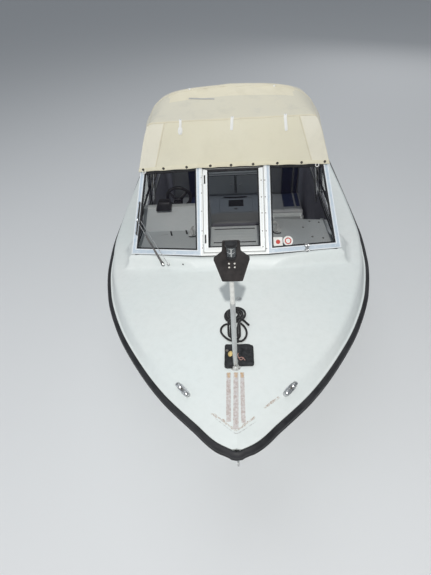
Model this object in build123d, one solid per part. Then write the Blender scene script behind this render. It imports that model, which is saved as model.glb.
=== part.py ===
from build123d import *
import os
import math

os.makedirs("parts", exist_ok=True)

# Small open cabin boat with a raked three-panel windscreen, a canvas hood and an outboard motor.
# Millimetres.  +Z up from the waterline, bow towards -Y, port side at +X.
# s is the distance aft of the foremost point of the rail; y = s - HALF_LENGTH.

# ---------------------------------------------------------------- driving dimensions
LENGTH = 5500.0          # rail tip to transom
HALF_LENGTH = LENGTH / 2
RAIL_W, RAIL_H = 35.0, 66.0      # rubber rub rail, outside the white flange
FLANGE_T = 8.0                   # deck flange on top of the hull's edge
SOLE_Z = 100.0                   # cockpit sole above the waterline
SOLE_T = 18.0
COCKPIT_FRONT, COCKPIT_REAR = 2040.0, 4750.0
COCKPIT_HALF = 800.0
OPEN_FRONT = 1500.0              # forward edge of the deck opening, under the windscreen
OPEN_HALF = 770.0
WELL_FRONT, WELL_REAR, WELL_HALF, WELL_Z = 4850.0, 5440.0, 430.0, 170.0
TRANSOM_TOP, TRANSOM_CUT_HALF = 240.0, 330.0
BULKHEAD_T = 24.0

# windscreen: outer corners of the raked panes (x, s, z)
SCREEN_BASE_MID = (248.0, 1421.0, 1062.0)
SCREEN_TOP_MID = (248.0, 1946.0, 1554.6)
SCREEN_BASE_OUT = (803.0, 1517.0, 1028.0)
SCREEN_TOP_OUT_X, SCREEN_TOP_OUT_Z = 724.5, 1509.0
MID_POST = 231.0                 # half-width of the hinged pane's opening
SCREEN_T = 28.0
GLASS_T = 6.0

MAST = (-2.0, 494.0)            # x, s of the light mast
MAST_R = 16.0
MAST_H = 700.0
MAST_BASE_Z = 953.0

WHEEL_C = (-494.0, 2250.0, 1097.0)
WHEEL_R, WHEEL_TUBE = 107.0, 12.0
WHEEL_DISH = 54.0                # hub ahead of the rim
WHEEL_TILT = 10.0                # degrees, shaft above level

TILT_AXIS = (5546.0, 300.0)      # s, z of the outboard's tilt tube
STEER_S = 5622.0                 # s of the steering pin
PROP_S, PROP_Z, PROP_R = 5905.0, -455.0, 150.0

# ---------------------------------------------------------------- curves of the hull and deck
# half-breadth of the rail's inner edge: s, half-breadth
RAIL = [(0, 0), (52, 101), (156, 213), (364, 424), (624, 623), (936, 813), (1300, 966), (1716, 1062),
        (2184, 1103), (2704, 1106), (3328, 1102), (4160, 1087), (4992, 1056), (5500, 1030)]
# half-breadth of the raised deck's edge: s, half-breadth
KNUCKLE = [(116, 2), (239, 176), (478, 419), (790, 667), (1154, 851), (1570, 988), (1986, 1047),
           (2506, 1056), (3130, 1044), (3848, 1030), (4784, 1005), (5500, 985)]
# height of the deck's centreline: s, z
# sections shared by the hull, the deck and the rail, so that their faces meet
STATIONS = [14, 40, 80, 116, 156, 239, 364, 478, 624, 790, 936, 1154, 1300, 1570, 1716, 1986, 2184, 2506, 2704, 3130, 3328,
            3848, 4160, 4784, 5500]
CROWN = [(0, 908), (116, 927), (250, 936), (490, 952), (800, 975), (1100, 992), (1320, 1001), (1700, 1004), (5500, 1000)]


def at(table, s, col=1):
    """smooth monotone curve through one column of a table"""
    xs, ys = [float(r[0]) for r in table], [float(r[col]) for r in table]
    n = len(xs)
    if s <= xs[0]:
        return ys[0]
    if s >= xs[-1]:
        return ys[-1]
    h = [xs[i + 1] - xs[i] for i in range(n - 1)]
    d = [(ys[i + 1] - ys[i]) / h[i] for i in range(n - 1)]
    m = [d[0]] + [0.0] * (n - 2) + [d[-1]]
    for i in range(1, n - 1):
        if d[i - 1] * d[i] > 0:
            w1, w2 = 2 * h[i] + h[i - 1], h[i] + 2 * h[i - 1]
            m[i] = (w1 + w2) / (w1 / d[i - 1] + w2 / d[i])
    i = max(k for k in range(n - 1) if xs[k] <= s)
    t = (s - xs[i]) / h[i]
    return ((1 + 2 * t) * (1 - t) ** 2 * ys[i] + t * (1 - t) ** 2 * h[i] * m[i]
            + t * t * (3 - 2 * t) * ys[i + 1] + t * t * (t - 1) * h[i] * m[i + 1])


def rail_z(s):
    return 749 + 156 * max(0.0, 1 - s / 2912.0) ** 2


def knuckle_z(s):
    return rail_z(s) + 31 + 114 * (1 - math.exp(-(max(s, 0) / 1248.0) ** 1.5))


def deck_z(x, s):
    k = max(at(KNUCKLE, s), 1.0)
    return knuckle_z(s) + (at(CROWN, s) - knuckle_z(s)) * max(0.0, 1 - (x / k) ** 2)


def pt(x, s, z):
    return (x, s - HALF_LENGTH, z)


def section(points, s):
    """closed face of (x, z) points, mirrored to both sides, at station s"""
    right = [pt(x, s, z) for x, z in points]
    left = [pt(-x, s, z) for x, z in reversed(points) if abs(x) > 1e-6]
    ring = right + left
    return Face(Wire.make_polygon([Vector(*p) for p in ring], close=True))


def ruled(sections):
    return loft(sections, ruled=True)


def block(x0, x1, s0, s1, z0, z1):
    return Pos((x0 + x1) / 2, (s0 + s1) / 2 - HALF_LENGTH, (z0 + z1) / 2) * Box(x1 - x0, s1 - s0, z1 - z0)


def rounded_block(x0, x1, s0, s1, z0, z1, r, axis=Axis.Z):
    b = block(x0, x1, s0, s1, z0, z1)
    return fillet(b.edges().filter_by(axis), r)


def rod(p, q, r):
    p, q = Vector(*p), Vector(*q)
    d = q - p
    pl = Plane(origin=p, z_dir=d)
    return extrude(pl * Circle(r), d.length)


def save(node, shape):
    solids = shape.solids() if hasattr(shape, "solids") else [shape]
    out = solids[0] if len(solids) == 1 else Compound(children=list(solids))
    export_step(out, f"parts/{node}.step")
    print(node, len(solids), round(sum(x.volume for x in solids) / 1e9, 5))


# ---------------------------------------------------------------- hull
# s, chine half-breadth, chine z, keel z
HULL = [(14, 4, 868, 858), (52, 14, 800, 775), (156, 35, 625, 520), (364, 130, 480, 210), (624, 262, 368, -15), (936, 470, 262, -177),
        (1300, 640, 175, -240), (1716, 790, 100, -285), (2184, 860, 55, -305), (3328, 912, 5, -312), (4160, 915, -5, -310), (5500, 905, -20, -290)]


def hull_face(s, c, zc, zk):
    b, zt = at(RAIL, s), rail_z(s) - FLANGE_T
    mx, mz = c + (b - c) * 0.60, zc + (zt - zc) * 0.50
    return section([(b, zt), (mx, mz), (c, zc), (0, zk)], s)


hull = ruled([hull_face(s, at(HULL, s, 1), at(HULL, s, 2), at(HULL, s, 3)) for s in STATIONS])

# hollow of the cuddy below the foredeck: s, half-width at the bottom, z of the bottom, half-width at the top
CUDDY = [(700, 130, 420, 520), (1100, 420, 300, 760), (1500, 590, 190, 850), (2042, 700, 100, 850)]
cuddy_void = ruled([section([(wt, 1100), (wt, rail_z(s) - 60), (wb, zb)], s) for s, wb, zb, wt in CUDDY])
cockpit_void = block(-COCKPIT_HALF, COCKPIT_HALF, COCKPIT_FRONT, COCKPIT_REAR, SOLE_Z - SOLE_T, 1300)
well_void = (block(-WELL_HALF, WELL_HALF, WELL_FRONT, WELL_REAR, WELL_Z, 1300)
             + block(-TRANSOM_CUT_HALF, TRANSOM_CUT_HALF, WELL_REAR - 1, LENGTH + 60, TRANSOM_TOP, 1300))
hull = hull - cuddy_void - cockpit_void - well_void
save("hull", hull)

# cockpit sole with the opening for its hatch
HATCH = (-215.0, 215.0, 3600.0, 3960.0)
sole = block(-COCKPIT_HALF, COCKPIT_HALF, COCKPIT_FRONT, COCKPIT_REAR, SOLE_Z - SOLE_T, SOLE_Z)
sole -= block(HATCH[0] - 6, HATCH[1] + 6, HATCH[2] - 6, HATCH[3] + 6, SOLE_Z - SOLE_T + 6, SOLE_Z + 5)
save("cockpit_sole", sole)
hatch = block(HATCH[0], HATCH[1], HATCH[2], HATCH[3], SOLE_Z - SOLE_T + 6.5, SOLE_Z - 1)
save("sole_hatch", hatch)

# ---------------------------------------------------------------- deck
def deck_face(s):
    b, zr = at(RAIL, s), rail_z(s)
    k, zk = at(KNUCKLE, s), knuckle_z(s)
    if s < 116:                                  # plain flange ahead of the raised deck
        k, zk = b * 0.5, zr + (at(CROWN, s) - zr) * 0.6
    return section([(b, zr - FLANGE_T), (b, zr), (k, zk), (k * 0.72, zk + (at(CROWN, s) - zk) * 0.48),
                    (k * 0.38, zk + (at(CROWN, s) - zk) * 0.86), (0, at(CROWN, s))], s)


deck = ruled([deck_face(s) for s in STATIONS])
under = []
for s in (520, 790, 1154, 1570, 2046):
    k, zk, zc = at(KNUCKLE, s) - 70, knuckle_z(s) - 34, at(CROWN, s) - 24
    under.append(section([(k, 500), (k, zk), (k * 0.72, zk + (zc - zk) * 0.48), (k * 0.38, zk + (zc - zk) * 0.84), (0, zc)], s))
under = ruled(under) & block(-900, 900, 520, COCKPIT_FRONT + 1, 500, 1100)
# the underside opening stays within the cuddy below it
deck -= under
# raised base of the windscreen
plinth_low = [pt(-840, 1460, 925), pt(-250, 1330, 993), pt(250, 1330, 993), pt(840, 1460, 925),
              pt(885, 1640, 900), pt(-885, 1640, 900)]
plinth_top = [pt(-817, 1508, 1028), pt(-256, 1412, 1060), pt(256, 1412, 1060), pt(817, 1508, 1028),
              pt(835, 1640, 1018), pt(-835, 1640, 1018)]


def prism(low, top):
    """closed solid between two rings of equal length, with triangulated walls"""
    n = len(low)
    faces = []

    def tri(a, b, c):
        faces.append(Face(Wire.make_polygon([Vector(*a), Vector(*b), Vector(*c)], close=True)))
    for i in range(n):
        j = (i + 1) % n
        tri(low[i], low[j], top[j])
        tri(low[i], top[j], top[i])
    cl = tuple(sum(p[k] for p in low) / n for k in range(3))
    ct = tuple(sum(p[k] for p in top) / n for k in range(3))
    for i in range(n):
        j = (i + 1) % n
        tri(low[i], cl, low[j])
        tri(top[i], top[j], ct)
    return Solid(Shell(faces))


plinth = prism([(x, y, 860.0) for x, y, z in plinth_low], plinth_top)
deck = deck + plinth
deck -= block(-OPEN_HALF, OPEN_HALF, OPEN_FRONT, COCKPIT_FRONT + 1, 600, 1300)
deck -= block(-COCKPIT_HALF, COCKPIT_HALF, COCKPIT_FRONT, COCKPIT_REAR, 600, 1300)
deck -= block(-WELL_HALF, WELL_HALF, WELL_FRONT, WELL_REAR, 600, 1300)
deck -= block(-TRANSOM_CUT_HALF, TRANSOM_CUT_HALF, WELL_REAR - 1, LENGTH + 60, 600, 1300)
deck -= cuddy_void & block(-900, 900, 500, COCKPIT_FRONT + 1, 500, 800)
save("deck", deck)

# ---------------------------------------------------------------- rub rail
def side_rail(sign):
    secs = []
    for s in STATIONS:
        b, z = at(RAIL, s) + 0.6, rail_z(s)
        ring = [pt(sign * b, s, z), pt(sign * (b + RAIL_W), s, z - 14), pt(sign * (b + RAIL_W), s, z - RAIL_H + 14),
                pt(sign * b, s, z - RAIL_H)]
        secs.append(Face(Wire.make_polygon([Vector(*p) for p in ring], close=True)))
    return ruled(secs)


b0, b1 = at(RAIL, 14), at(RAIL, 22)
nose = [(-b1 - 31, 22), (-b0 - 30, 4), (-20, -28), (20, -28), (b0 + 30, 4), (b1 + 31, 22), (b1 + 3, 22), (b0 + 0.6, 13.5), (-b0 - 0.6, 13.5), (-b1 - 3, 22)]
z0 = rail_z(22)
nose_face = Face(Wire.make_polygon([Vector(*pt(x, s, z0 - RAIL_H + 6)) for x, s in nose], close=True))
rub = side_rail(1) + extrude(nose_face, RAIL_H - 8, dir=(0, 0, 1)) + side_rail(-1)
save("rub_rail", rub)

# ---------------------------------------------------------------- cuddy bulkhead and its door
bulk = block(-COCKPIT_HALF + 2, COCKPIT_HALF - 2, COCKPIT_FRONT + 1, COCKPIT_FRONT + 1 + BULKHEAD_T, SOLE_Z + 0.2, 925)
bulk -= block(-200, 200, COCKPIT_FRONT - 5, COCKPIT_FRONT + 60, SOLE_Z + 60, 860)
save("cuddy_bulkhead", bulk)
DOOR_S = COCKPIT_FRONT + 1 + BULKHEAD_T + 6
cdoor = rounded_block(-222, 225, DOOR_S, DOOR_S + 16, SOLE_Z + 40, 885, 20, Axis.Y)
for z in (220.0, 700.0):
    cdoor = cdoor + rod(pt(-236, DOOR_S + 8, z), pt(-236, DOOR_S + 8, z + 70), 6) + block(-236, -216, DOOR_S + 5, DOOR_S + 11, z, z + 70)
save("cuddy_door", cdoor)
hb = None
for z in (220.0, 700.0):
    for dz in (-17.0, 71.0):
        piece = Pos(*pt(-236, DOOR_S + 8, z + dz + 8)) * Cylinder(7, 16) + block(-243, -234, COCKPIT_FRONT + 1 + BULKHEAD_T, DOOR_S + 8, z + dz, z + dz + 16)
        hb = piece if hb is None else hb + piece
save("cuddy_door_hinges", hb)

# ---------------------------------------------------------------- dashboard mouldings behind the windscreen
# port shelf: flat top at z 1000, aft edge at s 2030
port_shelf = block(205, OPEN_HALF - 2, OPEN_FRONT + 2, COCKPIT_FRONT + 26, 925.5, 1000)
port_shelf = port_shelf + block(205, OPEN_HALF - 2, COCKPIT_FRONT + 12, COCKPIT_FRONT + 26, 1000, 1016)
save("dashboard_port", port_shelf)
# helm side: flat front part, then a face rising to the binnacle
prof = [(OPEN_FRONT + 2, 925.5), (OPEN_FRONT + 2, 1000), (1860, 1000), (1985, 1145), (2040, 1150), (2078, 1110), (2066, 925.5)]
helm_face = Face(Wire.make_polygon([Vector(*pt(-OPEN_HALF + 2, s, z)) for s, z in prof], close=True))
helm = extrude(helm_face, OPEN_HALF - 2 - 205, dir=(1, 0, 0))
save("dashboard_helm", helm)
box = rounded_block(-648, -520, 1925, 2020, 1150.5, 1225, 14, Axis.X)
box -= block(-648 - 1, -520 + 1, 1900, 1990, 1140, 1151.0 - 0.5)
# the box stands on the binnacle's flat top and its foot drops to the sloping face
save("instrument_box", box)
# ribbed step between them, seen through the middle pane
step = block(-203, 203, OPEN_FRONT + 2, COCKPIT_FRONT + 26, 925.5, 985)
for i in range(7):
    s = 1560 + i * 62
    step -= block(-170, 170, s, s + 14, 981, 990)
save("companion_step", step)
# ---------------------------------------------------------------- steering
a = math.radians(WHEEL_TILT)
w_dir = Vector(0, math.cos(a), math.sin(a))
wc = Vector(*pt(*WHEEL_C))
col_top = wc - w_dir * (WHEEL_DISH + 34)
col_root = wc - w_dir * 200
column = rod(tuple(col_root), tuple(col_top), 32)
column -= Pos(0, 0, 0) * rod(tuple(col_top - w_dir * 50), tuple(col_top + w_dir * 2), 12.05)
cut = Solid.extrude(Face(Wire.make_polygon([Vector(*pt(-900, s, z)) for s, z in
                                            [(1400, 900), (1400, 1300), (2042, 1150.5), (2078.6, 1110), (2066.6, 900)]], close=True)), Vector(1200, 0, 0))
column = column - cut
save("steering_column", column)
wp = Plane(origin=wc, x_dir=(1, 0, 0), z_dir=w_dir)
wheel = wp * Torus(WHEEL_R, WHEEL_TUBE)
wheel = wheel + wp * (Pos(0, 0, -WHEEL_DISH - 4) * Cylinder(32, 30))
for ang in (42, 138, 270):
    ca, sa = math.cos(math.radians(ang)), math.sin(math.radians(ang))
    inner_p = wp.from_local_coords((24 * ca, 24 * sa, -WHEEL_DISH))
    outer_p = wp.from_local_coords(((WHEEL_R - 3) * ca, (WHEEL_R - 3) * sa, -2))
    wheel = wheel + rod(tuple(inner_p), tuple(outer_p), 8.5)
wheel = wheel + rod(tuple(wc - w_dir * (WHEEL_DISH + 78)), tuple(wc - w_dir * (WHEEL_DISH + 5)), 12.0)
save("steering_wheel", wheel)
# engine control lever on the cockpit side beside the helm
thr = rounded_block(-799.5, -742, 2330, 2450, 700, 810, 18, Axis.X)
thr = thr + rod(pt(-745, 2390, 765), pt(-712, 2390, 765), 17) + rod(pt(-722, 2390, 765), pt(-722, 2360, 930), 8)
thr = thr + rounded_block(-734, -676, 2344, 2370, 925, 950, 8, Axis.X)
save("throttle_control", thr)

# ---------------------------------------------------------------- windscreen
def v(t):
    return Vector(*pt(*t))


def plane_s(p0, p1, p2, x, z):
    """s of the point (x, z) on the plane through three (x, s, z) points"""
    a1 = [p1[i] - p0[i] for i in range(3)]
    a2 = [p2[i] - p0[i] for i in range(3)]
    n = (a1[1] * a2[2] - a1[2] * a2[1], a1[2] * a2[0] - a1[0] * a2[2], a1[0] * a2[1] - a1[1] * a2[0])
    return p0[1] - (n[0] * (x - p0[0]) + n[2] * (z - p0[2])) / n[1]


TOP_OUT = (SCREEN_TOP_OUT_X, plane_s(SCREEN_BASE_OUT, SCREEN_BASE_MID, SCREEN_TOP_MID, SCREEN_TOP_OUT_X, SCREEN_TOP_OUT_Z), SCREEN_TOP_OUT_Z)
print("screen top outer s", round(TOP_OUT[1], 1))


def mirror_x(t, sign):
    return (sign * t[0], t[1], t[2])


def inset(poly, d):
    """inset a convex 2-D polygon (counter-clockwise) by d[i] on the edge i -> i+1"""
    n = len(poly)
    lines = []
    for i in range(n):
        (x0, y0), (x1, y1) = poly[i], poly[(i + 1) % n]
        l = math.hypot(x1 - x0, y1 - y0)
        nx, ny = -(y1 - y0) / l, (x1 - x0) / l
        lines.append((nx, ny, nx * x0 + ny * y0 + d[i]))
    out = []
    for i in range(n):
        a1, b1, c1 = lines[i - 1]
        a2, b2, c2 = lines[i]
        det = a1 * b2 - a2 * b1
        out.append(((c1 * b2 - c2 * b1) / det, (a1 * c2 - a2 * c1) / det))
    return out


def pane(corners, margins, thick, glass, lift=0.0):
    """frame of one flat pane and its glass.  corners: base first, counter-clockwise seen from outside.
    margins: frame width on each edge.  The plane's normal points outside; the frame lies behind it."""
    o = v(corners[0])
    xd = (v(corners[1]) - o).normalized()
    yd = v(corners[-1]) - o
    yd = (yd - xd * yd.dot(xd)).normalized()
    n = xd.cross(yd)
    pl = Plane(origin=o + n * lift, x_dir=xd, z_dir=n)
    poly = [((v(c) - o).dot(xd), (v(c) - o).dot(yd)) for c in corners]
    inner = inset(poly, margins)
    outer_f = pl * Pos(0, 0, 0) * make_face(Polyline([(x, y, 0) for x, y in poly], close=True))
    inner_f = pl * make_face(Polyline([(x, y, 0) for x, y in inner], close=True))
    frame = extrude(outer_f, -thick) - extrude(inner_f, -thick * 3, both=True)
    rim = inset(poly, [m - 8 for m in margins])
    mid = -thick / 2
    slot_f = Plane(origin=o + n * (lift + mid - glass / 2), x_dir=xd, z_dir=n) * make_face(Polyline([(x, y, 0) for x, y in rim], close=True))
    pane_solid = extrude(slot_f, glass)
    frame = frame - pane_solid
    return frame, pane_solid, pl


frames, panes = [], {}
for sign in (1, -1):
    bo, bm, tm, to = (mirror_x(t, sign) for t in (SCREEN_BASE_OUT, SCREEN_BASE_MID, SCREEN_TOP_MID, TOP_OUT))
    ring = [bm, bo, to, tm] if sign > 0 else [bo, bm, tm, to]
    marg = [44, 38, 40, 32] if sign > 0 else [44, 32, 40, 38]
    fr, gl, _ = pane(ring, marg, SCREEN_T, GLASS_T)
    frames.append(fr)
    panes["port" if sign > 0 else "starboard"] = gl
# middle: sill and header between the two side frames
M0, M1 = SCREEN_BASE_MID, SCREEN_TOP_MID
mid_ring = [mirror_x(M0, -1), M0, M1, mirror_x(M1, -1)]
mid_len = math.hypot(M1[1] - M0[1], M1[2] - M0[2])
up = Vector(0, M1[1] - M0[1], M1[2] - M0[2]).normalized()
nrm = Vector(1, 0, 0).cross(up)
mp = Plane(origin=v((0, M0[1], M0[2])), x_dir=(1, 0, 0), z_dir=nrm)


def mid_bar(x0, x1, h0, h1, t0, t1):
    return mp * Pos((x0 + x1) / 2, (h0 + h1) / 2, (t0 + t1) / 2) * Box(x1 - x0, h1 - h0, t1 - t0)


MID_SILL, MID_HEAD = 20.0, 52.0
frames.append(mid_bar(-M0[0], M0[0], 0, mid_len, -SCREEN_T, 0) - mid_bar(-MID_POST, MID_POST, MID_SILL, mid_len - MID_HEAD, -90, 90))

# side windows on the coaming
SIDE_BASE_REAR = (806.0, 2450.0, 958.0)
SIDE_TOP_REAR = (722.0, 2280.0, 1488.0)
side_glass = []
for sign in (1, -1):
    bo = (sign * (SCREEN_BASE_OUT[0] - 4), SCREEN_BASE_OUT[1] + 24, SCREEN_BASE_OUT[2] - 2)
    to = (sign * (TOP_OUT[0] - 4), TOP_OUT[1] + 24, TOP_OUT[2] - 2)
    br, tr = mirror_x(SIDE_BASE_REAR, sign), mirror_x(SIDE_TOP_REAR, sign)
    tr = (tr[0], tr[1], tr[2])
    # put the rear top corner on the plane of the other three
    n1 = [bo, br, to]
    # solve x on the plane for the given s and z
    a1 = [n1[1][i] - n1[0][i] for i in range(3)]
    a2 = [n1[2][i] - n1[0][i] for i in range(3)]
    nn = (a1[1] * a2[2] - a1[2] * a2[1], a1[2] * a2[0] - a1[0] * a2[2], a1[0] * a2[1] - a1[1] * a2[0])
    xr = n1[0][0] - (nn[1] * (tr[1] - n1[0][1]) + nn[2] * (tr[2] - n1[0][2])) / nn[0]
    tr = (xr, tr[1], tr[2])
    ring = [bo, br, tr, to] if sign > 0 else [br, bo, to, tr]
    marg = [30, 26, 24, 24] if sign > 0 else [30, 24, 24, 26]
    fr, gl, _ = pane(ring, marg, 22.0, GLASS_T)
    frames.append(fr)
    side_glass.append(gl)
screen = frames[0]
for fr in frames[1:]:
    screen = screen + fr
for gl in list(panes.values()) + side_glass:
    screen = screen - gl
# trim the feet to the deck's surface
trim = deck + port_shelf + helm + step
screen = screen - trim
save("windscreen_frame", screen)
save("windscreen_glass_port", panes["port"] - trim)
save("windscreen_glass_starboard", panes["starboard"] - trim)
save("side_glass", Compound(children=[g for gl in side_glass for g in (gl - trim).solids()]))

# hinged middle pane: 5.5 mm clear of the posts, sill and header
GAP = 5.5
dx, dh0, dh1 = MID_POST - GAP, MID_SILL + GAP, mid_len - MID_HEAD - GAP
door = mid_bar(-dx, dx, dh0, dh1, -SCREEN_T + 4, 2) - mid_bar(-dx + 32, dx - 32, dh0 + 36, dh1 - 9, -60, 40)
dglass = mid_bar(-dx + 24, dx - 24, dh0 + 28, dh1 - 4, -14, -8)
door = door - dglass
HX, HT = -MID_POST, 9.0                       # hinge line: x and height over the outer face
for h in (97.0, 553.0):
    door = door + (mp * Pos(HX, h + 30, HT) * Rot(-90, 0, 0) * Cylinder(5, 56)) + mid_bar(HX, -dx + 10, h + 4, h + 56, 2, 8)
save("centre_screen_frame", door)
save("centre_screen_glass", dglass)
lugs = None
for h in (97.0, 553.0):
    for hh in (h - 12.0, h + 59.0):
        lug = mp * Pos(HX - 4, hh + 6, 6.5) * Box(15, 12, 13)
        lugs = lug if lugs is None else lugs + lug
save("centre_screen_hinges", lugs)
hp = v((HX, M0[1], M0[2])) + nrm * HT
print("centre screen hinge point", [round(c / 1000, 5) for c in hp], "axis", [round(c, 5) for c in up])

# ---------------------------------------------------------------- canvas hood
CLOTH = 6.0
# station: s at the bottom, s at the top, z bottom, half-width bottom, shoulder x, z, top corner x, z, crown z
HOOD = [(1985, 2012, 1502, 734, 624, 1812, 588, 1841, 1843),
        (2330, 2330, 1502, 742, 657, 1780, 500, 1942, 1992),
        (2490, 2490, 970, 822, 668, 1752, 508, 1908, 1946),
        (3050, 3050, 970, 822, 690, 1610, 528, 1752, 1786)]


def hood_face(row, t=CLOTH):
    s0, s1, zb, xb, xs, zs, xt, zt, zc = row
    ztop = zc

    def q(x, z):
        s = s0 + (s1 - s0) * (z - zb) / (1841 - 1502) if s1 != s0 else s0
        return Vector(*pt(x, s, z))

    def ring(d):
        mx, mz = (xs - d + xt - d * 0.6) / 2 + 0.29 * (xs - xt) * 0.7, (zs + zt - d) / 2 + 0.29 * (zt - zs) * 0.7
        return [(xb - d, zb), (xs - d, zs), (mx, mz), (xt - d * 0.5, zt - d), (0, zc - d)]
    o, i = ring(0), ring(t)
    e = []
    e.append(Line(q(*o[0]), q(*o[1])))
    e.append(ThreePointArc(q(*o[1]), q(*o[2]), q(*o[3])))
    e.append(ThreePointArc(q(*o[3]), q(*o[4]), q(-o[3][0], o[3][1])))
    e.append(ThreePointArc(q(-o[3][0], o[3][1]), q(-o[2][0], o[2][1]), q(-o[1][0], o[1][1])))
    e.append(Line(q(-o[1][0], o[1][1]), q(-o[0][0], o[0][1])))
    e.append(Line(q(-o[0][0], o[0][1]), q(-i[0][0], i[0][1])))
    e.append(Line(q(-i[0][0], i[0][1]), q(-i[1][0], i[1][1])))
    e.append(ThreePointArc(q(-i[1][0], i[1][1]), q(-i[2][0], i[2][1]), q(-i[3][0], i[3][1])))
    e.append(ThreePointArc(q(-i[3][0], i[3][1]), q(0, i[4][1]), q(*i[3])))
    e.append(ThreePointArc(q(*i[3]), q(*i[2]), q(*i[1])))
    e.append(Line(q(*i[1]), q(*i[0])))
    e.append(Line(q(*i[0]), q(*o[0])))
    return Face(Wire(e))


hood = ruled([hood_face(row) for row in HOOD])
# front panel: hem over the windscreen's top rail, then up to the seam
def shell_between(front_rows, back_rows):
    """closed solid between two grids of points of the same shape, walls triangulated"""
    faces = []

    def tri(p, q, r):
        faces.append(Face(Wire.make_polygon([Vector(*p), Vector(*q), Vector(*r)], close=True)))

    def quad(p, q, r, w):
        tri(p, q, r)
        tri(p, r, w)
    m, n = len(front_rows), len(front_rows[0])
    for i in range(m - 1):
        for j in range(n - 1):
            quad(front_rows[i][j], front_rows[i][j + 1], front_rows[i + 1][j + 1], front_rows[i + 1][j])
            quad(back_rows[i][j], back_rows[i + 1][j], back_rows[i + 1][j + 1], back_rows[i][j + 1])
    for j in range(n - 1):
        quad(front_rows[0][j], back_rows[0][j], back_rows[0][j + 1], front_rows[0][j + 1])
        quad(front_rows[-1][j], front_rows[-1][j + 1], back_rows[-1][j + 1], back_rows[-1][j])
    for i in range(m - 1):
        quad(front_rows[i][0], front_rows[i + 1][0], back_rows[i + 1][0], back_rows[i][0])
        quad(front_rows[i][-1], back_rows[i][-1], back_rows[i + 1][-1], front_rows[i + 1][-1])
    return Solid(Shell(faces))


rake = (SCREEN_TOP_MID[1] - SCREEN_BASE_MID[1], SCREEN_TOP_MID[2] - SCREEN_BASE_MID[2])
rl = math.hypot(*rake)
ur, nr = (rake[0] / rl, rake[1] / rl), (-rake[1] / rl, rake[0] / rl)      # up the rake, and outwards, as (s, z)


def on_rail(x, s, z, along, out):
    return pt(x, s + ur[0] * along + nr[0] * out, z + ur[1] * along + nr[1] * out)


tm, to = SCREEN_TOP_MID, TOP_OUT
rows = []
for off in (9.0, 4.0):                        # front face, then back face
    r = []
    for along, out_x in ((-50.0, 14.0), (6.0, 8.0)):
        r.append([on_rail(-to[0] - out_x, to[1], to[2], min(along + 8, 6), off), on_rail(-tm[0], tm[1], tm[2], along, off),
                  on_rail(tm[0], tm[1], tm[2], along, off), on_rail(to[0] + out_x, to[1], to[2], min(along + 8, 6), off)])
    back = 0.0 if off == 9.0 else CLOTH
    r.append([pt(-606, 2010 + back, 1826), pt(-240, 2010 + back, 1843), pt(240, 2010 + back, 1843), pt(606, 2010 + back, 1826)])
    rows.append(r)
front = shell_between(rows[0], rows[1])
hood = hood + front
hood_full = hood
save("canopy", hood)

hoops = []
for row in (HOOD[1], (3040, 3040, 970, 822, 690, 1612, 528, 1754, 1788)):
    s0 = row[0] - (0 if row[0] > 3000 else 0)
    xs, zs, xt, zt, zc = row[4], row[5], row[6], row[7], row[8]
    d = 22
    path = FilletPolyline([pt(-748, s0, 952), pt(-xs + d, s0, zs - 10), pt(-xt + d * 0.6, s0, zt - d), pt(0, s0, zc - d - 6),
                           pt(xt - d * 0.6, s0, zt - d), pt(xs - d, s0, zs - 10), pt(748, s0, 952)], radius=110)
    prof = Plane(origin=path @ 0, z_dir=path % 0) * Circle(11)
    hoops.append(sweep(prof, path=path))
save("canopy_hoops", Compound(children=[s for h in hoops for s in (h - hood_full - deck).solids()]))

# ---------------------------------------------------------------- seats
seat_parts = {}
for name, sign in (("helm", -1), ("passenger", 1)):
    x0, x1 = sorted((sign * 300, sign * 770))
    base = block(x0 + 20, x1 - 10, 2960, 3400, SOLE_Z + 0.2, 400)
    base -= block(x0 + 60, x1 - 50, 3000, 3360, SOLE_Z - 5, 360)
    save(f"{name}_seat_base", base)
    cush = rounded_block(x0, x1, 2930, 3390, 400.5, 490, 30, Axis.Z)
    back = Pos(0, 0, 0) * rounded_block(x0, x1, 3392, 3480, 400.5, 1010, 30, Axis.Y)
    save(f"{name}_seat_cushion", cush)
    save(f"{name}_seat_back", back)
# aft bench with two locker doors
bench = block(-COCKPIT_HALF + 1, COCKPIT_HALF - 1, 4060, COCKPIT_REAR - 1, SOLE_Z + 0.2, 430)
bench -= block(-COCKPIT_HALF + 60, COCKPIT_HALF - 60, 4050, COCKPIT_REAR - 60, SOLE_Z + 45, 395)
bench += block(-22, 22, 4060, 4090, SOLE_Z + 45, 395)
save("aft_bench", bench)
for name, sign in (("port", 1), ("starboard", -1)):
    x0, x1 = sorted((sign * 6, sign * 415))
    d = block(x0, x1, 4038, 4054, SOLE_Z + 34, 408)
    hx = sign * 428
    for z in (170.0, 330.0):
        d = d + rod(pt(hx, 4046, z), pt(hx, 4046, z + 40), 5) + block(min(hx, sign * 410), max(hx, sign * 410), 4043, 4049, z, z + 40)
    save(f"bench_door_{name}", d)
lug = None
for sign in (1, -1):
    for z in (170.0, 330.0):
        for dz in (-13.0, 41.0):
            x0, x1 = sorted((sign * 426, sign * 435))
            b = Pos(*pt(sign * 428, 4046, z + dz + 6)) * Cylinder(7, 12) + block(x0, x1, 4046, 4060, z + dz, z + dz + 12)
            lug = b if lug is None else lug + b
save("bench_door_hinges", lug)
save("bench_cushion", rounded_block(-COCKPIT_HALF + 15, COCKPIT_HALF - 15, 4070, 4600, 430.5, 505, 30, Axis.Z))
save("bench_back", rounded_block(-COCKPIT_HALF + 15, COCKPIT_HALF - 15, 4655, 4742, 430.5, 900, 25, Axis.Y))

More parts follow.
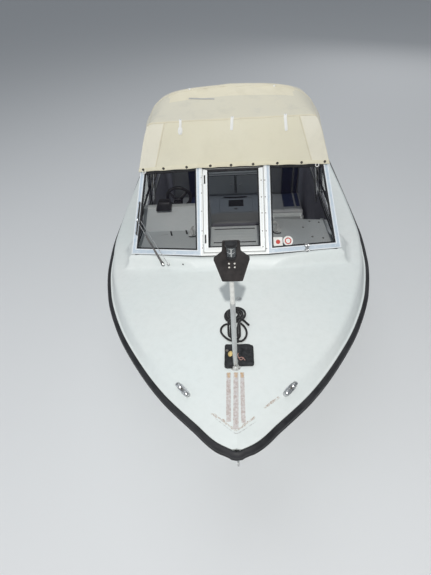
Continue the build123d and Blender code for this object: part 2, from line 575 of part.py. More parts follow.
# ---------------------------------------------------------------- light mast on the foredeck
mx, ms = MAST
base = Pos(*pt(mx, ms, MAST_BASE_Z + 4)) * Cylinder(34, 30) + Pos(*pt(mx, ms, MAST_BASE_Z + 28)) * Cylinder(22, 30)
tube = rod(pt(mx, ms, MAST_BASE_Z + 44), pt(mx, ms, MAST_BASE_Z + MAST_H), MAST_R)
base -= deck
save("mast_foot", base)
save("mast_tube", tube)
board_pts = [(-49, 662), (49, 662), (80, 806), (80, 826), (42, 867), (40, 912), (-40, 912), (-42, 867), (-80, 826), (-80, 806)]
bface = Face(Wire.make_polygon([Vector(*pt(mx + x, ms - MAST_R - 12.5, MAST_BASE_Z + h)) for x, h in board_pts], close=True))
board = extrude(bface, 12, dir=(0, 1, 0))
save("light_board", board)
bracket = block(mx - 20, mx + 20, ms - MAST_R - 0.5, ms + MAST_R + 4, MAST_BASE_Z + MAST_H + 0.2, MAST_BASE_Z + MAST_H + 60)
save("mast_head", bracket)
lamp = rounded_block(mx - 39, mx + 39, ms - MAST_R - 60, ms - MAST_R - 12.7, MAST_BASE_Z + 806, MAST_BASE_Z + 916, 16, Axis.Y)
save("nav_light", lamp)

# ---------------------------------------------------------------- foredeck fittings
pad = rounded_block(-70, 104, 520, 650, 940, 986, 20, Axis.Z)
pad = pad - deck - Pos(*pt(MAST[0], MAST[1], 960)) * Cylinder(37, 120)
save("mooring_pad", pad)


def chock(sign):
    c = Vector(*pt(sign * 288, 338, deck_z(288, 338)))
    ang = 42 * sign
    foot = Box(34, 96, 8)
    foot = fillet(foot.edges().filter_by(Axis.Z), 14)
    left = Pos(0, -24, 16) * Box(16, 40, 26)
    right = Pos(0, 24, 16) * Box(16, 40, 26)
    body = foot + left + right
    return Pos(c.X, c.Y, c.Z + 5) * Rot(0, 0, -ang) * body


chocks = [(chock(s) - deck) for s in (1, -1)]
save("bow_chocks", Compound(children=[x for c in chocks for x in c.solids()]))


def cleat(x, s):
    z = deck_z(x, s)
    foot = Box(26, 90, 8)
    horn = Pos(0, 0, 34) * Box(18, 150, 12)
    legs = Pos(0, -24, 18) * Cylinder(8, 30) + Pos(0, 24, 18) * Cylinder(8, 30)
    return (Pos(*pt(x, s, z + 6)) * (foot + legs + horn)) - deck


cleats = [cleat(x, s) for x in (905, -905) for s in (4300.0,)]
save("side_cleats", Compound(children=[x for c in cleats for x in c.solids()]))

# towing eye at the stem: plate with a bore across the boat
eye = Pos(*pt(0, 128, 470)) * (Rot(0, 90, 0) * Cylinder(30, 14)) + block(-7, 7, 128, 330, 445, 495)
eye -= Pos(*pt(0, 128, 470)) * (Rot(0, 90, 0) * Cylinder(14, 40))
eye = eye - hull
eye = max(eye.solids(), key=lambda q: q.volume)
save("bow_eye", eye)
for name, sign in (("port", 1), ("starboard", -1)):
    se = Pos(*pt(sign * 620, LENGTH + 32, 420)) * (Rot(0, 90, 0) * Cylinder(24, 12)) + block(sign * 620 - 6, sign * 620 + 6, LENGTH + 0.1, LENGTH + 32, 400, 440)
    se -= Pos(*pt(sign * 620, LENGTH + 32, 420)) * (Rot(0, 90, 0) * Cylinder(11, 40))
    save(f"stern_eye_{name}", se)

# windscreen wiper, parked against the starboard post: (x, s, z)
WIPER_P1, WIPER_P2, WIPER_END = (-544.0, 1415.0, 999.0), (-501.0, 1406.0, 1004.0), (-737.0, 1659.0, 1230.0)
slope = Vector(0, -0.74, 0.68)
p1, p2, e1 = v(WIPER_P1), v(WIPER_P2), v(WIPER_END)
post = (v(mirror_x(TOP_OUT, -1)) - v(mirror_x(SCREEN_BASE_OUT, -1))).normalized()
wip = rod(tuple(p1 - slope * 6), tuple(p1 + slope * 24), 12) + rod(tuple(p2 - slope * 6), tuple(p2 + slope * 20), 9)
wip = wip + rod(tuple(p1 + slope * 19), tuple(e1), 5) + rod(tuple(p2 + slope * 16), tuple(e1 + Vector(12, 0, 4)), 3.5)
wip = wip + rod(tuple(e1 - Vector(6, 0, 0)), tuple(e1 + Vector(20, 2, 4)), 6)
blade_c = e1 - Vector(0, -16, -15) * 1.0
wip = wip + rod(tuple(e1), tuple(blade_c), 5) + rod(tuple(blade_c - post * 150), tuple(blade_c + post * 120), 6)
wip = wip - deck - screen - panes["starboard"]
save("wiper", max(wip.solids(), key=lambda q: q.volume))

# ---------------------------------------------------------------- outboard motor
ts, tz = TILT_AXIS
clamp = None
for sign in (1, -1):
    x0, x1 = sorted((sign * 92, sign * 108))
    plate = block(x0, x1, 5400, LENGTH + 74, TRANSOM_TOP + 0.3, TRANSOM_TOP + 24)
    plate += block(x0, x1, LENGTH, LENGTH + 74, TRANSOM_TOP + 20, TRANSOM_TOP + 84)
    plate += block(x0, x1, 5400, WELL_REAR - 0.3, TRANSOM_TOP - 60, TRANSOM_TOP + 0.3)
    plate += block(x0, x1, LENGTH + 0.3, LENGTH + 74, -60, TRANSOM_TOP + 0.3)
    plate -= Pos(*pt(sign * 100, ts, tz)) * (Rot(0, 90, 0) * Cylinder(15, 60))
    clamp = plate if clamp is None else clamp + plate
clamp += block(-100, 100, 5404, 5424, TRANSOM_TOP + 2, TRANSOM_TOP + 22)
tube = Pos(*pt(0, ts, tz)) * (Rot(0, 90, 0) * Cylinder(15, 250))
clamp += tube
save("clamp_bracket", clamp)

swivel = Pos(*pt(0, ts, tz)) * (Rot(0, 90, 0) * Cylinder(30, 172))
swivel += Pos(*pt(0, STEER_S, 120)) * Cylinder(36, 440)
swivel += block(-34, 34, ts, STEER_S, 250, 330)
swivel += block(-28, 28, LENGTH + 30, STEER_S, -90, 250)
swivel -= Pos(*pt(0, ts, tz)) * (Rot(0, 90, 0) * Cylinder(15.06, 300))
swivel -= Pos(*pt(0, STEER_S, 120)) * Cylinder(20.06, 600)
save("swivel_bracket", swivel)

leg = Pos(*pt(0, STEER_S, 118)) * Cylinder(20, 500)
leg += block(-40, 40, STEER_S - 26, 5760, 346, 372)
leg += block(-40, 40, STEER_S - 26, 5760, -135, -107)
leg += rounded_block(-55, 55, 5668, 5830, -262, 372, 30, Axis.Z)
leg += rounded_block(-105, 105, 5650, 6000, -276, -262, 40, Axis.Z)
leg += rounded_block(-20, 20, 5680, 5850, -430, -262, 18, Axis.Z)
leg += Pos(*pt(0, 5775, PROP_Z)) * (Rot(90, 0, 0) * Cylinder(46, 185))
nosec = Pos(*pt(0, 5682.5, PROP_Z)) * Sphere(46)
leg += nosec
skeg = Face(Wire.make_polygon([Vector(*pt(-5, s, z)) for s, z in [(5700, -480), (5855, -480), (5838, -655), (5780, -655)]], close=True))
leg += extrude(skeg, 10, dir=(1, 0, 0))
leg += rounded_block(-120, 120, 5560, 5900, 372, 398, 60, Axis.Z)
save("motor_leg", leg)

cowl_out = [(398.4, 5560, 5975, 150), (470, 5542, 6010, 172), (640, 5540, 6010, 168), (790, 5560, 5960, 140), (840, 5596, 5900, 100)]


def cowl_face(z, s0, s1, w, d=0.0):
    pl = Plane(origin=pt(0, (s0 + s1) / 2, z))
    r = min(w, (s1 - s0) / 2) * 0.55
    return pl * RectangleRounded(2 * (w - d), s1 - s0 - 2 * d, r - d * 0.5)


cowl = loft([cowl_face(*r) for r in cowl_out], ruled=True)
inner = loft([cowl_face(r[0] - (1 if i == 0 else (8 if i == len(cowl_out) - 1 else 0)), r[1], r[2], r[3], 8.0) for i, r in enumerate(cowl_out)], ruled=True)
cowl = cowl - inner
save("motor_cowl", cowl)
save("engine_block", rounded_block(-110, 110, 5590, 5880, 398.6, 760, 30, Axis.Z))

hub = Pos(*pt(0, PROP_S + 12, PROP_Z)) * (Rot(90, 0, 0) * Cylinder(38, 84))
prop = hub
for i in range(3):
    blade = Pos(0, 0, 88) * Rot(0, 0, 32) * (Rot(0, 90, 0) * extrude(Ellipse(66, 46), 6, both=False))
    prop = prop + Pos(*pt(0, PROP_S + 12, PROP_Z)) * (Rot(0, 120 * i, 0) * blade)
save("propeller", prop)

# ---------------------------------------------------------------- coil of line lying on the foredeck
coil = rounded_block(-72, 72, 815, 950, 990.5, 1020, 60, Axis.Z)
coil = coil + rounded_block(-98, 72, 660, 830, 987, 1012, 70, Axis.Z)
coil = coil - deck - pad
save("rope_coil", max(coil.solids(), key=lambda q: q.volume))
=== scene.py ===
import bpy
import bmesh
import math
import numpy as np
from mathutils import Vector, Matrix
from mathutils import noise as mnoise
from mathutils.bvhtree import BVHTree


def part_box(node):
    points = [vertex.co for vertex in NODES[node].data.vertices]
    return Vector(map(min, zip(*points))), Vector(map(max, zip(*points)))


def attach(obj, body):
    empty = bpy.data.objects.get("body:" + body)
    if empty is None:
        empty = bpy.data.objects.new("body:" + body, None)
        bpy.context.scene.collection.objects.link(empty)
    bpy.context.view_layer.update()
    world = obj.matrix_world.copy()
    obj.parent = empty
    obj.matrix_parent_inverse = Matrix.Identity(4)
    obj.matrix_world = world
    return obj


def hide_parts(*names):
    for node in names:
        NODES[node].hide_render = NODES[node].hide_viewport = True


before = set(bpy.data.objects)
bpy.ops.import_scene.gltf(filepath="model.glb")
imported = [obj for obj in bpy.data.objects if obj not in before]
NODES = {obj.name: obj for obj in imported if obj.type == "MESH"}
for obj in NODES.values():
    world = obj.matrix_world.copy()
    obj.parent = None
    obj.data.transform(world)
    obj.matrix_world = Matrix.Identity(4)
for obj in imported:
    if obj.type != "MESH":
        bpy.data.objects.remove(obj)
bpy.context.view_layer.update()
rng = np.random.default_rng(7)
HALF = 2.75                      # s (distance aft of the rail's tip) = y + HALF, metres


# =====================================================================================================
# camera, lights, floor
# =====================================================================================================
def make_camera():
    cam = bpy.data.cameras.new("photo_camera")
    cam.sensor_fit = "AUTO"
    cam.sensor_width = 36.0
    cam.lens = 400.0 * 36.0 / 575.0
    cam.clip_start, cam.clip_end = 0.05, 200.0
    ob = bpy.data.objects.new("photo_camera", cam)
    bpy.context.scene.collection.objects.link(ob)
    r = Vector((0.997636, 0.031307, -0.061161))
    u = Vector((0.024538, 0.669114, 0.742755))
    f = Vector((-0.064177, 0.7425, -0.666764))
    m = Matrix(((r.x, u.x, -f.x, 0.042779), (r.y, u.y, -f.y, -3.695252), (r.z, u.z, -f.z, 2.868117), (0, 0, 0, 1)))
    ob.matrix_world = m
    bpy.context.scene.camera = ob
    return ob


make_camera()


def area(name, loc, target, size, power, color=(1, 1, 1), spread=math.radians(180)):
    l = bpy.data.lights.new(name, "AREA")
    l.shape = "RECTANGLE"
    l.size, l.size_y = size
    l.energy = power
    l.color = color
    l.spread = spread
    ob = bpy.data.objects.new(name, l)
    bpy.context.scene.collection.objects.link(ob)
    ob.location = loc
    d = Vector(target) - Vector(loc)
    ob.rotation_euler = d.to_track_quat("-Z", "Y").to_euler()
    return ob


area("key", (0.16, -7.23, 7.58), (0, -0.6, 0.8), (0.18, 0.18), 480, (1.0, 0.985, 0.955))
area("top", (-1.0, 0.8, 8.5), (0, 0, 0.6), (7.0, 7.0), 120, (0.94, 0.975, 1.0))
area("fill", (-7.0, -4.0, 3.6), (0, -0.5, 0.6), (4.0, 4.0), 48, (0.92, 0.965, 1.0))
area("rear", (4.5, 8.0, 4.5), (0, 1.5, 0.5), (5.0, 4.0), 70, (1, 1, 1))

world = bpy.data.worlds.new("studio")
bpy.context.scene.world = world
world.use_nodes = True
world.node_tree.nodes["Background"].inputs[0].default_value = (0.80, 0.86, 0.93, 1)
world.node_tree.nodes["Background"].inputs[1].default_value = 0.29
bpy.context.scene.view_settings.view_transform = "Standard"
bpy.context.scene.view_settings.look = "None"
bpy.context.scene.view_settings.exposure = 0.0


# =====================================================================================================
# materials
# =====================================================================================================
class Mat:
    """node-based material: builder with a few helpers"""

    def __init__(self, name, color, rough=0.5, metal=0.0, spec=0.5, coat=0.0, coat_rough=0.1, sheen=0.0, alpha=1.0, ior=None):
        self.m = bpy.data.materials.new(name)
        self.m.use_nodes = True
        self.nt = self.m.node_tree
        self.b = self.nt.nodes["Principled BSDF"]
        i = self.b.inputs
        i["Base Color"].default_value = (*color, 1)
        i["Roughness"].default_value = rough
        i["Metallic"].default_value = metal
        i["Specular IOR Level"].default_value = spec
        i["Coat Weight"].default_value = coat
        i["Coat Roughness"].default_value = coat_rough
        i["Sheen Weight"].default_value = sheen
        i["Alpha"].default_value = alpha
        if ior:
            i["IOR"].default_value = ior
        self.coord = self.nt.nodes.new("ShaderNodeTexCoord")
        self.normal = None

    def node(self, kind, **kw):
        n = self.nt.nodes.new(kind)
        for k, v in kw.items():
            setattr(n, k, v)
        return n

    def link(self, a, b):
        self.nt.links.new(a, b)

    def mapped(self, scale=(1, 1, 1), rot=(0, 0, 0), loc=(0, 0, 0)):
        mp = self.node("ShaderNodeMapping")
        mp.inputs["Scale"].default_value = scale
        mp.inputs["Rotation"].default_value = rot
        mp.inputs["Location"].default_value = loc
        self.link(self.coord.outputs["Object"], mp.inputs["Vector"])
        return mp.outputs[0]

    def noise(self, scale, detail=4.0, rough=0.55, vec=None, distort=0.0):
        n = self.node("ShaderNodeTexNoise")
        n.inputs["Scale"].default_value = scale
        n.inputs["Detail"].default_value = detail
        n.inputs["Roughness"].default_value = rough
        n.inputs["Distortion"].default_value = distort
        self.link(vec if vec is not None else self.coord.outputs["Object"], n.inputs["Vector"])
        return n.outputs["Fac"]

    def voronoi(self, scale, vec=None, feature="F1", randomness=1.0):
        n = self.node("ShaderNodeTexVoronoi", feature=feature)
        n.inputs["Scale"].default_value = scale
        if "Randomness" in n.inputs:
            n.inputs["Randomness"].default_value = randomness
        self.link(vec if vec is not None else self.coord.outputs["Object"], n.inputs["Vector"])
        return n.outputs["Distance"]

    def wave(self, scale, vec=None, direction="X", distort=0.0, kind="BANDS", profile="SIN"):
        n = self.node("ShaderNodeTexWave", wave_type=kind, wave_profile=profile)
        if kind == "BANDS":
            n.bands_direction = direction
        n.inputs["Scale"].default_value = scale
        n.inputs["Distortion"].default_value = distort
        self.link(vec if vec is not None else self.coord.outputs["Object"], n.inputs["Vector"])
        return n.outputs["Fac"]

    def ramp(self, fac, lo, hi, a=0.0, b=1.0):
        n = self.node("ShaderNodeMapRange")
        n.inputs["From Min"].default_value = lo
        n.inputs["From Max"].default_value = hi
        n.inputs["To Min"].default_value = a
        n.inputs["To Max"].default_value = b
        n.clamp = True
        self.link(fac, n.inputs["Value"])
        return n.outputs[0]

    def math(self, op, a, b=None):
        n = self.node("ShaderNodeMath", operation=op)
        for k, v in enumerate((a, b)):
            if v is None:
                continue
            if isinstance(v, (int, float)):
                n.inputs[k].default_value = v
            else:
                self.link(v, n.inputs[k])
        return n.outputs[0]

    def axis(self, which, vec=None):
        n = self.node("ShaderNodeSeparateXYZ")
        self.link(vec if vec is not None else self.coord.outputs["Object"], n.inputs[0])
        return n.outputs["XYZ".index(which)]

    def mix(self, fac, c1, c2):
        n = self.node("ShaderNodeMix", data_type="RGBA")
        for sock, v in ((n.inputs[6], c1), (n.inputs[7], c2)):
            if isinstance(v, tuple):
                sock.default_value = (*v, 1)
            else:
                self.link(v, sock)
        if isinstance(fac, (int, float)):
            n.inputs[0].default_value = fac
        else:
            self.link(fac, n.inputs[0])
        return n.outputs[2]

    def color(self, out):
        self.link(out, self.b.inputs["Base Color"])
        return self

    def rough(self, out):
        self.link(out, self.b.inputs["Roughness"])
        return self

    def bump(self, height, strength=0.2, distance=0.001):
        n = self.node("ShaderNodeBump")
        n.inputs["Strength"].default_value = strength
        n.inputs["Distance"].default_value = distance
        self.link(height, n.inputs["Height"])
        if self.normal is not None:
            self.link(self.normal, n.inputs["Normal"])
        self.normal = n.outputs[0]
        self.link(self.normal, self.b.inputs["Normal"])
        return self


MATS = {}


def build_materials():
    # gelcoat of deck and hull: faint mottling, dust
    m = Mat("gelcoat", (0.78, 0.82, 0.81), rough=0.34, spec=0.5, coat=0.25, coat_rough=0.22)
    big = m.ramp(m.noise(1.3, 5, 0.6), 0.35, 0.7)
    fine = m.ramp(m.noise(26, 4, 0.6), 0.42, 0.72)
    c = m.mix(big, (0.76, 0.815, 0.805), (0.80, 0.83, 0.815))
    c = m.mix(m.math("MULTIPLY", fine, 0.18), c, (0.62, 0.66, 0.64))
    m.color(c)
    m.rough(m.ramp(m.noise(9, 3), 0.3, 0.7, 0.28, 0.46))
    m.bump(m.noise(340, 2, 0.5), 0.05, 0.0006)
    MATS["gelcoat"] = m

    # hull topside and bottom: gelcoat with a scum line at the water and a grey-blue bottom
    m = Mat("hull_gelcoat", (0.78, 0.82, 0.81), rough=0.3, coat=0.35, coat_rough=0.16)
    z = m.axis("Z")
    wob = m.noise(2.2, 4, 0.6)
    zz = m.math("ADD", z, m.math("MULTIPLY", wob, 0.03))
    stain = m.math("MULTIPLY", m.ramp(zz, 0.115, 0.02), m.ramp(m.noise(7, 6, 0.7, m.mapped((1, 1, 0.25))), 0.3, 0.75))
    c = m.mix(m.ramp(m.noise(1.1, 4), 0.35, 0.7), (0.74, 0.79, 0.785), (0.79, 0.82, 0.805))
    runs = m.math("MULTIPLY", m.ramp(m.noise(11, 3, 0.6, m.mapped((1, 1, 0.05))), 0.55, 0.8), m.ramp(z, 0.9, 0.3, 0.35, 0.0))
    c = m.mix(runs, c, (0.50, 0.48, 0.40))
    c = m.mix(m.math("MULTIPLY", stain, 0.75), c, (0.30, 0.31, 0.20))
    bottom = m.ramp(zz, 0.034, 0.028)
    c2 = m.mix(m.ramp(m.noise(16, 6, 0.7), 0.35, 0.7), (0.045, 0.075, 0.11), (0.07, 0.11, 0.13))
    c = m.mix(bottom, c, c2)
    m.color(c)
    m.rough(m.math("ADD", m.math("MULTIPLY", bottom, 0.35), 0.27))
    m.bump(m.noise(120, 4, 0.6), 0.08, 0.0006)
    MATS["hull"] = m

    # non-slip patches moulded into the liner and deck
    m = Mat("liner", (0.60, 0.63, 0.63), rough=0.5, coat=0.1, coat_rough=0.3)
    c = m.mix(m.ramp(m.noise(2.6, 5, 0.6), 0.35, 0.7), (0.56, 0.60, 0.61), (0.64, 0.665, 0.66))
    c = m.mix(m.math("MULTIPLY", m.ramp(m.noise(38, 5, 0.7), 0.5, 0.8), 0.3), c, (0.40, 0.41, 0.40))
    m.color(c)
    m.bump(m.noise(420, 2), 0.12, 0.0006)
    MATS["liner"] = m
    # darkened copy of the liner: painted shade, used on the cuddy bulkhead under the dash
    m = Mat("liner_painted_shade", (0.21, 0.21, 0.24), rough=0.6, coat=0.05, coat_rough=0.4)
    m.color(m.mix(m.ramp(m.noise(9, 5, 0.6), 0.35, 0.8), (0.23, 0.23, 0.26), (0.17, 0.17, 0.20)))
    m.bump(m.noise(120, 4), 0.15, 0.0006)
    MATS["liner_painted_shade"] = m
    # dark grey side lining, darkened further as painted shade under the hood
    m = Mat("liner_side_dark_and_painted_shade", (0.27, 0.27, 0.31), rough=0.7)
    m.color(m.mix(m.ramp(m.noise(9, 5, 0.6), 0.35, 0.8), (0.29, 0.29, 0.33), (0.21, 0.21, 0.25)))
    m.bump(m.noise(160, 4), 0.25, 0.0008)
    MATS["liner_side_dark_and_painted_shade"] = m

    m = Mat("liner_edge", (0.74, 0.77, 0.76), rough=0.4, coat=0.15, coat_rough=0.25)
    m.color(m.mix(m.ramp(m.noise(8, 5, 0.6), 0.35, 0.75), (0.72, 0.76, 0.755), (0.80, 0.82, 0.80)))
    m.bump(m.noise(300, 2), 0.08, 0.0005)
    MATS["liner_edge"] = m

    m = Mat("sole", (0.42, 0.44, 0.44), rough=0.72)
    c = m.mix(m.ramp(m.noise(2.1, 5, 0.65), 0.3, 0.7), (0.33, 0.37, 0.41), (0.41, 0.445, 0.48))
    c = m.mix(m.ramp(m.math("ADD", m.axis("Y"), m.math("MULTIPLY", m.noise(3.0, 4), 0.12)), 0.95, 0.86), c, (0.36, 0.355, 0.335))
    c = m.mix(m.math("MULTIPLY", m.ramp(m.noise(30, 5, 0.7), 0.52, 0.8), 0.4), c, (0.25, 0.25, 0.23))
    m.color(c)
    m.bump(m.voronoi(260), 0.35, 0.0012)
    MATS["sole"] = m

    # black extruded rubber of the rub rail, greyed by sun
    m = Mat("rail_rubber", (0.018, 0.018, 0.02), rough=0.55, spec=0.4)
    c = m.mix(m.ramp(m.noise(6, 6, 0.65), 0.35, 0.75), (0.010, 0.010, 0.012), (0.038, 0.038, 0.042))
    scuff = m.math("MULTIPLY", m.ramp(m.noise(60, 5, 0.7, m.mapped((1, 1, 3.0))), 0.58, 0.8), 0.35)
    m.color(m.mix(scuff, c, (0.13, 0.13, 0.13)))
    m.rough(m.ramp(m.noise(12, 4), 0.3, 0.7, 0.42, 0.68))
    m.bump(m.noise(240, 3), 0.15, 0.0006)
    MATS["rail"] = m

    m = Mat("rubber_pad", (0.02, 0.02, 0.022), rough=0.75, spec=0.35)
    c = m.mix(m.ramp(m.noise(40, 6, 0.7), 0.35, 0.75), (0.010, 0.011, 0.013), (0.05, 0.052, 0.055))
    m.color(c)
    m.bump(m.voronoi(190), 0.5, 0.0015)
    MATS["pad"] = m

    # pale anodised windscreen profiles: extrusion lines, oxide bloom, scratches
    m = Mat("screen_alloy", (0.85, 0.89, 0.92), rough=0.36, metal=0.2, spec=0.5)
    c = m.mix(m.ramp(m.noise(7, 5, 0.65), 0.35, 0.75), (0.82, 0.875, 0.92), (0.90, 0.92, 0.93))
    c = m.mix(m.math("MULTIPLY", m.ramp(m.noise(55, 6, 0.75), 0.56, 0.8), 0.45), c, (0.42, 0.43, 0.42))
    m.color(c)
    m.rough(m.ramp(m.noise(30, 4), 0.3, 0.7, 0.28, 0.5))
    m.bump(m.noise(300, 3), 0.08, 0.0005)
    MATS["alloy"] = m

    # groove of the profiles, with a painted sky reflection in its blue-grey colour, and weathered screw heads
    m = Mat("alloy_groove_painted_sky", (0.60, 0.68, 0.78), rough=0.32, metal=0.3)
    m.color(m.mix(m.ramp(m.noise(24, 5, 0.7), 0.35, 0.75), (0.60, 0.70, 0.80), (0.76, 0.82, 0.87)))
    m.bump(m.noise(300, 3), 0.08, 0.0005)
    MATS["alloy_groove_painted_sky"] = m
    m = Mat("worn_steel", (0.35, 0.34, 0.33), rough=0.5, metal=0.8)
    m.color(m.mix(m.ramp(m.noise(160, 4, 0.7), 0.4, 0.75), (0.27, 0.255, 0.235), (0.12, 0.095, 0.075)))
    m.bump(m.noise(400, 2), 0.2, 0.0004)
    MATS["worn_steel"] = m
    m = Mat("button_dark", (0.10, 0.09, 0.085), rough=0.42, metal=0.85)
    m.color(m.mix(m.ramp(m.noise(150, 4, 0.7), 0.4, 0.75), (0.12, 0.11, 0.10), (0.05, 0.042, 0.036)))
    m.bump(m.noise(500, 2), 0.2, 0.0004)
    MATS["button_dark"] = m

    m = Mat("screen_white", (0.80, 0.815, 0.80), rough=0.4, spec=0.5)
    c = m.mix(m.math("MULTIPLY", m.ramp(m.noise(36, 6, 0.75), 0.55, 0.8), 0.6), (0.82, 0.835, 0.82), (0.55, 0.53, 0.46))
    m.color(c)
    m.bump(m.noise(200, 3), 0.1, 0.0005)
    MATS["white_profile"] = m

    m = Mat("seal_grey", (0.50, 0.51, 0.50), rough=0.6)
    m.color(m.mix(m.ramp(m.noise(40, 4), 0.35, 0.7), (0.46, 0.47, 0.46), (0.62, 0.62, 0.60)))
    m.bump(m.noise(300, 2), 0.1, 0.0004)
    MATS["seal_grey"] = m
    m = Mat("chrome_worn", (0.78, 0.79, 0.78), rough=0.34, metal=0.3)
    m.color(m.mix(m.ramp(m.noise(60, 5, 0.7), 0.4, 0.8), (0.84, 0.85, 0.84), (0.52, 0.50, 0.44)))
    m.bump(m.noise(260, 2), 0.1, 0.0004)
    MATS["chrome_worn"] = m

    m = Mat("gasket", (0.012, 0.012, 0.014), rough=0.6, spec=0.4)
    m.color(m.mix(m.ramp(m.noise(50, 4), 0.35, 0.7), (0.008, 0.008, 0.010), (0.03, 0.03, 0.034)))
    m.bump(m.noise(300, 2), 0.1, 0.0004)
    MATS["gasket"] = m

    # grey tinted acrylic: light passes, edges and glancing angles reflect
    m = Mat("tint_glass", (0.012, 0.010, 0.018), rough=0.04, spec=0.5, alpha=0.16, ior=1.45)
    m.rough(m.ramp(m.noise(5, 5, 0.6), 0.35, 0.8, 0.02, 0.10))
    MATS["glass"] = m

    m = Mat("clear_lens", (0.30, 0.34, 0.36), rough=0.06, spec=0.7, alpha=0.32, ior=1.5, coat=1.0, coat_rough=0.03)
    w = m.wave(160, direction="Z")
    m.bump(w, 0.6, 0.0015)
    MATS["lens"] = m

    # steel fittings
    m = Mat("stainless", (0.62, 0.63, 0.64), rough=0.28, metal=1.0)
    c = m.mix(m.ramp(m.noise(40, 5, 0.7), 0.4, 0.8), (0.66, 0.67, 0.68), (0.42, 0.41, 0.39))
    m.color(c)
    m.rough(m.ramp(m.noise(70, 4), 0.3, 0.7, 0.2, 0.42))
    m.bump(m.noise(260, 2), 0.08, 0.0004)
    MATS["steel"] = m

    m = Mat("mast_alloy", (0.62, 0.64, 0.64), rough=0.42, metal=0.75)
    c = m.mix(m.ramp(m.noise(26, 6, 0.7, m.mapped((1, 1, 0.2))), 0.35, 0.8), (0.70, 0.72, 0.72), (0.48, 0.49, 0.48))
    m.color(c)
    m.rough(m.ramp(m.noise(60, 4), 0.3, 0.7, 0.32, 0.55))
    m.bump(m.noise(240, 3), 0.12, 0.0005)
    MATS["mast"] = m

    # paler upper sleeve of the mast: its own lighter finish, brightened further as a painted highlight
    m = Mat("mast_pale_and_painted_highlight", (0.86, 0.86, 0.82), rough=0.36, metal=0.25)
    m.color(m.mix(m.ramp(m.noise(40, 5, 0.7), 0.4, 0.8), (0.88, 0.88, 0.84), (0.66, 0.66, 0.62)))
    m.bump(m.noise(240, 3), 0.1, 0.0004)
    MATS["mast_pale_and_painted_highlight"] = m

    m = Mat("black_plastic", (0.014, 0.014, 0.016), rough=0.42, spec=0.45)
    c = m.mix(m.ramp(m.noise(20, 5, 0.6), 0.4, 0.75), (0.010, 0.010, 0.012), (0.035, 0.034, 0.036))
    m.color(c)
    m.bump(m.noise(520, 2), 0.18, 0.0005)
    MATS["plastic"] = m

    m = Mat("brown_black_board", (0.022, 0.018, 0.017), rough=0.5, spec=0.4)
    c = m.mix(m.ramp(m.noise(18, 6, 0.65), 0.35, 0.75), (0.014, 0.011, 0.011), (0.05, 0.042, 0.040))
    m.color(c)
    m.rough(m.ramp(m.noise(14, 4), 0.3, 0.75, 0.4, 0.65))
    m.bump(m.noise(420, 3), 0.2, 0.0005)
    MATS["board"] = m

    m = Mat("wiper_paint", (0.12, 0.12, 0.125), rough=0.45, metal=0.6)
    m.color(m.mix(m.ramp(m.noise(60, 5, 0.7), 0.4, 0.75), (0.09, 0.09, 0.095), (0.24, 0.22, 0.20)))
    m.bump(m.noise(300, 2), 0.1, 0.0004)
    MATS["wiper"] = m

    # hood canvas: plain weave, sun-bleached roof, yellower panels low down, grey mildew in the folds
    def canvas(name, a, b, dirt, dirt_amt, sheen=0.2):
        m = Mat(name, a, rough=0.86, spec=0.25, sheen=sheen)
        m.b.inputs["Sheen Roughness"].default_value = 0.6
        c = m.mix(m.ramp(m.noise(2.4, 6, 0.62), 0.3, 0.75), a, b)
        d = m.math("MULTIPLY", m.ramp(m.noise(6.5, 7, 0.72, m.mapped((1.0, 1.6, 0.7))), 0.5, 0.78), dirt_amt)
        c = m.mix(d, c, dirt)
        sp = m.math("MULTIPLY", m.ramp(m.noise(70, 4, 0.7), 0.66, 0.8), 0.35)
        c = m.mix(sp, c, dirt)
        m.color(c)
        wx = m.wave(330, direction="X", distort=0.6)
        wz = m.wave(330, vec=m.mapped(rot=(math.radians(40), 0, 0)), direction="Z", distort=0.6)
        m.bump(m.math("MAXIMUM", wx, wz), 0.22, 0.0005)
        m.bump(m.noise(9, 5, 0.6), 0.25, 0.004)
        return m
    MATS["canvas_side"] = canvas("canvas_side", (0.775, 0.735, 0.61), (0.79, 0.76, 0.655), (0.62, 0.60, 0.50), 0.5)
    MATS["canvas_crest"] = canvas("canvas_crest", (0.745, 0.695, 0.54), (0.765, 0.725, 0.59), (0.60, 0.555, 0.43), 0.55)
    MATS["canvas_roof"] = canvas("canvas_roof", (0.665, 0.64, 0.54), (0.70, 0.665, 0.535), (0.52, 0.51, 0.45), 0.55)
    MATS["canvas_front"] = canvas("canvas_front", (0.725, 0.685, 0.535), (0.745, 0.71, 0.575), (0.60, 0.565, 0.44), 0.35)
    MATS["canvas_hem"] = canvas("canvas_hem", (0.74, 0.69, 0.525), (0.77, 0.73, 0.58), (0.52, 0.47, 0.34), 0.5)
    MATS["canvas_seam"] = canvas("canvas_seam", (0.66, 0.61, 0.47), (0.72, 0.67, 0.52), (0.44, 0.40, 0.30), 0.5)
    MATS["tape_grey"] = canvas("tape_grey", (0.46, 0.46, 0.44), (0.52, 0.52, 0.50), (0.34, 0.34, 0.32), 0.5)
    MATS["strap"] = canvas("strap_white", (0.86, 0.86, 0.84), (0.80, 0.80, 0.78), (0.5, 0.5, 0.47), 0.3)

    m = Mat("thread", (0.50, 0.46, 0.36), rough=0.9)
    m.bump(m.wave(700, direction="X"), 0.3, 0.0005)
    MATS["thread"] = m

    # seat vinyl: fine leather grain, light grey and dark blue
    def vinyl(name, a, b):
        m = Mat(name, a, rough=0.42, spec=0.45, coat=0.12, coat_rough=0.3)
        c = m.mix(m.ramp(m.noise(5, 5, 0.6), 0.35, 0.75), a, b)
        m.color(c)
        m.rough(m.ramp(m.noise(16, 4), 0.3, 0.7, 0.36, 0.55))
        m.bump(m.voronoi(420, feature="F1"), 0.3, 0.0006)
        return m
    MATS["vinyl_grey"] = vinyl("vinyl_grey", (0.50, 0.52, 0.54), (0.58, 0.59, 0.59))

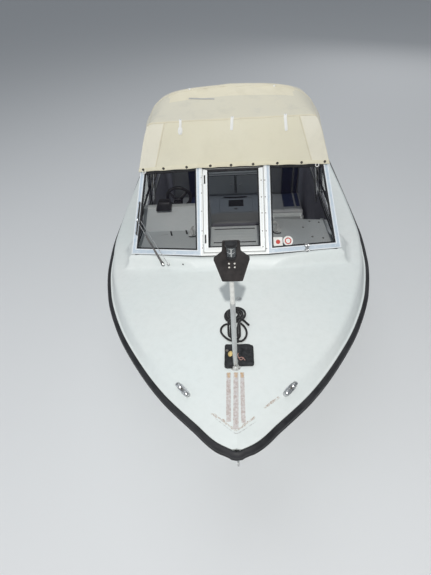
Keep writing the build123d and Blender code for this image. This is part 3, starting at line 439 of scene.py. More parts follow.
    def striped(name, bands):
        m = Mat(name, (0.5, 0.52, 0.54), rough=0.42, spec=0.45, coat=0.12, coat_rough=0.3)
        x = m.axis("X")
        mask = None
        for lo, hi in bands:
            k = m.math("MULTIPLY", m.ramp(x, lo - 0.0008, lo + 0.0008), m.ramp(x, hi + 0.0008, hi - 0.0008))
            mask = k if mask is None else m.math("MAXIMUM", mask, k)
        mask = m.math("MULTIPLY", mask, m.ramp(m.axis("Y"), 0.2885, 0.2900))
        c = m.mix(m.ramp(m.noise(5, 5, 0.6), 0.35, 0.75), (0.50, 0.52, 0.54), (0.60, 0.61, 0.61))
        d = m.mix(m.ramp(m.noise(9, 5, 0.6), 0.35, 0.75), (0.018, 0.034, 0.11), (0.03, 0.05, 0.15))
        m.color(m.mix(mask, c, d))
        m.rough(m.ramp(m.noise(16, 4), 0.3, 0.7, 0.36, 0.55))
        m.bump(m.voronoi(420, feature="F1"), 0.3, 0.0006)
        return m
    MATS["vinyl_pass"] = striped("vinyl_striped_port", [(0.542, 0.666), (0.681, 0.731)])
    MATS["vinyl_helm"] = striped("vinyl_striped_starboard", [(-0.545, -0.418), (-0.403, -0.353)])
    MATS["vinyl_piping"] = vinyl("vinyl_piping", (0.40, 0.42, 0.44), (0.46, 0.47, 0.48))
    MATS["vinyl_blue"] = vinyl("vinyl_blue", (0.018, 0.035, 0.105), (0.03, 0.05, 0.13))

    # outboard
    m = Mat("motor_paint", (0.04, 0.042, 0.046), rough=0.36, metal=0.25, coat=0.3, coat_rough=0.2)
    c = m.mix(m.ramp(m.noise(12, 5, 0.65), 0.35, 0.75), (0.032, 0.034, 0.038), (0.065, 0.067, 0.07))
    c = m.mix(m.math("MULTIPLY", m.ramp(m.noise(45, 6, 0.75), 0.6, 0.8), 0.5), c, (0.20, 0.20, 0.19))
    m.color(c)
    m.bump(m.noise(180, 3), 0.12, 0.0006)
    MATS["motor"] = m
    m = Mat("cowl_gloss", (0.02, 0.021, 0.024), rough=0.18, spec=0.5, coat=0.9, coat_rough=0.06)
    m.color(m.mix(m.ramp(m.noise(3, 4), 0.35, 0.7), (0.014, 0.015, 0.018), (0.028, 0.029, 0.033)))
    m.rough(m.ramp(m.noise(22, 5), 0.35, 0.75, 0.14, 0.3))
    m.bump(m.noise(500, 1), 0.03, 0.0003)
    MATS["cowl"] = m
    m = Mat("cowl_band", (0.42, 0.44, 0.46), rough=0.3, metal=0.6)
    m.color(m.mix(m.ramp(m.noise(14, 4), 0.35, 0.7), (0.38, 0.40, 0.42), (0.50, 0.51, 0.52)))
    m.bump(m.noise(300, 1), 0.05, 0.0003)
    MATS["band"] = m

    m = Mat("prop_alloy", (0.42, 0.43, 0.44), rough=0.38, metal=0.7)
    m.color(m.mix(m.ramp(m.noise(18, 5, 0.7), 0.35, 0.75), (0.46, 0.47, 0.48), (0.24, 0.25, 0.26)))
    m.bump(m.noise(140, 4), 0.1, 0.0005)
    MATS["prop_alloy"] = m

    # black braided line
    m = Mat("rope_black", (0.012, 0.012, 0.013), rough=0.85, spec=0.3, sheen=0.3)
    m.color(m.mix(m.ramp(m.noise(120, 4, 0.7), 0.4, 0.75), (0.008, 0.008, 0.009), (0.04, 0.04, 0.042)))
    m.bump(m.noise(600, 3), 0.5, 0.0008)
    MATS["rope"] = m

    m = Mat("brass_worn", (0.62, 0.42, 0.14), rough=0.42, metal=0.35)
    m.color(m.mix(m.ramp(m.noise(90, 4), 0.5, 0.8), (0.80, 0.60, 0.25), (0.42, 0.28, 0.10)))
    m.bump(m.noise(200, 3), 0.2, 0.0005)
    MATS["brass"] = m

    # worn strips glued to the foredeck: chalky pink-grey residue and rust
    m = Mat("worn_strip", (0.60, 0.55, 0.52), rough=0.8)
    f = m.ramp(m.noise(65, 7, 0.8), 0.40, 0.62)
    c = m.mix(f, (0.70, 0.68, 0.67), (0.45, 0.36, 0.33))
    c = m.mix(m.ramp(m.noise(22, 5, 0.7), 0.5, 0.7), c, (0.60, 0.58, 0.58))
    m.color(c)
    m.bump(m.noise(140, 5, 0.7), 0.6, 0.0012)
    MATS["worn"] = m

    m = Mat("rust_patch", (0.45, 0.22, 0.08), rough=0.85)
    m.color(m.mix(m.ramp(m.noise(110, 6, 0.75), 0.40, 0.62), (0.56, 0.37, 0.20), (0.66, 0.55, 0.46)))
    m.bump(m.noise(220, 4, 0.7), 0.6, 0.0008)
    MATS["rust"] = m
    m = Mat("stain_brown", (0.55, 0.46, 0.38), rough=0.7)
    f = m.ramp(m.noise(75, 7, 0.8), 0.44, 0.60)
    m.color(m.mix(f, (0.73, 0.77, 0.75), (0.44, 0.33, 0.27)))
    m.bump(m.noise(160, 4, 0.7), 0.4, 0.0006)
    MATS["stain"] = m
    m = Mat("stain_grey", (0.6, 0.63, 0.62), rough=0.6)
    m.color(m.mix(m.ramp(m.noise(60, 6, 0.75), 0.42, 0.62), (0.74, 0.78, 0.77), (0.50, 0.51, 0.50)))
    m.bump(m.noise(160, 3), 0.2, 0.0005)
    MATS["stain_grey"] = m
    m = Mat("mast_white", (0.74, 0.75, 0.73), rough=0.45, metal=0.2)
    m.color(m.mix(m.ramp(m.noise(70, 6, 0.75), 0.45, 0.72), (0.66, 0.68, 0.67), (0.38, 0.36, 0.33)))
    m.bump(m.noise(220, 4), 0.25, 0.0006)
    MATS["mast_white"] = m
    m = Mat("screw_bright", (0.80, 0.78, 0.72), rough=0.35, metal=0.35)
    m.color(m.mix(m.noise(150, 3), (0.84, 0.82, 0.78), (0.66, 0.62, 0.54)))
    m.bump(m.noise(300, 2), 0.1, 0.0003)
    MATS["screw_bright"] = m
    m = Mat("scrap_red", (0.50, 0.20, 0.17), rough=0.6)
    m.color(m.mix(m.noise(120, 4), (0.36, 0.15, 0.12), (0.50, 0.34, 0.30)))
    m.bump(m.noise(300, 3), 0.2, 0.0004)
    MATS["scrap_red"] = m

    m = Mat("sticker_white", (0.83, 0.83, 0.80), rough=0.5)
    m.color(m.mix(m.ramp(m.noise(60, 4), 0.45, 0.8), (0.84, 0.84, 0.81), (0.66, 0.65, 0.60)))
    m.bump(m.noise(200, 2), 0.05, 0.0003)
    MATS["sticker"] = m
    m = Mat("sticker_red", (0.55, 0.05, 0.035), rough=0.5)
    m.color(m.mix(m.ramp(m.noise(70, 4), 0.4, 0.8), (0.60, 0.06, 0.04), (0.42, 0.04, 0.03)))
    m.bump(m.noise(200, 2), 0.05, 0.0003)
    MATS["sticker_red"] = m
    # near-black: the real black of dials and studs, and painted shade standing in for slots, recesses and holes
    m = Mat("black_and_painted_opening_shade", (0.01, 0.01, 0.012), rough=0.9)
    m.color(m.mix(m.noise(20), (0.008, 0.008, 0.010), (0.02, 0.02, 0.022)))
    MATS["dark"] = m
    m = Mat("engine_iron", (0.10, 0.10, 0.10), rough=0.6, metal=0.5)
    m.color(m.mix(m.noise(20, 5), (0.07, 0.07, 0.07), (0.16, 0.155, 0.15)))
    m.bump(m.noise(80, 4), 0.4, 0.001)
    MATS["iron"] = m
    m = Mat("floor_pale", (0.78, 0.79, 0.80), rough=0.9, spec=0.2)
    MATS["floor"] = m


build_materials()


def setmat(ob, key):
    ob.data.materials.clear()
    ob.data.materials.append(MATS[key].m)
    return ob


# =====================================================================================================
# mesh helpers
# =====================================================================================================
def new_object(name, verts, faces, mat=None, smooth=True, angle=None):
    me = bpy.data.meshes.new(name)
    me.from_pydata([tuple(map(float, v)) for v in verts], [], [tuple(f) for f in faces])
    me.validate()
    me.update()
    ob = bpy.data.objects.new(name, me)
    bpy.context.scene.collection.objects.link(ob)
    if mat:
        setmat(ob, mat)
    if smooth:
        me.polygons.foreach_set("use_smooth", [True] * len(me.polygons))
        if angle:
            sharp_by_angle(ob, angle)
    return ob


def sharp_by_angle(ob, deg):
    bm = bmesh.new()
    bm.from_mesh(ob.data)
    lim = math.radians(deg)
    for e in bm.edges:
        e.smooth = not (len(e.link_faces) == 2 and e.calc_face_angle(0.0) > lim)
    for f in bm.faces:
        f.smooth = True
    bm.to_mesh(ob.data)
    bm.free()


def fix_normals(ob):
    bm = bmesh.new()
    bm.from_mesh(ob.data)
    bmesh.ops.remove_doubles(bm, verts=bm.verts, dist=1e-6)
    bmesh.ops.recalc_face_normals(bm, faces=bm.faces)
    bm.to_mesh(ob.data)
    bm.free()
    return ob


def apply_mods(ob):
    dg = bpy.context.evaluated_depsgraph_get()
    me = bpy.data.meshes.new_from_object(ob.evaluated_get(dg), preserve_all_data_layers=True, depsgraph=dg)
    ob.modifiers.clear()
    old = ob.data
    ob.data = me
    me.name = ob.name
    if old.users == 0:
        bpy.data.meshes.remove(old)
    return ob


def grid_faces(nu, nv, close_u=False, close_v=False, off=0):
    """faces of a grid with nu rows of nv points"""
    f = []
    for i in range(nu - (0 if close_u else 1)):
        for j in range(nv - (0 if close_v else 1)):
            a, b = i * nv + j, i * nv + (j + 1) % nv
            c, d = ((i + 1) % nu) * nv + (j + 1) % nv, ((i + 1) % nu) * nv + j
            f.append((a + off, b + off, c + off, d + off))
    return f


def grid_object(name, rows, mat, close_u=False, close_v=False, angle=None, caps=False):
    rows = np.asarray(rows, float)
    nu, nv = rows.shape[:2]
    f = grid_faces(nu, nv, close_u, close_v)
    if caps:
        f.append(tuple(range(nv))[::-1])
        f.append(tuple((nu - 1) * nv + k for k in range(nv)))
    ob = new_object(name, rows.reshape(-1, 3), f, mat)
    fix_normals(ob)
    if angle:
        sharp_by_angle(ob, angle)
    return ob


def bevel_box(name, lo, hi, r, mat, seg=3, rot=None, about=None, subdiv=0):
    """closed box with rounded edges, given by its corners"""
    bm = bmesh.new()
    bmesh.ops.create_cube(bm, size=1.0)
    lo, hi = Vector(lo), Vector(hi)
    c, d = (lo + hi) / 2, hi - lo
    for v in bm.verts:
        v.co = Vector((v.co.x * d.x, v.co.y * d.y, v.co.z * d.z))
    if r > 0:
        bmesh.ops.bevel(bm, geom=list(bm.edges), offset=min(r, min(d) * 0.49), segments=seg, profile=0.5, affect="EDGES")
    m = Matrix.Translation(c)
    if rot is not None:
        m = Matrix.Translation(c) @ rot.to_4x4()
    bm.transform(m)
    me = bpy.data.meshes.new(name)
    bm.to_mesh(me)
    bm.free()
    ob = bpy.data.objects.new(name, me)
    bpy.context.scene.collection.objects.link(ob)
    setmat(ob, mat)
    sharp_by_angle(ob, 40)
    return ob


def smooth_path(pts, n, closed=False):
    """points evenly along a Catmull-Rom curve through pts"""
    p = np.asarray(pts, float)
    if len(p) == 2:
        t = np.linspace(0, 1, n)[:, None]
        return p[0] * (1 - t) + p[1] * t
    if closed:
        ext = np.vstack([p[-1], p, p[0], p[1]])
    else:
        ext = np.vstack([2 * p[0] - p[1], p, 2 * p[-1] - p[-2]])
    out = []
    segs = len(ext) - 3
    for i in range(segs):
        p0, p1, p2, p3 = ext[i:i + 4]
        for t in np.linspace(0, 1, 24, endpoint=False):
            out.append(0.5 * ((2 * p1) + (-p0 + p2) * t + (2 * p0 - 5 * p1 + 4 * p2 - p3) * t * t + (-p0 + 3 * p1 - 3 * p2 + p3) * t ** 3))
    if not closed:
        out.append(ext[-2])
    out = np.array(out)
    loop = np.vstack([out, out[:1]]) if closed else out
    d = np.r_[0, np.cumsum(np.linalg.norm(np.diff(loop, axis=0), axis=1))]
    q = np.linspace(0, d[-1], n + 1)[:-1] if closed else np.linspace(0, d[-1], n)
    return np.stack([np.interp(q, d, loop[:, k]) for k in range(3)], 1)


def sweep(name, path, section, mat, closed=False, up=(0, 0, 1), angle=None, scale=None):
    """sweeps a closed 2-D section (side, up) along a path; returns a closed mesh"""
    p = np.asarray(path, float)
    n = len(p)
    t = np.zeros_like(p)
    if closed:
        t = np.roll(p, -1, 0) - np.roll(p, 1, 0)
    else:
        t[1:-1] = p[2:] - p[:-2]
        t[0], t[-1] = p[1] - p[0], p[-1] - p[-2]
    t /= np.linalg.norm(t, axis=1)[:, None]
    side0 = np.cross(t[0], np.array(up, float))
    if np.linalg.norm(side0) < 1e-3:
        side0 = np.cross(t[0], np.array((1.0, 0.3, 0)))
    sides = []
    s = side0 / np.linalg.norm(side0)
    for i in range(n):
        s = s - t[i] * np.dot(s, t[i])
        s /= np.linalg.norm(s)
        sides.append(s.copy())
    rows = []
    for i in range(n):
        k = 1.0 if scale is None else scale[i]
        u = np.cross(sides[i], t[i])
        rows.append([p[i] + sides[i] * a * k + u * b * k for a, b in section])
    return grid_object(name, rows, mat, close_u=closed, close_v=True, caps=not closed, angle=angle)


def circle2(r, n=12):
    return [(r * math.cos(2 * math.pi * k / n), r * math.sin(2 * math.pi * k / n)) for k in range(n)]


def tube(name, path, r, mat, n=12, closed=False, angle=None, scale=None):
    return sweep(name, path, circle2(r, n), mat, closed=closed, angle=angle or 50, scale=scale)


def lathe(name, profile, origin, axis, mat, n=28, angle=35):
    """closed solid of revolution: profile of (radius, height) from axis to axis"""
    z = Vector(axis).normalized()
    q = Vector((0, 0, 1)).rotation_difference(z)
    o = Vector(origin)
    rows = []
    for r, h in profile:
        rr = max(r, 1e-5)
        rows.append([tuple(o + q @ Vector((rr * math.cos(2 * math.pi * k / n), rr * math.sin(2 * math.pi * k / n), h))) for k in range(n)])
    return grid_object(name, rows, mat, close_v=True, caps=True, angle=angle)


def join(name, obs, keep_mats=True):
    """joins meshes into one object"""
    verts, faces, mats, midx, smooth, sharp = [], [], [], [], [], []
    me = bpy.data.meshes.new(name)
    bm = bmesh.new()
    for ob in obs:
        start = len(bm.faces)
        tmp = ob.data.copy()
        tmp.transform(ob.matrix_world)
        ids = []
        for m in tmp.materials:
            if m not in mats:
                mats.append(m)
            ids.append(mats.index(m))
        bm.from_mesh(tmp)
        bm.faces.ensure_lookup_table()
        for f in bm.faces[start:]:
            f.material_index = ids[min(f.material_index, len(ids) - 1)] if ids else 0
        bpy.data.meshes.remove(tmp)
    bm.to_mesh(me)
    bm.free()
    for m in mats:
        me.materials.append(m)
    out = bpy.data.objects.new(name, me)
    bpy.context.scene.collection.objects.link(out)
    for ob in obs:
        d = ob.data
        bpy.data.objects.remove(ob)
        if d.users == 0:
            bpy.data.meshes.remove(d)
    return out


def boolean(ob, cutter, op="DIFFERENCE"):
    m = ob.modifiers.new("cut", "BOOLEAN")
    m.operation = op
    m.object = cutter
    m.solver = "EXACT"
    apply_mods(ob)
    d = cutter.data
    bpy.data.objects.remove(cutter)
    bpy.data.meshes.remove(d)
    return ob


def plain_box(lo, hi):
    return bevel_box("cutter", lo, hi, 0, "gelcoat")


def S(x, s, z):
    """a point given by its distance aft of the rail's tip, in metres"""
    return (x, s - HALF, z)


def mm(x, s, z):
    return (x / 1000.0, s / 1000.0 - HALF, z / 1000.0)


# =====================================================================================================
# hull and deck curves (millimetres), the same tables as the construction
# =====================================================================================================
RAIL = [(0, 0), (52, 101), (156, 213), (364, 424), (624, 623), (936, 813), (1300, 966), (1716, 1062),
        (2184, 1103), (2704, 1106), (3328, 1102), (4160, 1087), (4992, 1056), (5500, 1030)]
KNUCKLE = [(116, 2), (239, 176), (478, 419), (790, 667), (1154, 851), (1570, 988), (1986, 1047),
           (2506, 1056), (3130, 1044), (3848, 1030), (4784, 1005), (5500, 985)]
CROWN = [(0, 908), (116, 927), (250, 936), (490, 952), (800, 975), (1100, 992), (1320, 1001), (1700, 1004), (5500, 1000)]
HULL = [(14, 4, 868, 858), (52, 14, 800, 775), (156, 35, 625, 520), (364, 130, 480, 210), (624, 262, 368, -15), (936, 470, 262, -177),
        (1300, 640, 175, -240), (1716, 790, 100, -285), (2184, 860, 55, -305), (3328, 912, 5, -312), (4160, 915, -5, -310), (5500, 905, -20, -290)]
FLANGE = 8.0


def at(table, s, col=1):
    xs, ys = [float(r[0]) for r in table], [float(r[col]) for r in table]
    n = len(xs)
    if s <= xs[0]:
        return ys[0]
    if s >= xs[-1]:
        return ys[-1]
    h = [xs[i + 1] - xs[i] for i in range(n - 1)]
    d = [(ys[i + 1] - ys[i]) / h[i] for i in range(n - 1)]
    m = [d[0]] + [0.0] * (n - 2) + [d[-1]]
    for i in range(1, n - 1):
        if d[i - 1] * d[i] > 0:
            w1, w2 = 2 * h[i] + h[i - 1], h[i] + 2 * h[i - 1]
            m[i] = (w1 + w2) / (w1 / d[i - 1] + w2 / d[i])
    i = max(k for k in range(n - 1) if xs[k] <= s)
    t = (s - xs[i]) / h[i]
    return ((1 + 2 * t) * (1 - t) ** 2 * ys[i] + t * (1 - t) ** 2 * h[i] * m[i]
            + t * t * (3 - 2 * t) * ys[i + 1] + t * t * (t - 1) * h[i] * m[i + 1])


def rail_z(s):
    return 749 + 156 * max(0.0, 1 - s / 2912.0) ** 2


def knuckle_z(s):
    return rail_z(s) + 31 + 114 * (1 - math.exp(-(max(s, 0) / 1248.0) ** 1.5))


def deck_z(x, s):
    k = max(at(KNUCKLE, s), 1.0)
    return knuckle_z(s) + (at(CROWN, s) - knuckle_z(s)) * max(0.0, 1 - (x / k) ** 2)


# windscreen plinth: planes given by three (x, s, z) points each
PLINTH_PLANES = [
    ((-256, 1330, 993), (256, 1330, 993), (256, 1412, 1060)),
    ((250, 1330, 993), (840, 1460, 925), (817, 1508, 1028)),
    ((-840, 1460, 925), (-250, 1330, 993), (-817, 1508, 1028)),
    ((846, 1452, 925), (889, 1640, 900), (817, 1508, 1028)),
    ((-889, 1640, 900), (-846, 1452, 925), (-817, 1508, 1028)),
    ((-256, 1412, 1060), (256, 1412, 1060), (0, 1640, 1050)),
    ((256, 1412, 1060), (817, 1508, 1028), (835, 1640, 1018)),
    ((-256, 1412, 1060), (-817, 1508, 1028), (-835, 1640, 1018)),
]


def plane_z(p, x, s):
    (x0, s0, z0), (x1, s1, z1), (x2, s2, z2) = p
    det = (x1 - x0) * (s2 - s0) - (x2 - x0) * (s1 - s0)
    a = ((z1 - z0) * (s2 - s0) - (z2 - z0) * (s1 - s0)) / det
    b = ((x1 - x0) * (z2 - z0) - (x2 - x0) * (z1 - z0)) / det
    return z0 + a * (x - x0) + b * (s - s0)


def smin(vals, k):
    out = vals[0]
    for v in vals[1:]:
        h = max(k - abs(out - v), 0.0) / k
        out = min(out, v) - h * h * k * 0.25
    return out


def smax(a, b, k):
    h = max(k - abs(a - b), 0.0) / k
    return max(a, b) + h * h * k * 0.25


def plinth_z(x, s):
    vals = [plane_z(p, x, s) for p in PLINTH_PLANES]
    # behind the windscreen the raised base runs down into the side decks
    vals.append(1050 - max(0.0, s - 1640) * 0.55 - max(0, abs(x) - 840) * 1.6)
    return smin(vals, 12.0)


def top_z(x, s):
    z = deck_z(x, s)
    if 1280 < s < 1900 and abs(x) < 930:
        z = smax(z, plinth_z(x, s), 22.0)
    return z


def deck_profile(s):
    """half profile from the centreline to the rail: list of (x, z), top surface"""
    k, zk, R, zr, zc = at(KNUCKLE, s), knuckle_z(s), at(RAIL, s), rail_z(s), at(CROWN, s)
    if s < 116:
        k = 2.0 * (s - 14) / 102.0 + 0.2
        zk = zc
    rr = min(26.0, 0.3 * k + 1.0, 0.35 * math.hypot(R - k, zk - zr) + 0.5)
    pts = []
    ke = k - rr
    for t in np.linspace(0, 1, 40):
        x = ke * t
        pts.append((x, top_z(x, s) if s >= 116 else zc))
    a = pts[-1]
    dx, dz = R - 15 - k, zr + 1.5 - zk
    L = math.hypot(dx, dz)
    b = (k + dx / L * rr, zk + dz / L * rr)
    for t in np.linspace(0, 1, 8)[1:]:
        pts.append(((1 - t) ** 2 * a[0] + 2 * t * (1 - t) * k + t * t * b[0], (1 - t) ** 2 * a[1] + 2 * t * (1 - t) * zk + t * t * b[1]))
    foot = (R - 15, zr + 1.5)
    f1 = (foot[0] - dx / L * min(12, L * 0.2), foot[1] - dz / L * min(12, L * 0.2))
    for t in np.linspace(0, 1, 7)[1:]:
        pts.append((b[0] + (f1[0] - b[0]) * t, b[1] + (f1[1] - b[1]) * t))
    f2 = (R - 8, zr + 1.2)
    for t in np.linspace(0, 1, 5)[1:]:
        pts.append(((1 - t) ** 2 * f1[0] + 2 * t * (1 - t) * foot[0] + t * t * f2[0], (1 - t) ** 2 * f1[1] + 2 * t * (1 - t) * foot[1] + t * t * f2[1]))
    for x, z in ((R - 4, zr + 1.0), (R - 1.5, zr + 0.2), (R - 0.3, zr - 1.6), (R, zr - FLANGE + 0.5)):
        pts.append((x, z))
    return pts


def build_deck():
    ss = list(np.linspace(14, 60, 7)) + list(np.linspace(72, 300, 20)) + list(np.linspace(316, 1290, 56)) + \
        list(np.linspace(1298, 1560, 52)) + list(np.linspace(1580, 2100, 22)) + list(np.linspace(2200, 5500, 34))
    rows_t, rows_b = [], []
    for s in ss:
        p = deck_profile(s)
        right = [mm(x, s, z) for x, z in p]
        left = [(-x, y, z) for x, y, z in right[1:]][::-1]
        rows_t.append(left + right)
        # underside: laminate thickness, meeting the lip at the rail
        n = len(p)
        pb = []
        for i, (x, z) in enumerate(p):
            if i >= n - 5:
                pb.append((at(RAIL, s) - 20 + (i - (n - 5)) * 4.9, rail_z(s) - FLANGE + 0.4))
            else:
                pb.append((min(x, at(RAIL, s) - 24), max(z - 24, rail_z(s) - FLANGE + 0.4)))
        right = [mm(x, s, z) for x, z in pb]
        left = [(-x, y, z) for x, y, z in right[1:]][::-1]
        rows_b.append(left + right)
    T, B = np.array(rows_t), np.array(rows_b)
    nu, nv = T.shape[:2]
    verts = np.vstack([T.reshape(-1, 3), B.reshape(-1, 3)])
    off = nu * nv
    faces = grid_faces(nu, nv)
    faces += [tuple(reversed(f)) for f in grid_faces(nu, nv, off=off)]
    for i in range(nu - 1):
        faces.append((i * nv, (i + 1) * nv, off + (i + 1) * nv, off + i * nv))
        faces.append((i * nv + nv - 1, off + i * nv + nv - 1, off + (i + 1) * nv + nv - 1, (i + 1) * nv + nv - 1))
    for j in range(nv - 1):
        faces.append((j, off + j, off + j + 1, j + 1))
        a = (nu - 1) * nv
        faces.append((a + j, a + j + 1, off + a + j + 1, off + a + j))
    ob = new_object("deck_moulding", verts, faces, "gelcoat")
    fix_normals(ob)
    boolean(ob, plain_box(S(-0.770, 1.500, 0.5), S(0.770, 2.0415, 1.4)))
    boolean(ob, plain_box(S(-0.800, 2.040, 0.5), S(0.800, 4.750, 1.4)))
    boolean(ob, plain_box(S(-0.430, 4.850, 0.5), S(0.430, 5.440, 1.4)))
    boolean(ob, plain_box(S(-0.330, 5.42, 0.5), S(0.330, 5.60, 1.4)))
    sharp_by_angle(ob, 32)
    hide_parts("deck")
    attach(ob, "boat")
    return ob


def hull_profile(s):
    """half profile from the keel to the sheer, outer skin"""
    c, zc, zk = at(HULL, s, 1), at(HULL, s, 2), at(HULL, s, 3)
    b, zt = at(RAIL, s), rail_z(s) - FLANGE
    pts = []
    # bottom with two spray strakes
    wide = min(1.0, max(0.0, (s - 700) / 900.0))
    for t in np.linspace(0, 1, 25):
        x = c * t
        z = zk + (zc - zk) * (t + 0.10 * math.sin(math.pi * t))
        for tc in (0.36, 0.68):
            d = (t - tc) / 0.045
            if 0 <= d <= 1:
                z -= 16 * wide * (1 - d) * (1 if tc < 0.5 else 0.9)
        pts.append((x, z))
    # chine flat
    fl = 26.0 * min(1.0, max(0.0, (s - 250) / 1000.0))
    pts.append((c + fl * 0.5, zc + 1))
    pts.append((c + fl, zc + 3))
    x0, z0 = pts[-1]
    mx, mz = c + (b - c) * 0.60, zc + (zt - zc) * 0.50
    for t in np.linspace(0, 1, 17)[1:]:
        x = (1 - t) ** 2 * x0 + 2 * t * (1 - t) * (2 * mx - 0.5 * (x0 + b)) + t * t * b
        z = (1 - t) ** 2 * z0 + 2 * t * (1 - t) * (2 * mz - 0.5 * (z0 + zt)) + t * t * zt
        pts.append((x, z))
    return pts


def build_hull():
    ss = list(np.linspace(14, 160, 16)) + list(np.linspace(180, 1000, 36)) + list(np.linspace(1040, 2200, 30)) + list(np.linspace(2300, 5500, 36))
    outer, inner = [], []
    th = 16.0
    for s in ss:
        p = np.array(hull_profile(s))
        # inward offset of the profile in its own plane
        d = np.gradient(p, axis=0)
        nrm = np.stack([-d[:, 1], d[:, 0]], 1)
        nrm /= np.linalg.norm(nrm, axis=1)[:, None] + 1e-9
        q = p + nrm * min(th, 0.35 * p[:, 0].max() + 0.5)
        q[:, 0] = np.clip(q[:, 0], 0.4, None)
        q[0, 0] = 0.0
        q[-1, 1] = p[-1, 1]
        q[:, 1] = np.minimum(q[:, 1], p[-1, 1])
        for src, dst in ((p, outer), (q, inner)):
            right = [mm(x, s, z) for x, z in src]
            left = [(-x, y, z) for x, y, z in right[1:]][::-1]
            dst.append(left + right)
    O, I = np.array(outer), np.array(inner)
    nu, nv = O.shape[:2]
    verts = list(O.reshape(-1, 3)) + list(I.reshape(-1, 3))
    off = nu * nv
    faces = grid_faces(nu, nv) + [tuple(reversed(f)) for f in grid_faces(nu, nv, off=off)]
    for i in range(nu - 1):
        faces.append((i * nv, (i + 1) * nv, off + (i + 1) * nv, off + i * nv))
        faces.append((i * nv + nv - 1, off + i * nv + nv - 1, off + (i + 1) * nv + nv - 1, (i + 1) * nv + nv - 1))
    for j in range(nv - 1):
        faces.append((j, off + j, off + j + 1, j + 1))
    # transom: a closed plate between the last outer ring and a ring 40 mm forward of it
    a = (nu - 1) * nv
    faces.append(tuple(a + j for j in range(nv)))
    faces.append(tuple(off + a + j for j in range(nv))[::-1])
    # rim between them at the sheer
    faces.append((a, off + a, off + a + nv - 1, a + nv - 1))
    ob = new_object("hull_skin", verts, faces, "hull")
    # move the inner transom face forward
    me = ob.data
    for j in range(nv):
        me.vertices[off + a + j].co.y -= 0.045
    fix_normals(ob)
    boolean(ob, plain_box(S(-0.330, 5.30, 0.240), S(0.330, 5.70, 1.4)))
    sharp_by_angle(ob, 24)
    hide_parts("hull")
    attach(ob, "boat")
    return ob


def wall_ring(name, outline, z_top, z_bot, t, mat, lip=0.018, closed=True):
    """liner wall standing on a plan outline (x, s in mm), with a rolled top edge"""
    pts = [np.array(p, float) for p in outline]
    n = len(pts)
    rows = []
    for i in range(n):
        a, b, c = pts[i - 1], pts[i], pts[(i + 1) % n]
        if not closed and i == 0:
            a = b - (c - b)
        if not closed and i == n - 1:
            c = b + (b - a)
        d1, d2 = (b - a) / np.linalg.norm(b - a), (c - b) / np.linalg.norm(c - b)
        n1, n2 = np.array([-d1[1], d1[0]]), np.array([-d2[1], d2[0]])
        m = n1 + n2
        m = m / max(1e-6, np.dot(m, n1)) if np.dot(m, n1) > 0.2 else n1
        zt = z_top(b[0], b[1]) if callable(z_top) else z_top
        prof = [(0, z_bot), (0, zt - 8), (1.5, zt - 2), (6, zt + 3), (14, zt + 5), (26, zt + 5), (34, zt + 3), (36, zt - 1), (t, zt - 4), (t, z_bot)]
        rows.append([mm(b[0] + m[0] * o, b[1] + m[1] * o, z) for o, z in prof])
    return grid_object(name, rows, mat, close_u=closed, close_v=True, caps=not closed, angle=35)


deck = build_deck()
hull = build_hull()


# ---- rub rail: rubber profile swept round the boat, with a groove and rounded nose
def build_rail():
    ss = [14] + list(np.linspace(20, 200, 24)) + list(np.linspace(220, 1400, 44)) + list(np.linspace(1460, 5499, 60))
    side = []
    for s in ss:
        side.append((at(RAIL, s), s, rail_z(s)))
    left = [(-x, s, z) for x, s, z in side][::-1]
    # rounded tip between the two sides
    tip = [(-18.0, 6.0, rail_z(8)), (0.0, 3.0, rail_z(8)), (18.0, 6.0, rail_z(8))]
    path = left + tip + side
    P = np.array(path)
    T = np.gradient(P[:, :2], axis=0)
    T /= np.linalg.norm(T, axis=1)[:, None]
    N = np.stack([T[:, 1], -T[:, 0]], 1)          # outwards when going from port aft round the bow
    if N[-1, 0] < 0:
        N = -N
    prof = [(0.8, -1.0), (4, 1.5), (10, 1.0), (18, -2.5), (25, -8), (29.5, -16), (31, -25), (27.5, -30), (27.5, -37), (31, -42),
            (29.5, -50), (24, -58), (14, -63.5), (6, -65), (0.8, -64)]
    rows = []
    for (x, s, z), n in zip(P, N):
        k = 1.0
        if s < 30:
            k = 0.92
        rows.append([mm(x + n[0] * o * k, s + n[1] * o * k, z + h) for o, h in prof])
    ob = grid_object("rub_rail_rubber", rows, "rail", close_v=True, caps=True, angle=50)
    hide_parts("rub_rail")
    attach(ob, "boat")
    return ob


build_rail()

# ---- liners of the cockpit and the motor well, between the deck and the sole
ck = [(-800, 2066), (-800, 4749), (800, 4749), (800, 2066)]
dense = []
for a, b in zip(ck, ck[1:]):
    for t in np.linspace(0, 1, 25 if abs(a[1] - b[1]) > 100 else 21, endpoint=False):
        dense.append((a[0] + (b[0] - a[0]) * t, a[1] + (b[1] - a[1]) * t))
dense.append(ck[-1])
# the cockpit liner's dark grey is partly painted shade under the hood
liner = wall_ring("cockpit_liner", dense, lambda x, s: top_z(abs(x) + 18, s), 82.5, 42.0, "liner_side_dark_and_painted_shade", closed=False)
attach(liner, "boat")
wl = [(-331, 5499), (-331, 5441), (-430, 5440), (-430, 4850), (430, 4850), (430, 5440), (331, 5441), (331, 5499)]
well = wall_ring("well_liner", wl[::-1], lambda x, s: top_z(abs(x) + 18, s), 150.0, 42.0, "gelcoat", closed=False)
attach(well, "boat")
wf = bevel_box("well_floor", S(-0.432, 4.848, 0.150), S(0.432, 5.442, 0.170), 0.004, "gelcoat")
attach(wf, "boat")
ts = bevel_box("transom_step", S(-0.3305, 5.4385, 0.150), S(0.3305, 5.4995, 0.2395), 0.008, "gelcoat")
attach(ts, "boat")


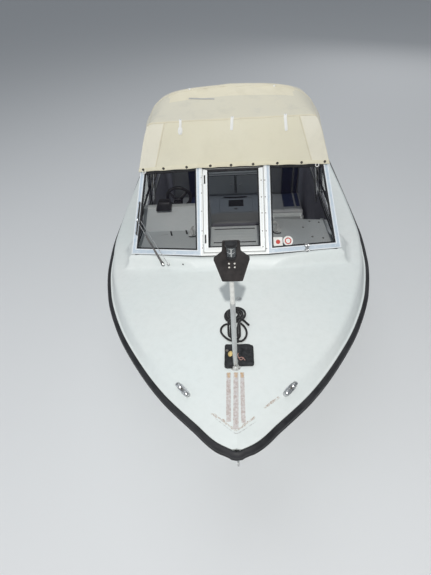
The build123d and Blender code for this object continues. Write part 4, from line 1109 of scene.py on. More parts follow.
# closing panels between the transom's top edge and the deck, either side of the motor's cut-out
edge_pts = [(x, z) for x, z in deck_profile(5500) if x > 331.0]
for sg, nm in ((1, "port"), (-1, "starboard")):
    x_end = min(edge_pts[-1][0] - 2.0, at(RAIL, 5500) - 17.0)
    up_ = [(332.0, top_z(332.0, 5499) - 1.5)] + [(x, z - 1.5) for x, z in edge_pts if 336.0 < x < x_end]
    low = min(rail_z(5500), up_[-1][1]) - 60.0
    outl = up_ + [(up_[-1][0], low), (332.0, low)]
    rows = []
    for s_, k in ((5478.0, 0.0), (5498.2, 0.0), (5499.6, 1.2)):
        rows.append([mm(sg * (x + (k if i in (0, len(outl) - 1) else -k if i in (len(up_) - 1, len(up_)) else 0.0)), s_, z - (k if i < len(up_) else 0.0)) for i, (x, z) in enumerate(outl)])
    pn = grid_object(f"transom_panel_{nm}", rows, "gelcoat", close_v=True, caps=True, angle=30)
    fix_normals(pn)
    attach(pn, "boat")
# =====================================================================================================
# windscreen: mitred profiles, rubber glazing, screws, hinges
# =====================================================================================================
M0, M1 = (248.0, 1421.0, 1062.0), (248.0, 1946.0, 1554.6)
O0, O1 = (803.0, 1517.0, 1028.0), (724.5, 2010.9, 1509.0)
SIDE_R0, SIDE_R1 = (806.0, 2450.0, 958.0), (722.0, 2280.0, 1488.0)


def flip(t, sign):
    return (sign * t[0], t[1], t[2])


def V3(t):
    return Vector(mm(*t))


class Flat:
    """plane of a pane, from its corners (base first, counter-clockwise from outside)"""

    def __init__(self, corners):
        c = [V3(t) for t in corners]
        self.o = c[0]
        self.x = (c[1] - c[0]).normalized()
        y = c[-1] - c[0]
        self.y = (y - self.x * y.dot(self.x)).normalized()
        self.n = self.x.cross(self.y)
        self.poly = [((p - self.o).dot(self.x), (p - self.o).dot(self.y)) for p in c]

    def at(self, u, v, h=0.0):
        return self.o + self.x * u + self.y * v + self.n * h

    def basis(self):
        return Matrix((self.x, self.y, self.n)).transposed()


def inset(poly, d):
    n = len(poly)
    lines = []
    for i in range(n):
        (x0, y0), (x1, y1) = poly[i], poly[(i + 1) % n]
        l = math.hypot(x1 - x0, y1 - y0)
        nx, ny = -(y1 - y0) / l, (x1 - x0) / l
        lines.append((nx, ny, nx * x0 + ny * y0 + d[i]))
    out = []
    for i in range(n):
        a1, b1, c1 = lines[i - 1]
        a2, b2, c2 = lines[i]
        det = a1 * b2 - a2 * b1
        out.append(((c1 * b2 - c2 * b1) / det, (a1 * c2 - a2 * c1) / det))
    return out


def ring(name, fl, margins, profile, mat, seg_mats=None, poly=None, top_mat=None):
    """mitred frame: profile of (share of the margin, offset, height) swept round the pane's outline"""
    poly = poly or fl.poly
    rows = []
    for a, b, h in profile:
        q = inset(poly, [a * m + b for m in margins])
        row = []
        for i in range(len(q)):
            (x0, y0), (x1, y1) = q[i], q[(i + 1) % len(q)]
            for t in (0.0, 0.02, 0.5, 0.98):
                row.append(tuple(fl.at(x0 + (x1 - x0) * t, y0 + (y1 - y0) * t, h)))
        rows.append(row)
    rows = np.asarray(rows, float)
    nu, nv = rows.shape[:2]
    ob = new_object(name, rows.reshape(-1, 3), grid_faces(nu, nv, True, True), mat)
    if seg_mats:
        keys = []
        for k in seg_mats.values():
            if k not in keys:
                keys.append(k)
        for k in keys:
            ob.data.materials.append(MATS[k].m)
        for i, k in seg_mats.items():
            for j in range(nv):
                ob.data.polygons[i * nv + j].material_index = 1 + keys.index(k)
    if top_mat:
        ob.data.materials.append(MATS[top_mat].m)
        for i in range(nu):
            for j in range(8, 12):
                ob.data.polygons[i * nv + j].material_index = len(ob.data.materials) - 1
    bm = bmesh.new()
    bm.from_mesh(ob.data)
    bmesh.ops.recalc_face_normals(bm, faces=bm.faces)
    bm.to_mesh(ob.data)
    bm.free()
    sharp_by_angle(ob, 25)
    return ob


PROFILE = [(0, 0, -0.028), (0, 0, -0.0038), (0, 0.0012, -0.0012), (0, 0.0034, 0.0), (0, 0.0085, 0.0), (0, 0.0100, -0.0014), (0, 0.0112, -0.0032),
           (1, -0.0108, -0.0032), (1, -0.0096, -0.0014), (1, -0.0082, 0.0), (1, -0.0026, -0.0002), (1, -0.0008, -0.0016), (1, 0, -0.0045), (1, 0, -0.028)]
THIN = [(0, 0, -0.028), (0, 0, -0.0012), (0, 0.0010, -0.0002), (0, 0.0022, 0.0), (1, -0.0022, 0.0), (1, -0.0010, -0.0002), (1, 0, -0.0012), (1, 0, -0.028)]
GASKET = [(1, -0.0010, -0.0030), (1, 0.0020, -0.0026), (1, 0.0060, -0.0048), (1, 0.0105, -0.0088), (1, 0.0125, -0.0108), (1, -0.0010, -0.0108)]
INNER_GASKET = [(1, -0.001, -0.0172), (1, 0.010, -0.0172), (1, 0.008, -0.022), (1, 0.002, -0.0262), (1, -0.001, -0.0262)]
PORT = Flat([M0, O0, O1, M1])
STBD = Flat([flip(O0, -1), flip(M0, -1), flip(M1, -1), flip(O1, -1)])
MID = Flat([flip(M0, -1), M0, M1, flip(M1, -1)])
MID_W, MID_L = 0.496, MID.poly[2][1]


def midpt(x, h, out=0.0):
    """a point of the middle pane's plane: x across, h up the rake, out from its face (metres)"""
    return MID.at(x + 0.248, h, out)


fixed, rubber = [], []
for fl, margins, name in ((PORT, [0.044, 0.038, 0.040, 0.032], "port"), (STBD, [0.044, 0.032, 0.040, 0.038], "starboard")):
    # the sloping groove faces of the fixed frames carry the painted sky reflection
    fixed.append(ring("f_" + name, fl, margins, PROFILE, "alloy", {6: "alloy_groove_painted_sky", 5: "alloy_groove_painted_sky", 7: "alloy_groove_painted_sky"}))
    top = list(margins)
    rubber.append(ring("g_" + name, fl, top, GASKET, "gasket"))
    # wider black band along the top of the glass: glazing rubber, widened as painted shadow of the hood's hem
    wide = list(margins)
    wide[2] += 0.014
    rubber.append(ring("gt_" + name, fl, wide, [(1, -0.018, -0.0035), (1, 0.006, -0.0035), (1, 0.009, -0.0105), (1, -0.018, -0.0105)], "gasket"))
    rubber.append(ring("gi_" + name, fl, margins, INNER_GASKET, "gasket"))
# the middle frame's top side is black: painted shadow of the hood's hem
fixed.append(ring("f_mid", MID, [0.020, 0.017, 0.052, 0.017], THIN, "white_profile", top_mat="gasket"))
# raised cover strips over the joints at the two kinks of the base
for sign in (-1, 1):
    a, b = midpt(sign * 0.2475, 0.004, 0.001), midpt(sign * 0.2475, MID_L - 0.01, 0.001)
    fixed.append(sweep("cover", [tuple(a + (b - a) * t) for t in np.linspace(0, 1, 6)], [(-0.0055, -0.001), (-0.0055, 0.0012), (-0.0035, 0.0024), (0.0035, 0.0024), (0.0055, 0.0012), (0.0055, -0.001)],
                       "alloy", up=tuple(MID.n), angle=25))
# side windows
side_flats = []
for sign in (1, -1):
    bo = (sign * (O0[0] - 4), O0[1] + 24, O0[2] - 2)
    to = (sign * (O1[0] - 4), O1[1] + 24, O1[2] - 2)
    br, tr = flip(SIDE_R0, sign), flip(SIDE_R1, sign)
    a1, a2 = [br[i] - bo[i] for i in range(3)], [to[i] - bo[i] for i in range(3)]
    nn = (a1[1] * a2[2] - a1[2] * a2[1], a1[2] * a2[0] - a1[0] * a2[2], a1[0] * a2[1] - a1[1] * a2[0])
    xr = bo[0] - (nn[1] * (tr[1] - bo[1]) + nn[2] * (tr[2] - bo[2])) / nn[0]
    tr = (xr, tr[1], tr[2])
    cor = [bo, br, tr, to] if sign > 0 else [br, bo, to, tr]
    marg = [0.030, 0.026, 0.024, 0.024] if sign > 0 else [0.030, 0.024, 0.024, 0.026]
    fl = Flat(cor)
    side_flats.append((fl, marg, sign))
    prof = [(0, 0, -0.022), (0, 0, -0.0030), (0, 0.0012, -0.0010), (0, 0.003, 0.0), (1, -0.003, 0.0), (1, -0.0012, -0.0010), (1, 0, -0.0035), (1, 0, -0.022)]
    fixed.append(ring("f_side", fl, marg, prof, "alloy"))
    rubber.append(ring("g_side", fl, marg, [(1, -0.001, -0.0026), (1, 0.004, -0.0028), (1, 0.0095, -0.0076), (1, -0.001, -0.0076)], "gasket"))
    rubber.append(ring("gi_side", fl, marg, [(1, -0.001, -0.0142), (1, 0.010, -0.0142), (1, 0.006, -0.0205), (1, -0.001, -0.0205)], "gasket"))
    # rubber foot strip along the coaming, inside and outside
    q = fl.poly
    e0, e1 = (q[0], q[1])
    for h, w in ((-0.001, 0.011), (-0.0225, 0.014)):
        pts = [tuple(fl.at(e0[0] + (e1[0] - e0[0]) * t, e0[1] + (e1[1] - e0[1]) * t + 0.008, h)) for t in np.linspace(0.01, 0.99, 20)]
        rubber.append(sweep("foot", pts, [(-0.004, -w), (0.004, -w), (0.005, w * 0.4), (0.002, w), (-0.002, w), (-0.005, w * 0.4)], "gasket", up=tuple(fl.y), angle=40))
# black sealant line under the base rails
base = [flip(O0, -1), flip(M0, -1), M0, O0]
pts = []
for a, b in zip(base, base[1:]):
    for t in np.linspace(0, 1, 12, endpoint=False):
        pts.append([a[k] + (b[k] - a[k]) * t for k in range(3)])
pts.append(list(base[-1]))
seal = [mm(x, s - 1.5, z - 1.5) for x, s, z in pts]
rubber.append(tube("seal", seal, 0.0028, "gasket", n=8))


def screw(c, n, r=0.0034, mat="steel", slot=True):
    """pan-head screw with a crossed recess"""
    h = lathe("screw", [(0, -0.0006), (r, -0.0006), (r, 0.0002), (r * 0.86, 0.0009), (r * 0.5, 0.0013), (r * 0.18, 0.0014), (r * 0.14, 0.0007), (0, 0.0006)], c, n, mat, n=12)
    return h


for h in (0.042, 0.174, 0.310, 0.432, 0.560):
    fixed.append(screw(midpt(0.2385, h, 0.0), MID.n, 0.0046, mat="worn_steel"))
for h in (0.06, 0.19, 0.34, 0.48, 0.60):
    fixed.append(screw(midpt(-0.2395, h, 0.0), MID.n, 0.0046, mat="worn_steel"))
for fl in (PORT, STBD):
    for t in (0.08, 0.36, 0.64, 0.92):
        (x0, y0), (x1, y1) = fl.poly[0], fl.poly[1]
        fixed.append(screw(fl.at(x0 + (x1 - x0) * t, 0.022, -0.0032), fl.n, 0.003, "alloy"))
frame_fixed = join("windscreen_profiles", fixed)
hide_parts("windscreen_frame")
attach(frame_fixed, "boat")
gl_rub = join("windscreen_rubber", rubber)
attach(gl_rub, "boat")

# hinged middle pane
DX, H0, H1 = 0.2255, 0.0255, MID_L - 0.052 - 0.0055
dpoly = [(0.248 - DX, H0), (0.248 + DX, H0), (0.248 + DX, H1), (0.248 - DX, H1)]
dm = [0.036, 0.032, 0.009, 0.032]
parts = []
# the top rail is slim, so the profile runs with a narrow top margin; its top side is black, painted shadow of the
# hood's hem
flat_prof = [(0, 0, -0.024), (0, 0, 0.0008), (0, 0.0010, 0.0018), (0, 0.0022, 0.002), (1, -0.0022, 0.002), (1, -0.0010, 0.0016), (1, 0, 0.0), (1, 0, -0.024)]
parts.append(ring("door", MID, dm, flat_prof, "white_profile", poly=dpoly, top_mat="gasket"))
for x0, x1, h0, h1 in ((-DX + 0.004, -DX + 0.008, H0 + 0.01, H1 - 0.012), (DX - 0.008, DX - 0.004, H0 + 0.01, H1 - 0.012), (-DX + 0.024, -DX + 0.028, H0 + 0.03, H1 - 0.012), (DX - 0.028, DX - 0.024, H0 + 0.03, H1 - 0.012)):
    a, b = midpt((x0 + x1) / 2, h0, 0.0022), midpt((x0 + x1) / 2, h1, 0.0022)
    parts.append(sweep("bead", [tuple(a + (b - a) * t) for t in (0, 0.02, 0.5, 0.98, 1)], [(-0.002, -0.001), (-0.0014, 0.0006), (0.0014, 0.0006), (0.002, -0.001)], "alloy", up=tuple(MID.n), angle=25))
for h in (0.030 + H0, 0.174, 0.310, 0.432, 0.560):
    parts.append(screw(midpt(0.2105, h, 0.002), MID.n, 0.0046, mat="worn_steel"))
for h in (0.097, 0.553):
    a, b = midpt(-0.231, h + 0.002, 0.009), midpt(-0.231, h + 0.058, 0.009)
    parts.append(tube("knuckle", [tuple(a + (b - a) * t) for t in (0, 0.02, 0.3, 0.31, 0.33, 0.34, 0.64, 0.65, 0.67, 0.68, 0.98, 1)], 0.0050, "white_profile", n=12,
                      scale=[0.8, 1, 1, 0.86, 0.86, 1, 1, 0.86, 0.86, 1, 1, 0.8]))
    m = MID.basis()
    leaf = bevel_box("leaf", (-0.0040, -0.029, -0.0013), (0.0040, 0.029, 0.0013), 0.001, "white_profile", seg=2, rot=m)
    leaf.data.transform(Matrix.Translation(midpt(-0.2230, h + 0.030, 0.0045)))
    parts.append(leaf)
    slot = bevel_box("slotted", (-0.0052, -0.033, -0.0009), (0.0052, 0.033, 0.0009), 0.0008, "dark", seg=2, rot=m)
    slot.data.transform(Matrix.Translation(midpt(-0.2135, h + 0.030, 0.0027)))
    parts.append(slot)
door = join("centre_screen_profiles", parts)
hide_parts("centre_screen_frame")
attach(door, "centre_screen")
dr = [ring("dg", MID, dm, [(1, -0.001, -0.0005), (1, 0.002, -0.0002), (1, 0.0075, -0.0035), (1, 0.0105, -0.0078), (1, -0.001, -0.0078)], "gasket", poly=dpoly),
      ring("dgi", MID, dm, [(1, -0.001, -0.0142), (1, 0.009, -0.0142), (1, 0.005, -0.0215), (1, -0.001, -0.0215)], "gasket", poly=dpoly)]
# bulb seal round the pane's edge
e = [(0.248 - DX + 0.0015, H0 + 0.0015), (0.248 + DX - 0.0015, H0 + 0.0015), (0.248 + DX - 0.0015, H1 - 0.0015), (0.248 - DX + 0.0015, H1 - 0.0015)]
path = []
for i in range(4):
    a, b = MID.at(*e[i], -0.020), MID.at(*e[(i + 1) % 4], -0.020)
    path += [tuple(a + (b - a) * t) for t in np.linspace(0, 1, 10, endpoint=False)]
dr.append(tube("bulb", path, 0.0028, "gasket", n=8, closed=True))
e = [(0.248 - DX - 0.0025, H0 - 0.0025), (0.248 + DX + 0.0025, H0 - 0.0025), (0.248 + DX + 0.0025, H1 + 0.0025), (0.248 - DX - 0.0025, H1 + 0.0025)]
path = []
for i in range(4):
    a, b = MID.at(*e[i], -0.0042), MID.at(*e[(i + 1) % 4], -0.0042)
    path += [tuple(a + (b - a) * t) for t in np.linspace(0, 1, 10, endpoint=False)]
dr.append(tube("lip", path, 0.0024, "seal_grey", n=8, closed=True))
# turn handle inside the opening side
h1 = bevel_box("handle", (-0.007, -0.030, -0.004), (0.007, 0.030, 0.004), 0.0035, "plastic", rot=MID.basis())
h1.data.transform(Matrix.Translation(midpt(DX - 0.016, 0.33, -0.0285)))
dr.append(h1)
drub = join("centre_screen_rubber", dr)
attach(drub, "centre_screen")

# small things on the panes and the base rail
bits = []
sq = [(0.0540, 0.1235), (0.1225, 0.1192), (0.1190, 0.0490), (0.0495, 0.0525)]
PN = PORT


def decal(name, outline, h, mat, t=0.0006):
    n = len(outline)
    v = [tuple(PN.at(x, y, h)) for x, y in outline] + [tuple(PN.at(x, y, h + t)) for x, y in outline]
    f = [tuple(range(n))[::-1], tuple(range(n, 2 * n))] + [(i, (i + 1) % n, n + (i + 1) % n, n + i) for i in range(n)]
    ob = new_object(name, v, f, mat, smooth=False)
    fix_normals(ob)
    return ob


def disc(cx, cy, r, n=40):
    return [(cx + r * math.cos(2 * math.pi * k / n), cy + r * math.sin(2 * math.pi * k / n)) for k in range(n)]


bits.append(decal("sticker_square", sq, -0.0108, "sticker"))
bits.append(decal("sticker_square_spot", disc(0.0862, 0.0862, 0.0165), -0.0102, "sticker_red", 0.0004))
bits.append(decal("sticker_round", disc(0.1635, 0.0875, 0.0375), -0.0108, "sticker"))
bits.append(decal("sticker_round_edge", disc(0.1635, 0.0875, 0.0250), -0.0102, "sticker_red", 0.0004))
bits.append(decal("sticker_round_mid", disc(0.1635, 0.0875, 0.0170), -0.0098, "sticker", 0.0004))
stk = join("windscreen_stickers", bits)
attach(stk, "boat")
fit = []
for (u, w), r in (((0.2995, 0.0379), 0.021), ((0.2948, 0.0025), 0.019)):
    c = PORT.at(u, w, 0.0)
    fit.append(lathe("stud", [(0, -0.001), (r, -0.001), (r, 0.003), (r * 0.9, 0.007), (r * 0.72, 0.009), (r * 0.6, 0.0075), (r * 0.45, 0.0075), (r * 0.42, 0.015), (r * 0.34, 0.019), (0, 0.020)], c, PORT.n, "steel", n=24))
pf = join("port_screen_fitting", fit)
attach(pf, "boat")
# vent stud on the plinth
st = lathe("plinth_stud", [(0, -0.002), (0.0055, -0.002), (0.0055, 0.002), (0.003, 0.0045), (0, 0.005)], mm(-387, 1382, top_z(-387, 1382)), (0.1, -0.6, 0.76), "dark", n=14)
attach(st, "boat")

# ---- wiper
def lerp3(a, b, t):
    return tuple(a[k] + (b[k] - a[k]) * t for k in range(3))


wp1, wp2, wend = mm(-544, 1415, 999), mm(-501, 1406, 1004), mm(-737, 1659, 1230)
nw = Vector((0, -0.74, 0.68))
post = (V3(flip(O1, -1)) - V3(flip(O0, -1))).normalized()
w = []
for p, r in ((wp1, 0.0125), (wp2, 0.0095)):
    c = Vector(p)
    w.append(lathe("pivot", [(0, -0.008), (r * 1.35, -0.008), (r * 1.35, 0.000), (r, 0.002), (r, 0.014), (r * 0.8, 0.019), (r * 0.55, 0.020), (r * 0.5, 0.026), (0, 0.027)], c, nw, "steel", n=20))
a0 = Vector(wp1) + nw * 0.019
b0 = Vector(wend) + nw * 0.004
dirw = (b0 - a0).normalized()
sidew = dirw.cross(nw).normalized()
n_up = sidew.cross(dirw).normalized()
rows = []
L = (b0 - a0).length
for t, wd, th in ((-0.02, 0.004, 0.003), (-0.018, 0.010, 0.005), (0.0, 0.0125, 0.0065), (0.03, 0.012, 0.0065), (0.06, 0.0085, 0.0050), (0.3, 0.0072, 0.0045), (0.60, 0.0060, 0.0042), (0.64, 0.0064, 0.0046), (0.67, 0.0064, 0.0046), (0.675, 0.0030, 0.0025)):
    c = a0 + dirw * L * t + n_up * 0.006 * math.sin(math.pi * min(1, max(0, t)))
    rows.append([tuple(c + sidew * wd * math.cos(q) + n_up * th * math.sin(q)) for q in np.linspace(0, 2 * math.pi, 12, endpoint=False)])
w.append(grid_object("arm", rows, "wiper", close_v=True, caps=True, angle=40))
c1 = a0 + dirw * L * 0.66 + n_up * 0.006 * math.sin(math.pi * 0.66)
wire = smooth_path([tuple(c1), tuple(a0 + dirw * L * 0.8 + n_up * 0.010), tuple(a0 + dirw * L * 0.93 + n_up * 0.011), tuple(b0 + n_up * 0.004)], 16)
w.append(tube("wire", wire, 0.0022, "steel", n=8))
a2, b2 = Vector(wp2) + nw * 0.016, Vector(wend) + Vector((0.022, 0.0, 0.006))
w.append(tube("rod", [tuple(a2 + (b2 - a2) * t + n_up * 0.004 * math.sin(math.pi * t)) for t in np.linspace(0, 1, 12)], 0.0023, "steel", n=8))
w.append(tube("link", [tuple(b2 + Vector((0.004, 0, 0.002))), tuple(b0), tuple(b0 - Vector((0.010, 0, 0.0)))], 0.0036, "wiper", n=8))
bc = Vector(wend) + Vector((0.0, 0.016, 0.015))
nb = -STBD.n if STBD.n.y > 0 else STBD.n
blade0, blade1 = bc - post * 0.125, bc + post * 0.135
spine = [tuple(blade0 + (blade1 - blade0) * t + nb * (0.008 * math.sin(math.pi * t))) for t in np.linspace(0, 1, 14)]
w.append(sweep("spine", spine, [(-0.004, -0.0015), (-0.003, 0.0018), (0.003, 0.0018), (0.004, -0.0015)], "wiper", up=tuple(nb), angle=30))
w.append(sweep("blade", [tuple(blade0 + (blade1 - blade0) * t - nb * 0.006) for t in np.linspace(0, 1, 8)], [(-0.0012, -0.006), (-0.003, 0.003), (-0.0025, 0.005), (0.0025, 0.005), (0.003, 0.003), (0.0012, -0.006)], "gasket",
                up=tuple(nb), angle=30))
for t in (0.05, 0.5, 0.95):
    c = blade0 + (blade1 - blade0) * t + nb * 0.002
    cb = bevel_box("claw", (-0.005, -0.009, -0.006), (0.005, 0.009, 0.006), 0.002, "wiper", rot=STBD.basis())
    cb.data.transform(Matrix.Translation(c))
    w.append(cb)
w.append(tube("stem", [tuple(b0 + n_up * 0.002), tuple(bc + nb * 0.009)], 0.0035, "steel", n=8))
wip = join("wiper_assembly", w)
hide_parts("wiper")
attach(wip, "boat")
# =====================================================================================================
# canvas hood: one continuous sheet over two hoops, buttoned to the windscreen's top rail
# =====================================================================================================
def catmull(pts, per):
    p = np.asarray(pts, float)
    ext = np.vstack([2 * p[0] - p[1], p, 2 * p[-1] - p[-2]])
    out = []
    for i in range(len(p) - 1):
        p0, p1, p2, p3 = ext[i:i + 4]
        for t in np.linspace(0, 1, per, endpoint=False):
            out.append(0.5 * ((2 * p1) + (-p0 + p2) * t + (2 * p0 - 5 * p1 + 4 * p2 - p3) * t * t + (-p0 + 3 * p1 - 3 * p2 + p3) * t ** 3))
    out.append(p[-1])
    return np.array(out)


PER = 8
# half sections from the lower edge to the crown: x, s, z
ARCH = [(738, 1973, 1484), (714, 1982, 1560), (685, 1992, 1650), (655, 2001, 1738), (630, 2007, 1795), (612, 2010, 1826), (592, 2010, 1838), (540, 2010, 1841.5), (326, 2010, 1843), (0, 2010, 1843)]
HOOP1 = [(742, 2330, 1500), (728, 2330, 1570), (708, 2330, 1650), (690, 2330, 1725), (668, 2330, 1770), (639, 2330, 1813), (591, 2330, 1874), (488, 2330, 1940), (326, 2330, 1972), (0, 2330, 1996)]
SIDE2 = [(822, 2490, 972), (797, 2490, 1150), (770, 2490, 1330), (738, 2490, 1520), (705, 2490, 1655), (668, 2490, 1750), (600, 2490, 1846), (508, 2490, 1904), (300, 2490, 1933), (0, 2490, 1946)]
REAR = [(822, 3050, 972), (802, 3050, 1110), (780, 3050, 1250), (752, 3050, 1400), (722, 3050, 1520), (690, 3050, 1610), (625, 3050, 1698), (528, 3050, 1750), (300, 3050, 1777), (0, 3050, 1785)]
# just ahead of the first hoop the lower edge starts down towards the coaming
MID1 = [(740, 2240, 1500), (725, 2240, 1565), (705, 2240, 1642), (684, 2240, 1718), (662, 2240, 1768), (636, 2240, 1806), (590, 2240, 1860), (500, 2240, 1911), (326, 2240, 1935), (0, 2240, 1951)]
ROWS = [(ARCH, 0), (MID1, 17), (HOOP1, 24), (SIDE2, 38), (REAR, 68)]


def half(tab):
    return catmull(tab, PER)


halves = [half(t) for t, _ in ROWS]
nr = ROWS[-1][1] + 1
nh = halves[0].shape[0]
H = np.zeros((nr, nh, 3))
for (ta, ra), (tb, rb), ha, hb in zip(ROWS, ROWS[1:], halves, halves[1:]):
    for r in range(ra, rb + 1):
        t = (r - ra) / (rb - ra)
        H[r] = ha * (1 - t) + hb * t
# round the crest over the hoop, and let the cloth sag between the hoops
K = H.copy()
for r in range(1, nr - 1):
    if 15 < r < 44:
        K[r] = 0.25 * H[r - 1] + 0.5 * H[r] + 0.25 * H[r + 1]
H = K
for r in range(nr):
    s = H[r, -1, 1]
    sag = 0.0
    if s < 2330:
        sag = 7.0 * math.sin(math.pi * (s - 2010) / 320.0)
    elif s < 3050:
        sag = 13.0 * math.sin(math.pi * (s - 2330) / 720.0) ** 1.2
    for j in range(nh):
        k = j / (nh - 1)
        if k > 0.55:
            H[r, j, 2] -= sag * (0.4 + 0.6 * (k - 0.55) / 0.45)
        elif s > 2330:
            H[r, j, 0] -= sag * 0.8 * math.sin(math.pi * k / 0.55)
full = np.concatenate([H, (H * np.array([-1, 1, 1]))[:, -2::-1]], axis=1)      # port edge over the crown to the starboard edge
nc = full.shape[1]
CI = 6 * PER                                                                   # column of the port corner
CJ = nc - 1 - CI


def fn(v, k, seed=0.0):
    return mnoise.noise(Vector((v[0] * k + seed, v[1] * k - seed * 0.7, v[2] * k + seed * 1.3)))


def hem_point(x, drop=0.0):
    """the hood's lower front edge, in front of the top rail (x in mm)"""
    ax = abs(x)
    if ax <= 248:
        y = (1903.0, 1527.0)
    else:
        t = (ax - 248) / (738 - 248)
        y = (1903.0 + (1973 - 1903.0) * t, 1527.0 + (1484 - 1527.0) * t)
    # rounding of the kink
    k = math.exp(-((ax - 248) / 45.0) ** 2) * 2.0
    return np.array([x, y[0] + k, y[1] + 0.2 * k])


FAST = [-694.0, -530.6, -347.5, -166.4, -11.5, 153.7, 333.9, 517.0, 694.7]
top_row = full[0, CI:CJ + 1]
nb = top_row.shape[0]
left, right = full[0, :CI + 1], full[0, CJ:][::-1]
hem = np.array([hem_point(738.0 * p[0] / 592.0) for p in top_row])
hem[0], hem[-1] = left[0], right[0]
B = np.zeros((CI + 1, nb, 3))
for r in range(CI + 1):
    v = np.linalg.norm(left[r] - left[0]) / np.linalg.norm(left[CI] - left[0])
    for c in range(nb):
        u = c / (nb - 1)
        # ruled between hem and seam, pulled to the two side edges
        ruled_p = hem[c] * (1 - v) + top_row[c] * v
        e0 = left[r] - (left[0] * (1 - v) + left[CI] * v)
        e1 = right[r] - (right[0] * (1 - v) + right[CI] * v)
        w0, w1 = max(0, 1 - u / 0.16) ** 1.5, max(0, 1 - (1 - u) / 0.16) ** 1.5
        B[r, c] = ruled_p + e0 * w0 + e1 * w1
# slack of the front panel: soft billow, tension folds to the corners, scallops between the buttons
nB = np.array([0.0, -0.80, 0.60])
for r in range(CI + 1):
    for c in range(nb):
        p = B[r, c]
        v = r / CI
        edge = min(1.0, 6 * v) * min(1.0, 6 * (1 - v))
        u = c / (nb - 1)
        side = min(1.0, u * 7, (1 - u) * 7)
        d = 3.5 * math.sin(math.pi * v) * side + 3.0 * fn(p / 1000, 2.3, 3.1) * edge * side
        # folds running from the top corners towards the middle of the hem
        for sx in (-1, 1):
            q = (p[0] * sx - 500) * 0.62 + (p[2] - 1700) * 0.78
            d += 1.6 * math.sin(q / 26.0) * math.exp(-((p[0] * sx - 560) / 120.0) ** 2) * edge * side
        if v < 0.18:
            k = 1 - v / 0.18
            ph = np.interp(p[0], FAST, range(9))
            wave = 0.5 - 0.5 * math.cos(2 * math.pi * ph)
            if FAST[0] < p[0] < FAST[-1]:
                d += 4.0 * wave * k * side + 1.5 * fn(p / 1000, 9.0, 1.0) * k
                B[r, c, 2] += 3.2 * wave * k * k * side + 1.5 * fn(p / 1000, 6.0, 4.0) * k * side
        B[r, c] = B[r, c] + nB * d
for r in range(nr):
    for c in range(nc):
        p = full[r, c].copy()
        s = p[1]
        e = min(1.0, (s - 2010) / 40.0) if s < 2330 else 1.0
        e *= min(1.0, (3050 - s) / 60.0)
        e = max(e, 0.0)
        if p[2] < 1560 and s < 2400:
            e *= 0.3
        edge = min(c, nc - 1 - c) / (nc - 1)
        d = 5.0 * fn(p / 1000, 1.9, 7.7) * e + 2.4 * fn(p / 1000, 5.2, 2.2) * e
        # wrinkles in the sleeve of the first hoop
        g = math.exp(-((s - 2285) / 42.0) ** 2) * math.exp(-(p[0] / 360.0) ** 4)
        if p[2] > 1800:
            d += g * (5.5 * math.sin(p[0] / 21.0 + 2.6 * fn(p / 1000, 7.0, 5.0) + (s - 2285) / 19.0) + 5.0 * fn(p / 1000, 14.0, 9.0))
        # slack folds low on the sides
        if p[2] < 1700 and s > 2360:
            d += 3.5 * math.sin((s + 0.5 * p[2]) / 60.0 + 2.0 * fn(p / 1000, 3.0, 6.0)) * e * min(1.0, edge * 14)
        a = math.atan2(p[2] - 1500, abs(p[0]) - 300)
        nrm = np.array([math.copysign(max(0.0, math.cos(min(max(a, 0.0), math.pi / 2))), p[0]), 0.0, math.sin(min(max(a, 0.15), math.pi / 2))])
        full[r, c] = p + nrm * d * (1 if edge > 0.004 else 0.3)
B[:, 0], B[:, -1] = full[0, :CI + 1], full[0, CJ:][::-1]
B[CI, :] = full[0, CI:CJ + 1]


def to_m(P):
    Q = np.array(P, float)
    out = Q / 1000.0
    out[..., 1] -= HALF
    return out


FULL, FRONT = to_m(full), to_m(B)
verts = list(FULL.reshape(-1, 3))
faces = grid_faces(nr, nc)
idx = np.zeros((CI + 1, nb), int)
for r in range(CI + 1):
    for c in range(nb):
        if r == CI:
            idx[r, c] = CI + c
        elif c == 0:
            idx[r, c] = r
        elif c == nb - 1:
            idx[r, c] = nc - 1 - r
        else:
            idx[r, c] = len(verts)
            verts.append(FRONT[r, c])
for r in range(CI):
    for c in range(nb - 1):
        faces.append((idx[r, c], idx[r, c + 1], idx[r + 1, c + 1], idx[r + 1, c]))
hood = new_object("hood_canvas", verts, faces, "canvas_roof")
for key in ("canvas_front", "canvas_side", "canvas_crest"):
    hood.data.materials.append(MATS[key].m)
nroof = (nr - 1) * (nc - 1)
for i, f in enumerate(hood.data.polygons):
    if i >= nroof:
        xm = 0.5 * (top_row[(i - nroof) % (nb - 1)][0] + top_row[(i - nroof) % (nb - 1) + 1][0])
        f.material_index = 1 if abs(xm) < 484 else 2
    elif 16 <= i // (nc - 1) < 27 and abs(0.5 * (full[i // (nc - 1), i % (nc - 1)][0] + full[i // (nc - 1), i % (nc - 1) + 1][0])) < 470:
        f.material_index = 3
bm = bmesh.new()
bm.from_mesh(hood.data)
bmesh.ops.recalc_face_normals(bm, faces=bm.faces)
bm.faces.ensure_lookup_table()
if sum((f.calc_center_median() - Vector((0, 0, 1.3))).dot(f.normal) for f in bm.faces) < 0:
    bmesh.ops.reverse_faces(bm, faces=bm.faces)
bm.to_mesh(hood.data)
bm.free()
HOOD_AREA = sum(f.area for f in hood.data.polygons)
hood_dg = bpy.context.evaluated_depsgraph_get()
bmh = bmesh.new()
bmh.from_mesh(hood.data)
HOOD_TREE = BVHTree.FromBMesh(bmh)
bmh.free()
sd = hood.modifiers.new("t", "SOLIDIFY")
sd.thickness = 0.0016
sd.offset = -1
sd.use_even_offset = False
apply_mods(hood)
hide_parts("canopy")
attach(hood, "boat")


def on_hood(p, out=0.0):
    loc, n, _, _ = HOOD_TREE.find_nearest(Vector(p))
    return loc + n * out, n


